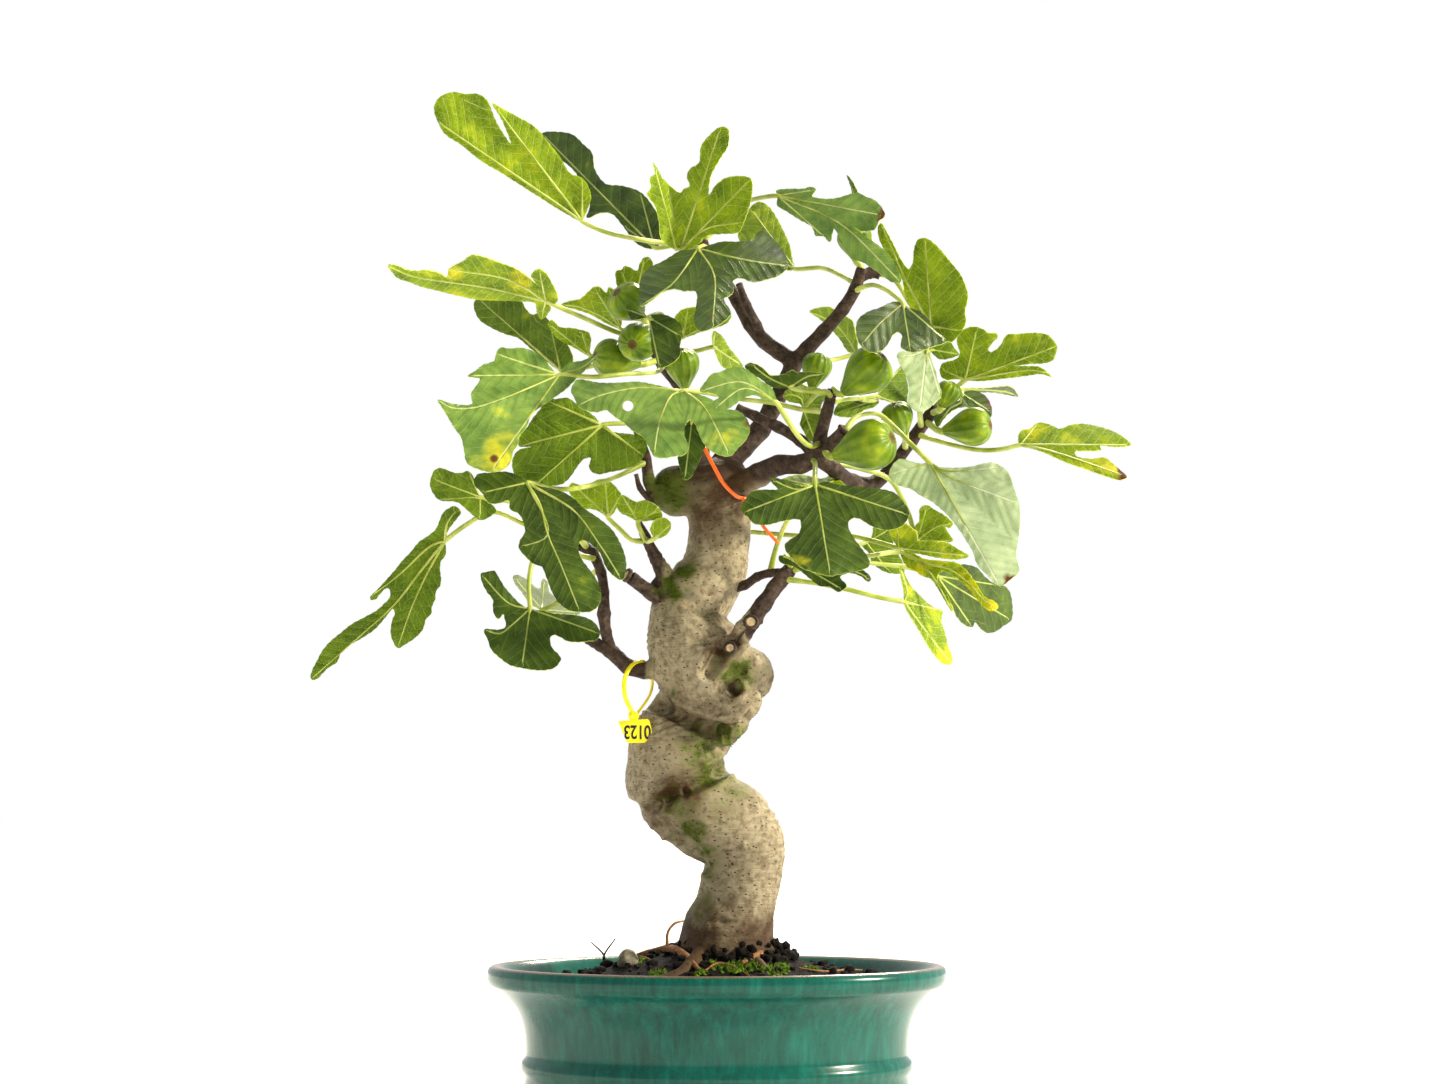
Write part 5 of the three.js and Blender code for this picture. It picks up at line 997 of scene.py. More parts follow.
# Wood is young high in the crown, on the low left limbs and on the right limb.
crown = step_up(-down, -505, -465)
left_limb = step_up(-across, -652, -640) * step_up(-down, -690, -680)
left_arm = step_up(-across, -672, -655) * step_up(-down, -612, -600)
right_limb = step_up(across, 742, 756) * step_up(-down, -650, -640) * step_up(down, 555, 565)
young = np.maximum.reduce([crown, left_limb, left_arm, right_limb])
mossy, stained_and_shaded = painted(MOSSY), painted(STAINED_AND_SHADED)
corner_points = np.empty(len(melted.loops), dtype=np.int32)
melted.loops.foreach_get("vertex_index", corner_points)
# The second map carries the algae, and brown that is partly stain and partly painted shade.
for name, first, second in (("growth", young, young), ("damp_and_shade", mossy, stained_and_shaded)):
    layer = melted.uv_layers.new(name=name)
    shares = np.stack([first, second], axis=1)[corner_points]
    layer.data.foreach_set("uv", shares.astype(np.float32).ravel())
melted.update()
ride(wood, "bark", "tree")
print("share of young wood:", round(float(young.mean()), 2))

# %% [markdown]
# Moss sprigs grow where the algae is thickest and the bark stands out. The thin twigs are tubes of
# their own, with a darker, rougher bark.

# %% Moss on the bark and twigs
TRUNK_SPRIGS = 2600
grown = np.flatnonzero((mossy + 0.5 * rises / 1.4 > 0.62) & (outs[:, 1] < 0.4))
sprigs = random.sample(list(grown), min(TRUNK_SPRIGS, len(grown)))
skin = Skin()
for i in sprigs:
    lean = Vector([random.gauss(0, 0.35) for _ in range(3)])
    add_sprig(skin, Vector(places[i]), (Vector(outs[i]) + lean) * random.uniform(0.7, 1.7))
ride(skin.piece("trunk_moss", moss), "bark")
print("moss sprigs on the bark:", len(sprigs))

skin = Skin()
for route, radii in BRANCHES:
    if radii[0] < THICK_FROM:
        add_tube(skin, [seen(*place) for place in route], radii, 14, 1.5, knuckle=0.16)
ride(skin.piece("fig_twigs", young_bark), "bark")

# %% [markdown]
# Where a branch was cut, the end shows pale wood with a ring of healed bark round it. Each scar is a
# shallow turned dish: pale in the middle, with a rolled bark edge.

# %% Cut ends
pale_wood = crumbly("fig_wood_cut", "#8a7350", "#c9b791", 1.4, 0.0002, 0.8)
# Each cut is its place, the way it faces and its radius in mm.
CUTS = [
    ((751, 622, -39), (0.05, -1, 0.2), 4.2), ((730, 648, -33), (-0.1, -1, 0.1), 3.6),
    ((627, 575, -21), (-1, -0.5, 0.5), 4.0), ((845, 430, -70.5), (0.7, -0.3, 0.8), 4.2),
    ((634, 427, -18), (-0.6, -0.6, 0.9), 2.0),
]
# The scar as (share of the radius, height in mm). Its first two bands of faces are bare wood.
CUT_PROFILE = [(0.02, 0.5), (0.5, 0.4), (0.62, 0.5), (0.8, 1.0), (1.0, 0.9), (1.12, 0.2), (1.1, -1.2)]
CUT_SIDES = 20
BARE_FACES = 2 * CUT_SIDES
skin = Skin()
for place, facing, radius in CUTS:
    turn_to = Vector(facing).to_track_quat("Z", "Y")
    points = [seen(*place) + turn_to @ Vector((share * radius * right, share * radius * up, height)) * MM
              for share, height in CUT_PROFILE for right, up in circle(CUT_SIDES)]
    faces = ring_faces(len(CUT_PROFILE), CUT_SIDES)
    skin.add(points, faces[:BARE_FACES], 0)
    skin.add(points, faces[BARE_FACES:], 1)
ride(skin.piece("cut_ends", pale_wood, young_bark), "bark")
print("cut ends:", len(CUTS))

# %% [markdown]
# Every leaf is drawn once in the front view: its base, lean, stalk, veins and outline. A lean is how
# fast the depth grows across and down. A leaf whose lower face is seen has the side "under".

# %% Leaf drawings
LEAVES = {}


def draw(name, base, lean, stalk, veins, outline, **more):
    """Notes one blade. Its stalk is a row of places of 3 numbers each, its outline of 2 each."""
    stalk = [stalk[i:i + 3] for i in range(0, len(stalk), 3)]
    outline = [outline[i:i + 2] for i in range(0, len(outline), 2)]
    blade = dict(base=base, lean=lean, stalk=stalk, veins=veins, outline=outline, **more)
    LEAVES.setdefault(name, []).append(blade)


draw("leaf_top_left_spear", (582, 221, 5), (0.1, 0.25),
     [704, 248, 20, 686, 249, 26, 668, 244, 26, 637, 239, 15, 606, 232, 9],
     [[438, 117], [493, 104], [581, 181]],
     [560, 210, 530, 191, 500, 172, 480, 160, 460, 144, 445, 134, 438, 122, 434, 107, 440, 97, 453, 92,
     466, 94, 478, 94, 487, 100, 495, 119, 503, 133, 511, 144, 505, 127, 499, 115, 492, 103, 505, 110,
     520, 118, 535, 127, 548, 142, 560, 157, 570, 173, 582, 178, 588, 186, 591, 197, 588, 208, 584, 217],
     side="under")
draw("leaf_top_left_back", (655, 248, 45), (-0.5, -0.4),
     [707, 255, 18, 690, 251, 34, 675, 246, 42], [[623, 226], [546, 136], [640, 193]],
     [650, 249, 636, 243, 623, 226, 612, 214, 600, 213, 587, 218, 590, 205, 575, 172, 556, 155, 542, 134,
     558, 132, 573, 135, 584, 145, 592, 153, 595, 170, 606, 184, 622, 186, 640, 192, 652, 205, 662, 225,
     662, 242])
draw("leaves_top_shoot", (676, 249, 0), (0.8, 0.3),
     [700, 240, 16, 692, 240, 8, 684, 246, 3], [[653, 165]],
     [668, 246, 661, 238, 659, 222, 655, 206, 650, 199, 647, 194, 651, 188, 650, 178, 655, 174, 653, 163,
     658, 170, 662, 178, 668, 184, 668, 196, 671, 212, 676, 226, 680, 240], side="under")
draw("leaves_top_shoot", (681, 250, 8), (-0.4, 0.05),
     [700, 240, 16, 690, 243, 12], [[668, 187], [723, 129], [749, 181], [706, 229, 743, 226]],
     [677, 236, 672, 216, 668, 185, 680, 193, 684, 189, 690, 186, 687, 177, 690, 169, 699, 163, 701, 147,
     708, 137, 721, 127, 728, 129, 728, 146, 722, 156, 716, 166, 711, 176, 709, 195, 716, 185, 726, 178,
     740, 176, 751, 179, 752, 195, 749, 208, 744, 222, 739, 232, 722, 234, 706, 236, 696, 246],
     side="under")
draw("leaf_top_front", (698, 249, -28), (-0.1, -1),
     [710, 260, 15, 708, 250, -2, 703, 246, -18],
     [[671, 286, 643, 304], [714, 275, 718, 327], [740, 259, 787, 267]],
     [690, 250, 680, 251, 672, 256, 660, 263, 649, 268, 642, 277, 639, 289, 641, 306, 651, 301, 663, 292,
     675, 289, 683, 291, 696, 292, 696, 308, 694, 322, 699, 331, 713, 328, 727, 319, 731, 313, 724, 299,
     731, 295, 734, 289, 733, 281, 740, 278, 753, 282, 768, 279, 780, 275, 788, 266, 785, 254, 777, 243,
     769, 235, 761, 231, 752, 240, 738, 242, 722, 242, 708, 246])
draw("leaf_top_middle_back", (795, 269, 35), (-0.4, -0.9),
     [856, 284, -12, 842, 276, 2, 822, 268, 20], [[752, 207], [741, 240]],
     [793, 262, 790, 246, 783, 230, 775, 215, 768, 206, 759, 202, 750, 208, 744, 220, 738, 233, 741, 244,
     754, 256, 772, 264, 786, 270], side="under")
draw("leaf_top_right_front", (778, 196, -22), (-0.3, -0.35),
     [704, 242, 24, 716, 226, 26, 740, 205, 10, 760, 198, -10],
     [[815, 190], [883, 215], [840, 224, 900, 281], [829, 240]],
     [776, 191, 790, 189, 803, 189, 812, 187, 816, 190, 812, 196, 824, 199, 838, 198, 848, 195, 858, 193,
     866, 197, 874, 200, 882, 208, 885, 216, 879, 221, 875, 229, 862, 231, 849, 224, 860, 233, 875, 243,
     888, 254, 896, 266, 901, 282, 892, 282, 878, 272, 862, 262, 852, 259, 842, 242, 834, 229, 830, 242,
     823, 236, 816, 236, 812, 227, 800, 220, 786, 211, 777, 205])
draw("leaf_top_right_back", (868, 232, 50), (-1.5, -0.9),
     [870, 273, -11, 873, 256, 14, 872, 242, 36], [[848, 176]],
     [858, 218, 852, 200, 852, 191, 847, 175, 853, 182, 858, 192, 866, 203, 873, 218], side="under")
draw("leaf_right_high", (931, 326, -25), (-0.3, 0.1),
     [*RIGHT_ARM_SPUR, 890, 276, -14, 898, 284, -18, 913, 308, -20],
     [[907, 282, 881, 225], [926, 240], [963, 328]],
     [922, 316, 912, 308, 905, 294, 903, 282, 897, 270, 888, 256, 880, 241, 878, 228, 881, 223, 887, 232,
     895, 247, 902, 261, 909, 269, 913, 262, 914, 250, 918, 240, 925, 238, 934, 243, 944, 254, 954, 266,
     962, 277, 968, 296, 965, 312, 966, 321, 962, 331, 951, 342, 942, 339, 935, 333], side="under")
draw("leaf_right_high_front", (903, 304, -58), (0, -1),
     [854, 291, -12, 872, 285, -28, 888, 291, -44], [[882, 322, 862, 345], [910, 350], [945, 340]],
     [897, 302, 890, 303, 880, 308, 868, 312, 858, 320, 856, 332, 861, 346, 870, 352, 881, 351, 888, 344,
     893, 335, 898, 332, 902, 335, 901, 347, 911, 352, 921, 351, 932, 347, 947, 341, 938, 333, 932, 326,
     927, 318, 918, 311, 909, 308])
draw("leaves_far_right_tip", (965, 380, -5), (-0.15, 0.2),
     [*FAR_RIGHT_TIP, 948, 394, 0, 957, 387, -2],
     [[943, 368], [978, 330], [1056, 344], [1000, 374, 1028, 370, 1044, 372, 1050, 376]],
     [955, 379, 947, 380, 941, 376, 940, 368, 943, 363, 950, 361, 956, 359, 960, 354, 957, 343, 958, 335,
     963, 330, 970, 327, 977, 327, 983, 329, 989, 333, 996, 333, 998, 337, 993, 342, 988, 350, 991, 352,
     997, 349, 1002, 343, 1005, 337, 1009, 334, 1017, 334, 1028, 333, 1038, 333, 1048, 335, 1053, 340,
     1057, 346, 1056, 353, 1053, 360, 1046, 363, 1030, 364, 1015, 366, 1030, 366, 1040, 367, 1046, 371,
     1051, 377, 1042, 374, 1025, 376, 1000, 379, 980, 381], side="under")
draw("leaves_far_right_tip", (963, 389, 14), (0.2, 2.5),
     [*FAR_RIGHT_TIP, 948, 394, 0, 956, 390, 6], [[990, 390, 1008, 392, 1016, 395]],
     [972, 388, 984, 388, 998, 387, 1008, 386, 1013, 388, 1018, 396, 1005, 394, 990, 392, 972, 392])
draw("leaf_right_draped", (927, 350, -48), (0, -0.5),
     [921, 427, 4, 920, 404, -30, 924, 372, -44], [[912, 356, 901, 356], [920, 411], [940, 396]],
     [920, 352, 908, 352, 900, 352, 897, 356, 899, 362, 902, 368, 907, 378, 909, 390, 908, 402, 913, 409,
     920, 412, 928, 409, 935, 402, 941, 397, 941, 390, 938, 382, 936, 372, 932, 362, 930, 352])
draw("leaf_right_draped", (930, 349, -44), (0.2, 0.8),
     [920, 404, -30, 925, 372, -42], [[957, 354]],
     [934, 345, 942, 342, 950, 342, 955, 349, 959, 354, 950, 358, 940, 359, 934, 355], side="under")
draw("leaf_right_behind_arm", (857, 352, 50), (-1.6, 0.4),
     [*MIDDLE_FORK, 808, 358, 25, 832, 360, 46], [[838, 326, 812, 311]],
     [858, 345, 856, 334, 852, 320, 847, 317, 838, 312, 830, 307, 822, 307, 810, 311, 820, 319, 830, 328,
     840, 339, 849, 352], side="under")
draw("leaf_right_behind_figs", (876, 396, -10), (0.5, -0.3),
     [829, 403, -60, 845, 399, -44, 862, 398, -26], [[903, 369], [909, 407]],
     [881, 390, 888, 382, 895, 373, 902, 366, 906, 378, 908, 390, 907, 402, 911, 408, 900, 406, 888, 401,
     880, 399], side="under")
draw("leaf_right_behind_figs", (877, 400, -5), (0.3, -0.5),
     [860, 398, -28, 869, 401, -15], [[836, 412]],
     [872, 399, 860, 400, 846, 399, 838, 404, 834, 414, 845, 417, 857, 416, 864, 410, 874, 407, 879, 402],
     side="under")
draw("leaf_far_right_behind", (962, 393, 10), (-0.1, -0.8),
     [929, 416, 4, 943, 408, 12, 954, 400, 14], [[991, 414], [961, 403, 951, 408, 939, 425]],
     [975, 391, 985, 396, 990, 403, 992, 412, 990, 418, 983, 412, 973, 408, 963, 407, 952, 411, 943, 420,
     938, 427, 934, 420, 940, 411, 950, 404, 960, 400])
draw("leaf_far_right", (1020, 445, -25), (0.05, -0.7),
     [916, 434, 4, 938, 441, -6, 979, 450, -18, 1003, 449, -24],
     [[1038, 424], [1129, 443], [1045, 450, 1075, 459, 1124, 478]],
     [1018, 439, 1021, 431, 1030, 429, 1038, 423, 1050, 425, 1060, 429, 1068, 426, 1081, 424, 1095, 426,
     1112, 431, 1124, 438, 1131, 445, 1115, 447, 1100, 446, 1101, 450, 1088, 451, 1075, 452, 1076, 456,
     1090, 459, 1105, 458, 1114, 465, 1122, 472, 1127, 477, 1121, 480, 1105, 476, 1085, 469, 1065, 462,
     1045, 453, 1028, 447], side="under")
draw("leaf_right_big_pale", (930, 463, -70), (-0.2, -0.35),
     [*STUB_TIP, 856, 417, -62, 878, 414, -52, 894, 427, -54, 910, 443, -64],
     [[893, 478], [1001, 583], [942, 473, 1019, 512], [944, 471, 975, 470, 1000, 468]],
     [922, 464, 912, 462, 900, 459, 893, 465, 889, 475, 893, 483, 901, 486, 911, 489, 920, 495, 931, 501,
     941, 509, 950, 518, 960, 531, 967, 542, 973, 552, 977, 564, 986, 574, 1000, 586, 1011, 579, 1019, 571,
     1016, 556, 1018, 540, 1020, 522, 1019, 504, 1014, 489, 1009, 474, 1002, 467, 993, 463, 983, 464,
     970, 467, 952, 468, 938, 467])
draw("leaf_front_right", (815, 485, -104), (0, -0.4),
     [813, 460, -50, 815, 463, -70, 815, 472, -92],
     [[800, 490, 783, 485, 771, 479], [744, 510], [831, 575], [906, 515]],
     [808, 487, 795, 485, 783, 480, 770, 478, 773, 484, 778, 489, 762, 490, 755, 491, 748, 496, 741, 508,
     743, 513, 749, 518, 753, 523, 765, 525, 783, 521, 797, 519, 800, 520, 801, 528, 798, 535, 790, 540,
     785, 545, 786, 551, 790, 556, 796, 563, 802, 568, 810, 571, 820, 574, 831, 576, 845, 573, 858, 571,
     869, 566, 868, 558, 861, 548, 855, 540, 850, 532, 848, 526, 849, 521, 854, 518, 860, 519, 868, 524,
     876, 528, 885, 530, 894, 529, 902, 526, 907, 520, 909, 515, 907, 507, 902, 501, 896, 494, 889, 491,
     878, 489, 860, 487, 838, 485, 825, 482])
draw("leaf_low_right_behind", (785, 556, -48), (-0.2, -0.2),
     [791, 568, -30, 789, 561, -40], [[845, 588], [820, 569, 850, 570, 871, 579]],
     [779, 556, 780, 562, 795, 567, 808, 577, 820, 586, 830, 587, 838, 592, 843, 590, 847, 586, 840, 577,
     850, 573, 862, 577, 868, 582, 871, 579, 864, 571, 850, 568, 820, 565, 800, 560])
draw("leaf_right_edge_on", (818, 488, -50), (0, -2),
     [770, 573, -19, 776, 548, -22, 788, 520, -34, 806, 497, -46], [[783, 481], [840, 482]],
     [806, 486, 790, 486, 775, 485, 783, 479, 800, 475, 812, 477, 822, 479, 830, 476, 838, 479, 846, 487,
     830, 488], side="under")
draw("leaf_right_lit", (917, 540, -4), (-0.1, 0.3),
     [*RIGHT_FORK, 834, 463, -38, 862, 469, -26, 890, 480, -16, 908, 512, -6],
     [[927, 506], [938, 526, 951, 524], [952, 540]],
     [914, 528, 919, 521, 920, 508, 927, 505, 935, 510, 941, 513, 948, 518, 953, 524, 949, 528, 945, 526,
     948, 532, 953, 541, 940, 542, 928, 541], side="under")
draw("leaf_right_pale_low", (899, 548, -24), (-0.2, 0.2),
     [722, 529, 8, 765, 533, 15, 805, 536, 6, 852, 536, -10], [[898, 528], [967, 557]],
     [893, 540, 889, 530, 897, 527, 905, 523, 912, 528, 917, 532, 918, 540, 935, 541, 948, 543, 958, 549,
     969, 556, 960, 559, 940, 558, 920, 554, 905, 551], side="under")
draw("leaf_right_yellow", (901, 552, -10), (-0.2, -0.2),
     [788, 572, -31, 820, 563, -36, 862, 557, -24],
     [[926, 568, 953, 610], [925, 563, 950, 570, 970, 585, 985, 601, 996, 608]],
     [902, 559, 907, 567, 915, 571, 922, 576, 931, 579, 940, 592, 948, 606, 953, 612, 950, 600, 943, 588,
     937, 578, 942, 571, 952, 575, 964, 584, 973, 594, 981, 604, 990, 611, 998, 608, 995, 602, 985, 597,
     976, 583, 967, 571, 957, 563, 942, 561, 925, 559, 910, 552], side="under")
draw("leaves_low_right", (937, 576, 45), (0.9, 0),
     [*LOW_RIGHT_TIP, 815, 556, -10, 862, 562, 30, 910, 568, 42],
     [[969, 625], [1008, 618], [1004, 587]],
     [938, 583, 945, 593, 952, 605, 957, 617, 965, 625, 972, 627, 975, 622, 981, 629, 988, 633, 996, 631,
     1003, 626, 1011, 620, 1012, 605, 1009, 591, 1004, 586, 995, 584, 985, 577, 977, 568, 968, 565,
     960, 565, 962, 575, 952, 573, 943, 571])
draw("leaves_low_right", (866, 542, 34), (0.3, 0.5),
     [815, 556, -10, 840, 549, 16], [[895, 571], [891, 531]],
     [862, 546, 868, 552, 872, 562, 880, 569, 890, 573, 904, 572, 901, 559, 896, 551, 893, 541, 897, 537,
     890, 529, 874, 527, 872, 536], side="under")
draw("leaf_low_right_hanging", (904, 602, -40), (1.2, -0.5),
     [783, 579, -32, 815, 583, -42, 846, 589, -46, 878, 597, -44],
     [[907, 592, 904, 580, 901, 568], [941, 613], [926, 632, 950, 663]],
     [904, 592, 901, 578, 900, 566, 906, 578, 912, 588, 919, 595, 926, 602, 934, 608, 942, 611, 941, 621,
     945, 634, 948, 647, 952, 658, 951, 664, 944, 664, 936, 657, 928, 646, 920, 632, 912, 619, 906, 609],
     side="under")
draw("leaf_left_high", (546, 301, -28), (-0.1, 1.2),
     [652, 341, 3, 619, 333, -8, 582, 317, -20],
     [[541, 317], [490, 288, 410, 275, 389, 266], [510, 280, 450, 269], [540, 271]],
     [551, 307, 546, 316, 541, 319, 537, 313, 535, 303, 520, 301, 490, 300, 475, 299, 460, 296, 440, 291,
     420, 286, 410, 282, 398, 278, 393, 273, 388, 265, 399, 266, 405, 269, 418, 271, 425, 270, 440, 273,
     447, 277, 449, 269, 463, 261, 472, 255, 488, 258, 496, 261, 504, 264, 515, 268, 527, 276, 538, 285,
     531, 275, 539, 269, 546, 273, 552, 283, 558, 297, 556, 303], side="under")
draw("leaf_left_second", (561, 371, 18), (-0.6, -0.4),
     [656, 354, 5, 625, 356, 16, 592, 366, 19], [[479, 301], [547, 320]],
     [545, 360, 530, 348, 518, 338, 505, 334, 490, 327, 479, 319, 474, 305, 478, 298, 500, 297, 520, 299,
     526, 309, 533, 315, 541, 312, 550, 322, 560, 335, 569, 347, 573, 361, 566, 367], side="under")
draw("leaves_left_lit", (590, 356, 8), (-0.2, 0.3),
     [654, 348, 4, 640, 342, 16, 612, 350, 12], [[550, 324], [583, 331]],
     [575, 348, 560, 340, 552, 332, 548, 323, 552, 320, 560, 327, 572, 328, 581, 330, 588, 332, 591, 338,
     590, 350], side="under")
draw("leaves_left_lit", (620, 328, 34), (0, 0.8),
     [654, 348, 4, 640, 342, 16, 628, 333, 28],
     [[598, 314, 578, 306, 563, 305], [597, 288], [611, 289]],
     [610, 325, 590, 314, 575, 309, 561, 305, 570, 301, 580, 299, 588, 292, 594, 287, 600, 287, 606, 293,
     609, 287, 616, 292, 620, 303, 622, 318], side="under")
draw("leaf_left_fig_top", (634, 303, 25), (0, 0.3),
     [*FRUIT_SPUR_TIP, 643, 312, 16], [[619, 272], [646, 259]],
     [622, 300, 618, 290, 616, 280, 616, 271, 621, 270, 625, 266, 631, 268, 637, 271, 640, 263, 645, 257,
     650, 258, 653, 266, 648, 280, 644, 292], side="under")
draw("leaf_left_small_dark", (649, 318, -55), (-0.2, -0.6),
     [651, 336, 3, 664, 326, -14, 660, 314, -42], [[628, 310], [681, 334], [662, 367]],
     [641, 319, 632, 320, 628, 313, 626, 309, 634, 310, 644, 315, 654, 315, 664, 315, 674, 319, 682, 327,
     682, 337, 680, 345, 680, 355, 674, 362, 667, 366, 660, 368, 656, 359, 652, 350, 651, 338, 650, 326])
draw("leaves_middle_back", (683, 337, 45), (0, 0.6),
     [650, 332, 3, 660, 338, 26, 672, 340, 40], [[686, 310], [729, 315]],
     [680, 330, 674, 320, 680, 311, 688, 308, 697, 307, 706, 310, 718, 314, 731, 313, 728, 322, 714, 328,
     700, 332, 690, 336], side="under")
draw("leaves_middle_back", (713, 347, 40), (1.2, 1),
     [660, 338, 26, 675, 351, 38, 696, 351, 42], [[716, 333], [742, 368]],
     [712, 338, 714, 331, 722, 336, 728, 346, 736, 356, 743, 366, 745, 372, 735, 370, 724, 368, 719, 362,
     715, 352], side="under")
draw("leaf_left_big", (559, 375, -60), (0.15, -0.5),
     [663, 366, 8, 655, 372, -26, 625, 374, -48, 592, 377, -58],
     [[497, 352], [470, 376], [500, 400, 474, 408, 452, 408, 440, 401], [490, 470], [585, 366, 596, 356]],
     [552, 369, 542, 357, 532, 351, 520, 348, 510, 349, 500, 348, 496, 354, 494, 361, 483, 365, 474, 372,
     468, 376, 480, 379, 477, 385, 471, 394, 472, 404, 452, 404, 438, 400, 445, 412, 455, 429, 461, 437,
     464, 450, 467, 463, 478, 469, 491, 472, 504, 469, 511, 461, 513, 452, 518, 444, 520, 436, 526, 428,
     532, 414, 542, 406, 555, 397, 566, 389, 577, 378, 588, 367, 597, 355, 582, 361, 570, 363, 563, 368])
draw("leaf_left_under", (602, 425, -44), (0, 0.1),
     [695, 425, 10, 672, 417, -12, 650, 419, -28, 627, 423, -40],
     [[550, 402], [522, 443], [527, 484], [642, 455]],
     [594, 416, 584, 409, 574, 402, 568, 398, 556, 399, 546, 400, 541, 408, 533, 418, 526, 429, 519, 437,
     519, 446, 531, 447, 519, 450, 513, 458, 513, 470, 520, 482, 532, 488, 548, 486, 562, 484, 570, 477,
     577, 467, 584, 459, 591, 458, 589, 466, 591, 471, 598, 474, 610, 472, 625, 469, 637, 464, 644, 456,
     647, 444, 643, 437, 630, 434, 614, 432], side="under")
draw("leaf_front_left", (527, 483, -100), (-0.05, -0.35),
     [646, 462, -16, 618, 476, -34, 588, 486, -54, 556, 489, -84],
     [[484, 490], [548, 535, 524, 550], [540, 505, 548, 535, 560, 562, 580, 610],
     [575, 512, 600, 545, 622, 578]],
     [518, 476, 506, 472, 490, 473, 477, 475, 474, 484, 482, 493, 489, 503, 500, 503, 509, 500, 510, 509,
     519, 514, 524, 524, 525, 532, 520, 541, 519, 548, 526, 557, 534, 564, 542, 567, 547, 579, 553, 594,
     560, 604, 568, 610, 580, 612, 592, 611, 600, 603, 601, 592, 596, 579, 588, 568, 581, 558, 578, 545,
     582, 540, 592, 545, 600, 553, 606, 567, 614, 576, 622, 580, 626, 570, 625, 556, 620, 543, 612, 530,
     598, 518, 583, 508, 574, 499, 560, 491, 542, 487])
draw("leaf_left_lit_lobe", (480, 497, -56), (0.3, 0.3),
     [588, 549, 1, 566, 524, -24, 530, 506, -48], [[468, 472], [436, 476], [439, 499], [478, 518]],
     [476, 488, 474, 478, 468, 471, 462, 473, 455, 473, 447, 470, 441, 468, 435, 470, 431, 478, 430, 485,
     433, 493, 438, 499, 444, 501, 452, 501, 459, 503, 466, 509, 474, 516, 480, 520, 489, 517, 496, 510,
     490, 503], side="under")
draw("leaf_far_left_hanging", (445, 541, -10), (-0.15, 0.1),
     [583, 546, 2, 550, 538, -4, 520, 522, -12, 492, 512, -16, 466, 525, -14],
     [[447, 524, 457, 508], [432, 545, 400, 574, 372, 598], [420, 572, 395, 604, 360, 636, 313, 678],
     [425, 578, 410, 612, 399, 646]],
     [446, 535, 449, 529, 455, 521, 461, 512, 458, 508, 455, 506, 449, 508, 443, 513, 440, 520, 436, 529,
     428, 536, 419, 542, 411, 552, 403, 560, 396, 569, 388, 578, 380, 587, 374, 593, 370, 597, 371, 600,
     376, 599, 380, 594, 387, 588, 390, 590, 390, 597, 385, 603, 376, 611, 365, 617, 352, 624, 342, 632,
     332, 640, 323, 650, 317, 661, 312, 671, 311, 679, 317, 679, 322, 674, 328, 668, 337, 662, 341, 653,
     350, 645, 362, 638, 375, 629, 384, 619, 393, 609, 395, 613, 392, 621, 391, 635, 394, 643, 398, 648,
     406, 644, 416, 637, 423, 629, 426, 619, 431, 614, 432, 606, 435, 600, 436, 591, 440, 586, 441, 578,
     440, 570, 441, 561, 445, 556, 446, 548], side="under")
draw("leaf_low_left", (530, 609, -56), (0, -0.5),
     [596, 559, -2, 566, 553, -22, 538, 550, -42, 529, 580, -50],
     [[510, 604, 484, 576], [509, 628, 500, 634, 486, 631], [521, 667], [599, 634]],
     [520, 604, 512, 596, 505, 588, 500, 580, 494, 571, 488, 572, 481, 574, 482, 582, 487, 592, 493, 600,
     493, 608, 495, 616, 499, 619, 503, 614, 505, 620, 506, 626, 503, 629, 497, 630, 484, 630, 488, 640,
     491, 649, 500, 658, 510, 665, 522, 668, 535, 670, 546, 670, 554, 668, 559, 663, 561, 659, 558, 654,
     552, 648, 550, 641, 551, 636, 555, 635, 562, 638, 567, 641, 580, 642, 590, 641, 596, 640, 600, 634,
     597, 626, 592, 621, 583, 617, 570, 615, 555, 614, 542, 611])
draw("leaf_low_left_behind", (542, 610, 10), (0.8, -1.6),
     [600, 569, -4, 584, 580, 10, 562, 600, 14], [[515, 577], [545, 581], [577, 613]],
     [530, 603, 522, 592, 515, 583, 513, 577, 516, 575, 522, 577, 530, 583, 538, 589, 541, 588, 541, 582,
     544, 579, 547, 582, 549, 592, 554, 597, 560, 605, 570, 611, 580, 613, 572, 616, 555, 613])
draw("leaf_middle_holed", (683, 391, -92), (0, -0.5),
     [827, 412, -59, 800, 409, -52, 774, 403, -56, 735, 398, -66, 703, 392, -82],
     [[640, 388, 600, 396, 576, 403], [672, 395, 661, 418, 652, 452], [700, 403, 715, 425, 730, 454]],
     [672, 389, 655, 385, 638, 382, 620, 383, 600, 383, 577, 380, 573, 385, 571, 391, 575, 399, 578, 406,
     588, 411, 598, 412, 606, 410, 614, 416, 624, 423, 633, 431, 643, 437, 649, 447, 654, 456, 664, 458,
     675, 456, 684, 455, 689, 446, 685, 438, 685, 426, 690, 419, 695, 424, 700, 436, 706, 446, 715, 453,
     730, 456, 738, 448, 747, 438, 750, 428, 746, 418, 738, 411, 724, 409, 712, 400, 700, 395, 692, 393],
     bites=[(628, 406, 5.5)])
draw("leaf_middle_hanging", (692, 420, -50), (0, -0.3),
     [698, 445, 7, 699, 430, -14, 697, 421, -36], [[684, 479]],
     [686, 425, 684, 436, 688, 444, 684, 452, 678, 457, 680, 468, 682, 478, 685, 480, 690, 478, 695, 470,
     700, 460, 703, 450, 706, 446, 700, 436, 696, 425])
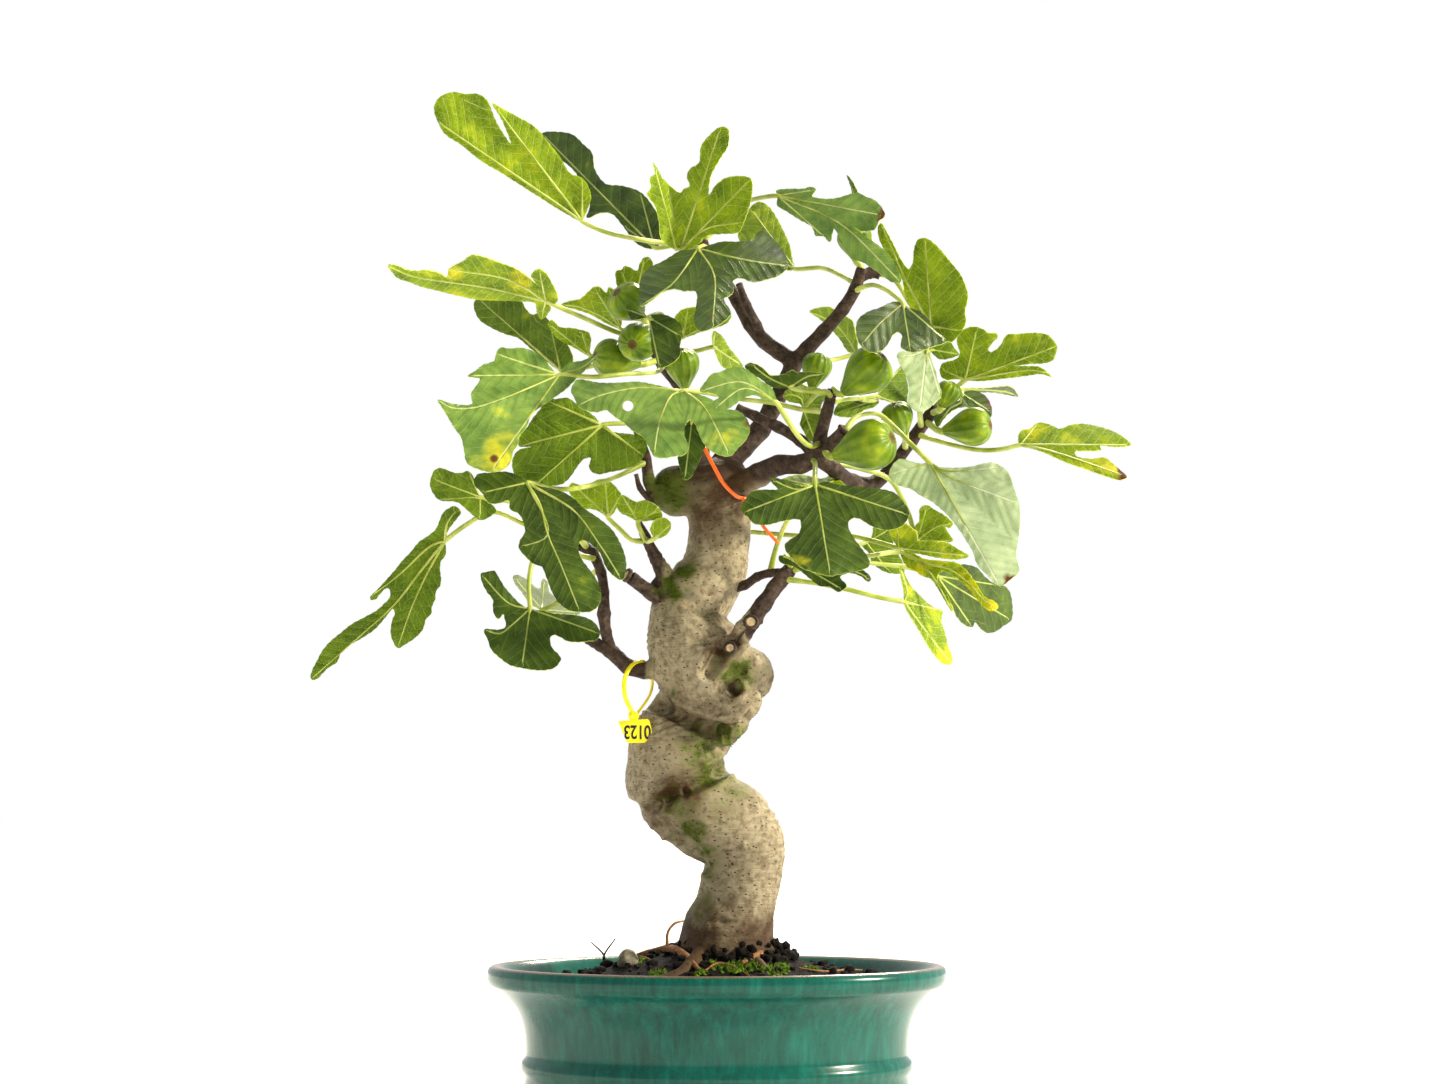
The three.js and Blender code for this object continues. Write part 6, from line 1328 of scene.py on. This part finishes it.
draw("leaf_middle_arched", (776, 402, -112), (0.1, 0.2),
     [820, 443, -54, 810, 446, -70, 800, 438, -82, 786, 418, -100],
     [[743, 382, 701, 390], [745, 388, 716, 408]],
     [775, 395, 771, 387, 763, 382, 754, 375, 746, 369, 736, 367, 727, 369, 720, 372, 712, 374, 706, 381,
     700, 391, 712, 393, 719, 397, 713, 402, 714, 409, 725, 410, 734, 405, 743, 398, 755, 395, 766, 401],
     arch=0.12)
draw("leaves_right_spur", (790, 387, -64), (-0.1, 0.8),
     [831, 396, -61, 825, 392, -72, 808, 391, -68], [[770, 378, 748, 365], [808, 376, 824, 374]],
     [784, 388, 776, 388, 769, 385, 760, 378, 752, 374, 745, 366, 750, 363, 758, 365, 765, 370, 770, 375,
     780, 375, 787, 373, 792, 370, 796, 372, 810, 372, 825, 374, 814, 378, 805, 382, 797, 386])
draw("leaves_right_spur", (803, 409, -30), (0.2, 0.1),
     [825, 392, -72, 818, 393, -54, 809, 402, -38],
     [[801, 399, 792, 395, 786, 395], [822, 393], [814, 441]],
     [800, 404, 790, 402, 783, 396, 790, 388, 800, 387, 812, 387, 822, 390, 826, 396, 821, 405, 820, 418,
     817, 432, 815, 442, 809, 440, 803, 430, 800, 425, 802, 416], side="under")
draw("leaves_low_sprig", (608, 517, -18), (0.2, 0.3),
     [647, 541, -14, 632, 540, -20, 620, 529, -19], [[571, 486], [604, 480], [620, 494]],
     [600, 512, 592, 509, 582, 508, 574, 499, 568, 489, 572, 483, 580, 485, 588, 485, 597, 480, 605, 479,
     613, 484, 619, 491, 621, 494, 618, 503, 615, 511], side="under")
draw("leaves_low_sprig", (638, 521, -34), (0, 0.5),
     [647, 541, -14, 643, 536, -24], [[622, 497], [658, 510]],
     [628, 516, 620, 512, 617, 505, 622, 495, 630, 499, 637, 502, 645, 500, 652, 503, 660, 509, 662, 518,
     652, 520], side="under")
draw("leaves_low_sprig", (655, 538, -36), (0.2, 0.3),
     [647, 541, -14, 650, 541, -26], [[668, 522]],
     [650, 530, 655, 520, 665, 518, 671, 524, 668, 533, 660, 538], side="under")

# Leaves that don't have the usual look of their side. The pale look is partly painted sheen, and
# the near-white look is painted glare.
LOOKS = {
    "leaf_top_right_front": "pale", "leaf_right_draped": "painted_glare", "leaf_right_big_pale": "painted_glare",
    "leaf_left_big": "pale", "leaf_middle_holed": "pale", "leaf_middle_arched": "pale",
    "leaf_left_under": "olive", "leaf_left_second": "olive", "leaf_left_lit_lobe": "olive",
    "leaf_far_left_hanging": "olive", "leaf_right_behind_figs": "olive", "leaf_top_right_back": "olive",
    "leaf_low_left_behind": "dull",
}
# How yellow a leaf is, and its spots: (across, down, radius in steps, more yellow, more brown).
AGES = {
    "leaf_left_big": (0.12, [(500, 457, 34, 0.6, 0.1), (494, 459, 8, 0, 0.9), (512, 466, 5, 0, 0.9),
                             (540, 430, 22, 0.3, 0)]),
    "leaf_left_high": (0.2, [(455, 275, 14, 0.6, 0), (520, 279, 20, 0.7, 0), (480, 262, 14, 0.2, 0)]),
    "leaf_far_right_behind": (0, [(992, 403, 12, 0.3, 0.9)]),
    "leaf_far_right": (0.25, [(1110, 470, 26, 0.5, 0.2), (1124, 476, 12, 0, 0.9), (1035, 436, 16, 0.3, 0)]),
    "leaf_front_right": (0, [(800, 560, 18, 0.6, 0)]),
    "leaf_right_yellow": (0.35, [(920, 628, 9, 0, 0.8), (994, 608, 18, 0.6, 0), (970, 585, 18, 0.4, 0)]),
    "leaf_low_right_hanging": (0.25, [(950, 660, 18, 0.8, 0), (925, 612, 12, 0.2, 0.7),
                                      (912, 588, 12, 0.5, 0)]),
    "leaf_top_front": (0, [(712, 317, 9, 0, 0.8)]),
    "leaf_middle_holed": (0.08, [(628, 406, 9, 0, 0.7), (730, 432, 20, 0.4, 0.2), (746, 424, 8, 0, 0.8)]),
    "leaf_right_big_pale": (0, [(1008, 578, 12, 0, 0.8)]),
    "leaf_top_right_front": (0, [(880, 215, 10, 0, 0.9)]),
    "leaf_right_edge_on": (0.25, []), "leaf_right_lit": (0.22, []), "leaf_right_pale_low": (0.3, []),
    "leaf_left_second": (0.1, []), "leaves_far_right_tip": (0.22, []), "leaf_right_high": (0.08, []),
    "leaves_top_shoot": (0.12, []), "leaves_left_lit": (0.2, []), "leaf_top_left_spear": (0.16, []),
    "leaf_top_middle_back": (0.15, []),
}

print("blades drawn:", sum(len(blades) for blades in LEAVES.values()))

# %% [markdown]
# A blade starts flat. Its rim gets small teeth, its veins get smooth, and a fine triangle mesh with
# the rim and veins as edges fills it, so that it folds along the veins. The depth of each point is a
# lean, a pleat down from each vein, an arch, and a little flutter near the edge.

# %% Flat blades and their depths
# Lengths over the blade are in steps of the front view. Depths, radii and thickness are in mm.
PLEAT = 0.14
ARCH = 0.05
LEAF_HALF_THICK = 0.25
RIM_STEP = 2.2
VEIN_STEP = 6
GRID_STEP = 3.2
CLEAR_OF_RIM = 1.3
CLEAR_OF_VEIN = 1.2
VEIN_CLEAR_OF_RIM = 0.8
TOOTH_PITCH = 7
TOOTH_DEPTH = 0.55
DRY_RIM = 0.372
DRY_RIM_WIDTH = 2.2
HOLE_SIDES = 16
RIPPLE = 0.9
RIPPLE_SIZE = 17
FLUTTER = 1.5
FLUTTER_SIZE = 8
FLUTTER_WIDTH = 9
STALK_RADIUS = 1.45
RIB_RISE = 0.3


def leaf_lines(leaf):
    """The toothed rim and the smooth veins of a blade, in steps of the front view."""
    base = Vector(leaf["base"][:2])
    outline = [Vector(place) for place in leaf["outline"]]
    rim, _ = curve_through([base, *outline], RIM_STEP, closed=True)
    area = sum(a.x * b.y - b.x * a.y for a, b in zip(rim, rim[1:] + rim[:1]))
    toothed = []
    passed = 0.0
    for i, place in enumerate(rim):
        ahead = rim[(i + 1) % len(rim)]
        out = Vector((ahead.y - rim[i - 1].y, rim[i - 1].x - ahead.x)).normalized()
        out *= math.copysign(1, area)
        near_base = min(1, (place - base).length / 12)
        tooth = abs(math.sin(math.pi * passed / TOOTH_PITCH)) - 0.5
        toothed.append(place + out * TOOTH_DEPTH * near_base * tooth)
        passed += (ahead - place).length
    ring = [tuple(place) for place in toothed]
    veins = []
    for row in leaf["veins"]:
        places = [Vector(row[i:i + 2]) for i in range(0, len(row), 2)]
        tip = min(outline, key=lambda place: (place - places[-1]).length)
        line, _ = curve_through([base, *places[:-1], tip], VEIN_STEP)
        middle = [tuple(place) for place in line[1:-1]]
        rim_gaps = near_line(middle, ring + ring[:1])[0]
        held = inside(middle, ring) & (rim_gaps > VEIN_CLEAR_OF_RIM)
        veins.append([tuple(base), *(place for place, keep in zip(middle, held) if keep)])
    return base, ring, [vein for vein in veins if len(vein) > 1]


def blade_depths(leaf, base, reach, points, gaps, edges):
    """The depth in mm of flat points of a blade: its lean, pleats, arch, and a flutter near the edge."""
    points = np.asarray(points, float)
    off = points - np.array(base)
    out = np.hypot(off[:, 0], off[:, 1]) / reach
    arch = leaf.get("arch", ARCH) * reach * 4 * out * (1 - out)
    lean = leaf["lean"][0] * off[:, 0] + leaf["lean"][1] * off[:, 1]
    seed = base.x * 0.37
    ripple = np.array([noise.noise(Vector((x / RIPPLE_SIZE, y / RIPPLE_SIZE, seed))) for x, y in points])
    flutter = np.array([noise.noise(Vector((x / FLUTTER_SIZE, y / FLUTTER_SIZE, seed + 5)))
                        for x, y in points])
    wave = RIPPLE * ripple + FLUTTER * flutter * np.maximum(0, 1 - np.asarray(edges) / FLUTTER_WIDTH)
    return leaf["base"][2] + lean + STEP * (PLEAT * np.asarray(gaps) - arch) + wave * np.minimum(1, out * 3)


def grid_inside(ring, veins):
    """A triangular grid of points inside a rim, clear of the rim and of the veins."""
    low, high = np.min(ring, axis=0), np.max(ring, axis=0)
    rows = np.arange(low[1], high[1], GRID_STEP * 0.87)
    grid = np.array([(x + 0.5 * GRID_STEP * (i % 2), y)
                     for i, y in enumerate(rows) for x in np.arange(low[0], high[0], GRID_STEP)])
    keep = inside(grid, ring) & (near_line(grid, ring + ring[:1])[0] > CLEAR_OF_RIM)
    for vein in veins:
        keep &= near_line(grid, vein)[0] > CLEAR_OF_VEIN
    return grid[keep]


def flat_blade(leaf, ring, veins):
    """The flat points and triangles of a blade, with its rim and veins as edges, without its holes."""
    flat = [Vector(place) for place in ring]
    edges = [(i, (i + 1) % len(ring)) for i in range(len(ring))]
    for vein in veins:
        start = len(flat) - 1
        flat += [Vector(place) for place in vein[1:]]
        edges += [(0 if i == start else i, i + 1) for i in range(start, len(flat) - 1)]
    holes = leaf.get("bites", [])
    for x, y, size in holes:
        start = len(flat)
        flat += [Vector((x + size * right, y + size * up)) for right, up in circle(HOLE_SIDES)]
        edges += [(start + i, start + (i + 1) % HOLE_SIDES) for i in range(HOLE_SIDES)]
    flat += [Vector(place) for place in grid_inside(ring, veins)
             if all(abs(math.dist(place, (x, y)) - size) > CLEAR_OF_VEIN for x, y, size in holes)]
    flat, _, faces, _, _, _ = delaunay_2d_cdt(flat, edges, [list(range(len(ring)))], 1, 1e-5)
    points = np.array([tuple(place) for place in flat])
    for x, y, size in holes:
        faces = [face for face in faces if math.hypot(*(points[face].mean(axis=0) - (x, y))) > size]
    return points, faces


_, ring, veins = leaf_lines(LEAVES["leaf_far_right"][0])
print("far right leaf: rim points", len(ring), "veins", len(veins))

# %% [markdown]
# A blade has two faces 0.5 mm apart, because the upper and the lower face of a fig leaf look so
# different. Each corner notes where it lies along and across its nearest vein, and how old it is.

# %% Blades with their maps


def blade_ages(leaf, points, edges):
    """How yellow and how brown each point is: the whole blade's age, its dry rim and its spots."""
    yellow = np.full(len(points), float(leaf["age"]))
    brown = DRY_RIM * np.maximum(0, 1 - edges / DRY_RIM_WIDTH)
    for x, y, size, more_yellow, more_brown in leaf["spots"]:
        share = np.maximum(0, 1 - np.hypot(points[:, 0] - x, points[:, 1] - y) / size) ** 0.8
        yellow = yellow + share * more_yellow
        brown = brown + share * more_brown
    return np.stack([yellow, brown], axis=1)


def pairs(corner_values):
    return [tuple(pair) for face in corner_values for pair in face]


def add_blade(skin, leaf):
    """Adds the two faces of a blade with their maps, its rim, its ribs underneath and its stalk."""
    base, ring, veins = leaf_lines(leaf)
    closed_ring = ring + ring[:1]
    points, faces = flat_blade(leaf, ring, veins)
    reach = max(math.hypot(x - base.x, y - base.y) for x, y in ring)
    near = [near_line(points, vein) for vein in veins]
    gaps = np.stack([distance for distance, _, _ in near])
    rims = near_line(points, closed_ring)[0]
    depths = blade_depths(leaf, base, reach, points, gaps.min(axis=0), rims)
    sheet = [seen(x, y, depth) for (x, y), depth in zip(points, depths)]
    normals = [Vector() for _ in sheet]
    for face in faces:
        a, b, c = (sheet[i] for i in face)
        normal = (b - a).cross(c - a)
        if normal.dot(SIGHT) > 0:
            face.reverse()
            normal.negate()
        for i in face:
            normals[i] += normal
    half = LEAF_HALF_THICK * MM
    front = [place + normal.normalized() * half for place, normal in zip(sheet, normals)]
    back = [place - normal.normalized() * half for place, normal in zip(sheet, normals)]

    corners = np.array(faces)
    nearest = gaps[:, corners].sum(axis=2).argmin(axis=0)
    along = np.stack([way for _, way, _ in near])[nearest[:, None], corners] * STEP
    across = np.stack([side for _, _, side in near])[nearest[:, None], corners] * STEP
    vein_map = np.stack([along, across], axis=2)
    age_map = blade_ages(leaf, points, rims)[corners]
    under_seen = leaf.get("side") == "under"
    front_finish, back_finish = (1, 0) if under_seen else (0, 1)
    skin.add(front, faces, front_finish, veins=pairs(vein_map), age=pairs(age_map))
    skin.add(back, [face[::-1] for face in faces], back_finish, veins=pairs(vein_map[:, ::-1]),
             age=pairs(age_map[:, ::-1]))
    sides = {(a, b) for face in faces for a, b in zip(face, face[1:] + face[:1])}
    rim_faces = [[b, a, len(front) + a, len(front) + b] for a, b in sorted(sides) if (b, a) not in sides]
    skin.add(front + back, rim_faces, 1)

    under_way = -1 if under_seen else 1
    thick = max(0.35, min(1.0, reach * STEP / 60))
    for vein in veins:
        depths = blade_depths(leaf, base, reach, vein, [0] * len(vein), near_line(vein, closed_ring)[0])
        rib = [seen(x, y, depth + under_way * RIB_RISE) for (x, y), depth in zip(vein, depths)]
        add_tube(skin, rib, [thick * (1 - 0.75 * i / (len(rib) - 1)) for i in range(len(rib))], 6, 20, 2)
    onward = base + (Vector(veins[len(veins) // 2][1]) - base).normalized() * 5
    last_depth = blade_depths(leaf, base, reach, [onward], [0], [FLUTTER_WIDTH])[0]
    stalk = [seen(*place) for place in (*leaf["stalk"], leaf["base"])]
    stalk.append(seen(*onward, last_depth + under_way * RIB_RISE))
    radii = [1.3 * STALK_RADIUS, *[STALK_RADIUS] * (len(stalk) - 2), 0.55 * STALK_RADIUS]
    add_tube(skin, stalk, radii, 10, 2.5, 2)


# %% [markdown]
# Each leaf node of the CAD gets one piece, with the finish of its upper face, of its lower face and
# of its stalk. A leaf seen from below shows its lower face in front, and that face glows from light
# through it and from backlight painted into its colour.

# %% Leaves
# The pale look carries painted sheen, the near-white look painted glare, and the usual look of a leaf seen
# from below painted backlight on its lower finish.
FINISHES = {"dark": (dark_upper, olive_under), "pale": (pale_painted_sheen_upper, olive_under),
            "painted_glare": (glare_painted_upper, olive_under), "bright": (dark_upper, backlight_painted_under),
            "olive": (dark_upper, olive_under), "dull": (olive_under, olive_under)}
leaf_triangles = 0
for name, blades in LEAVES.items():
    skin = Skin()
    for leaf in blades:
        leaf["age"], leaf["spots"] = AGES.get(name, (0, []))
        add_blade(skin, leaf)
    side = blades[0].get("side", "upper")
    look = LOOKS.get(name, "bright" if side == "under" else "dark")
    upper, under = FINISHES[look]
    made = skin.piece(name + "_blade", upper, under, stalk_skin)
    ride(made, "leaf_lit" if side == "under" else "leaf_upper", name)
    leaf_triangles += sum(len(face.vertices) - 2 for face in made.data.polygons)
print("leaves:", len(LEAVES), "triangles:", leaf_triangles)

# %% [markdown]
# A fig is a pear-shaped fruit on a short stalk with a scaly collar, and its eye closes the far end.
# It is turned round its own axis from a smooth profile, with thirteen faint ribs.

# %% Figs
# The profile as shares of the girth and of the length, from the neck to the eye and a little into it.
FIG_PROFILE = [
    (0.02, 0.0), (0.2, 0.005), (0.3, 0.06), (0.46, 0.17), (0.72, 0.33), (0.93, 0.5), (1.0, 0.64),
    (0.95, 0.78), (0.78, 0.89), (0.5, 0.96), (0.26, 0.985), (0.17, 1.0), (0.1, 0.985), (0.02, 0.98),
]
FIG_SIDES = 52
# Each fig is (neck, eye, girth in mm, root of its stalk).
FIGS = {
    "fig_right_front": ((834, 456, -80), (893, 437, -98), 14.6, (824, 451, -56)),
    "fig_right_top": ((843, 393, -68), (884, 356, -80), 13.6, RIGHT_SPUR_TIP),
    "fig_right_behind": ((812, 389, -16), (820, 353, -20), 9, (788, 378, 9)),
    "fig_far_right_big": ((943, 431, -14), (991, 425, -26), 11.6, (925, 421, 4)),
    "fig_far_right_small": ((941, 408, -22), (953, 382, -26), 7.6, (932, 413, 4)),
    "fig_right_low": ((905, 436, -16), (893, 404, -26), 9.6, (905, 449, 3)),
    "fig_left_top": ((642, 318, -12), (616, 292, -26), 12.2, (649, 326, 4)),
    "fig_left_middle": ((648, 338, -18), (632, 345, -52), 11.4, (653, 345, 4)),
    "fig_left_low": ((640, 364, -12), (594, 356, -24), 11.6, (659, 360, 7)),
    "fig_left_right": ((685, 389, -14), (681, 349, -26), 10.4, (686, 396, 12)),
    "fig_top_right": ((856, 260, -10), (853, 226, -6), 10.6, RIGHT_ARM_TIP),
}
fig_line, _ = curve_through([Vector(pair) for pair in FIG_PROFILE], 0.05)
for name, (neck, eye, girth, root) in FIGS.items():
    start, end = seen(*neck), seen(*eye)
    axis = end - start
    turn_to = axis.to_track_quat("Z", "Y")
    skin = Skin()
    points = []
    for reach, along in fig_line:
        for s in range(FIG_SIDES):
            turn = 2 * math.pi * s / FIG_SIDES
            rib = 1 + 0.014 * math.cos(FIG_RIBS * turn) * math.sin(math.pi * min(max(along, 0), 1))
            lop = 1 + 0.04 * math.cos(turn + girth)
            wide = max(reach, 0.02) * girth * rib * lop * MM
            points.append(start + turn_to @ Vector((wide * math.cos(turn), wide * math.sin(turn),
                                                    along * axis.length)))
    faces = ring_faces(len(fig_line), FIG_SIDES)
    rounds = []
    for ring, (here, onward) in enumerate(zip(fig_line, fig_line[1:])):
        in_eye = here.x < 0.3 and ring > len(fig_line) / 2
        low, high = (1.0, 1.0) if in_eye else (here.y, onward.y)
        for s in range(FIG_SIDES):
            left, right = s / FIG_SIDES, (s + 1) / FIG_SIDES
            rounds += [(left, low), (right, low), (right, high), (left, high)]
    faces += end_faces(len(fig_line), FIG_SIDES)
    skin.add(points, faces, 0, round=rounds + [(0, 0)] * FIG_SIDES + [(0, 1)] * FIG_SIDES)
    stalk = [seen(*root), start.lerp(end, -0.04), start.lerp(end, 0.05)]
    add_tube(skin, stalk, [1.9, 2.1, 2.9], 12, 1.5, 1)
    ride(skin.piece(name + "_fruit", fig_skin, stalk_skin), "fig_skin", name)
print("figs:", len(FIGS))

# %% [markdown]
# A yellow loop tag hangs upside down over the low branch. Its plate is a moulded sheet with a rounded
# edge and four plain printed digits. The tie is a flat orange strip, threaded once round the crown.

# %% Tag and tie
TAG_STRAP = [(633, 714, -19), (625, 696, -22), (625, 678, -21), (632, 665, -16), (641, 661, -9),
             (648, 665, 0), (652, 679, 3), (650, 694, -6), (637, 714, -18)]
TAG_HEAD = (633.5, 716)
TAG_CORNERS = [(618, 721), (649, 719), (655, 743), (627, 743)]
TAG_DEPTH = -19
TAG_THICK = 1.2
TAG_BEVEL = 1.2
DIGIT_HEIGHT = 11.2
DIGIT_WIDTH_SHARE = 0.72

skin = Skin()
add_tube(skin, [seen(*place) for place in TAG_STRAP], [1.35] * len(TAG_STRAP), 12, 1.5, flat=0.6)
lump(skin, seen(*TAG_HEAD, TAG_DEPTH) / MM, 3.4, 3, 0.05, 0.9)
plate = bmesh.new()
corners = [plate.verts.new(seen(*corner, TAG_DEPTH)) for corner in TAG_CORNERS]
plate.faces.new(corners)
bmesh.ops.bevel(plate, geom=list(plate.verts), offset=TAG_BEVEL * MM, segments=4, affect="VERTICES",
                profile=0.5)
plate_face = plate.faces[:][0]
plate_face.normal_update()
facing = plate_face.normal.copy()
if facing.dot(SIGHT) > 0:
    facing.negate()
front = [vert.co + facing * TAG_THICK / 2 * MM for vert in plate_face.verts]
back = [vert.co - facing * TAG_THICK / 2 * MM for vert in plate_face.verts]
plate.free()
count = len(front)
skin.add(front + back, [list(range(count)), list(range(count, 2 * count))[::-1],
                        *[[i, count + i, count + (i + 1) % count, (i + 1) % count] for i in range(count)]])
ride(skin.piece("loop_tag", tag_plastic, smooth=False), "tag_plastic", "tag")

digits = bpy.data.curves.new("digits", "FONT")
digits.body = "0123"
digits.size = DIGIT_HEIGHT * MM
digits.extrude = 0.00012
digits.align_x = "CENTER"
digits.align_y = "CENTER"
digits.offset = 0.00025
holder = shown("digits", digits)
across_way = (seen(*TAG_CORNERS[3], TAG_DEPTH) - seen(*TAG_CORNERS[2], TAG_DEPTH)).normalized()
up_way = facing.cross(across_way).normalized()
middle = sum((seen(*corner, TAG_DEPTH) for corner in TAG_CORNERS), Vector()) / 4
middle += facing * (TAG_THICK / 2 + 0.06) * MM
turned_place = Matrix((across_way * DIGIT_WIDTH_SHARE, up_way, facing)).transposed().to_4x4()
holder.matrix_world = Matrix.Translation(middle) @ turned_place
bpy.context.view_layer.update()
digit_mesh = bpy.data.meshes.new_from_object(holder.evaluated_get(bpy.context.evaluated_depsgraph_get()))
digit_mesh.transform(holder.matrix_world)
digit_mesh.materials.clear()
digit_mesh.materials.append(ink)
bpy.data.objects.remove(holder)
ride(shown("tag_digits", digit_mesh), "tag_plastic")

TIE_ROUTE = [(704, 447, -26), (713, 465, -29), (724, 484, -30), (735, 495, -28), (742, 498, -18),
             (748, 497, -4), (744, 484, 12), (736, 470, 14), (727, 455, 15), (714, 442, 12)]
TIE_TAIL = [(742, 498, -18), (754, 511, -30), (763, 526, -34), (778, 543, -36)]
skin = Skin()
for route, radius in ((TIE_ROUTE, 1.15), (TIE_TAIL, 1.0)):
    add_tube(skin, [seen(*place) for place in route], [radius] * len(route), 10, 1.5, flat=0.5)
ride(skin.piece("crown_tie", tie_plastic), "tie_plastic", "tie")
print("tag with the digits", digits.body, "and tie with", len(skin.faces), "faces")

# %% [markdown]
# The pebble is a worn lump of sandstone, half sunk in the soil. The drain screen keeps its CAD solid,
# which is a plain disc on the real part too, and takes its plastic.

# %% Pebble and drain screen
PEBBLE_AT = (-52, -18)
PEBBLE_RADIUS = 6.4
PEBBLE_RISE = 2.5
skin = Skin()
lump(skin, Vector((*PEBBLE_AT, soil_top(*PEBBLE_AT) + PEBBLE_RISE)), PEBBLE_RADIUS, 4, 0.22)
ride(skin.piece("worn_pebble", stone), "pebble", "pebble")
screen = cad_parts["drain_screen"]
screen.data.materials.clear()
screen.data.materials.append(screen_plastic)
print("pebble of", 2 * PEBBLE_RADIUS, "mm at", PEBBLE_AT)

# %% [markdown]
# The floor is a wide pale sheet. Soft sunlight falls from the right, as through a big window, and a
# weaker sun behind the tree shines through its leaves. The room is white behind the tree and greyer
# in front of it, so the trunk is bright on its right side and its folds stay dark.

# %% Floor and light
FLOOR_HALF = 25
SUNLIGHT = "#fff5e0"
floor_mesh = bpy.data.meshes.new("floor")
floor_corners = [(x * FLOOR_HALF, y * FLOOR_HALF, 0) for x, y in ((-1, -1), (1, -1), (1, 1), (-1, 1))]
floor_mesh.from_pydata(floor_corners, [], [(0, 1, 2, 3)])
floor_paint, tree, where = new_material("floor_painted_pale")
grain = add(tree, NOISE, Vector=where, Scale=per_metre(400), Detail=2)
colour = add(tree, RAMP, {"stops": [(0.3, "#f6f6f4"), (0.7, "#fbfbfa")]}, Fac=grain)
add(tree, OUTPUT, Surface=add(tree, SKIN_SHADER, Base_Color=colour, Roughness=0.7))
floor_mesh.materials.append(floor_paint)
shown("floor", floor_mesh)

# Each sun is where it stands, its strength, its size in degrees and its share of the highlights.
SUNS = {"window_light": ((1.25, -0.35, 0.62), 6.1, 6, 1),
        "back_light": ((0.35, 1.0, 0.95), 3.8, 12, 0.3)}
for name, (place, strength, spread, highlights) in SUNS.items():
    lamp = bpy.data.lights.new(name, "SUN")
    lamp.energy = strength
    lamp.angle = math.radians(spread)
    lamp.color = linear(SUNLIGHT)[:3]
    lamp.specular_factor = highlights
    shown(name, lamp).matrix_world = Vector(place).to_track_quat("Z", "Y").to_matrix().to_4x4()

world = bpy.data.worlds.new("studio")
world.use_nodes = True
tree = world.node_tree
tree.nodes.clear()
way = add(tree, SPLIT, Vector=add(tree, "ShaderNodeTexCoord"))
behind = add(tree, RANGE, Value=way.outputs[1], From_Min=-0.5, From_Max=0.4)
walls = add(tree, RAMP, {"stops": [(0.0, "#a8a8a6"), (1.0, "#ffffff")]}, Fac=behind)
sky = add(tree, "ShaderNodeBackground", Color=walls)
add(tree, "ShaderNodeOutputWorld", Surface=sky)
bpy.context.scene.world = world
bpy.context.scene.view_settings.view_transform = "Standard"
print("suns:", *SUNS)
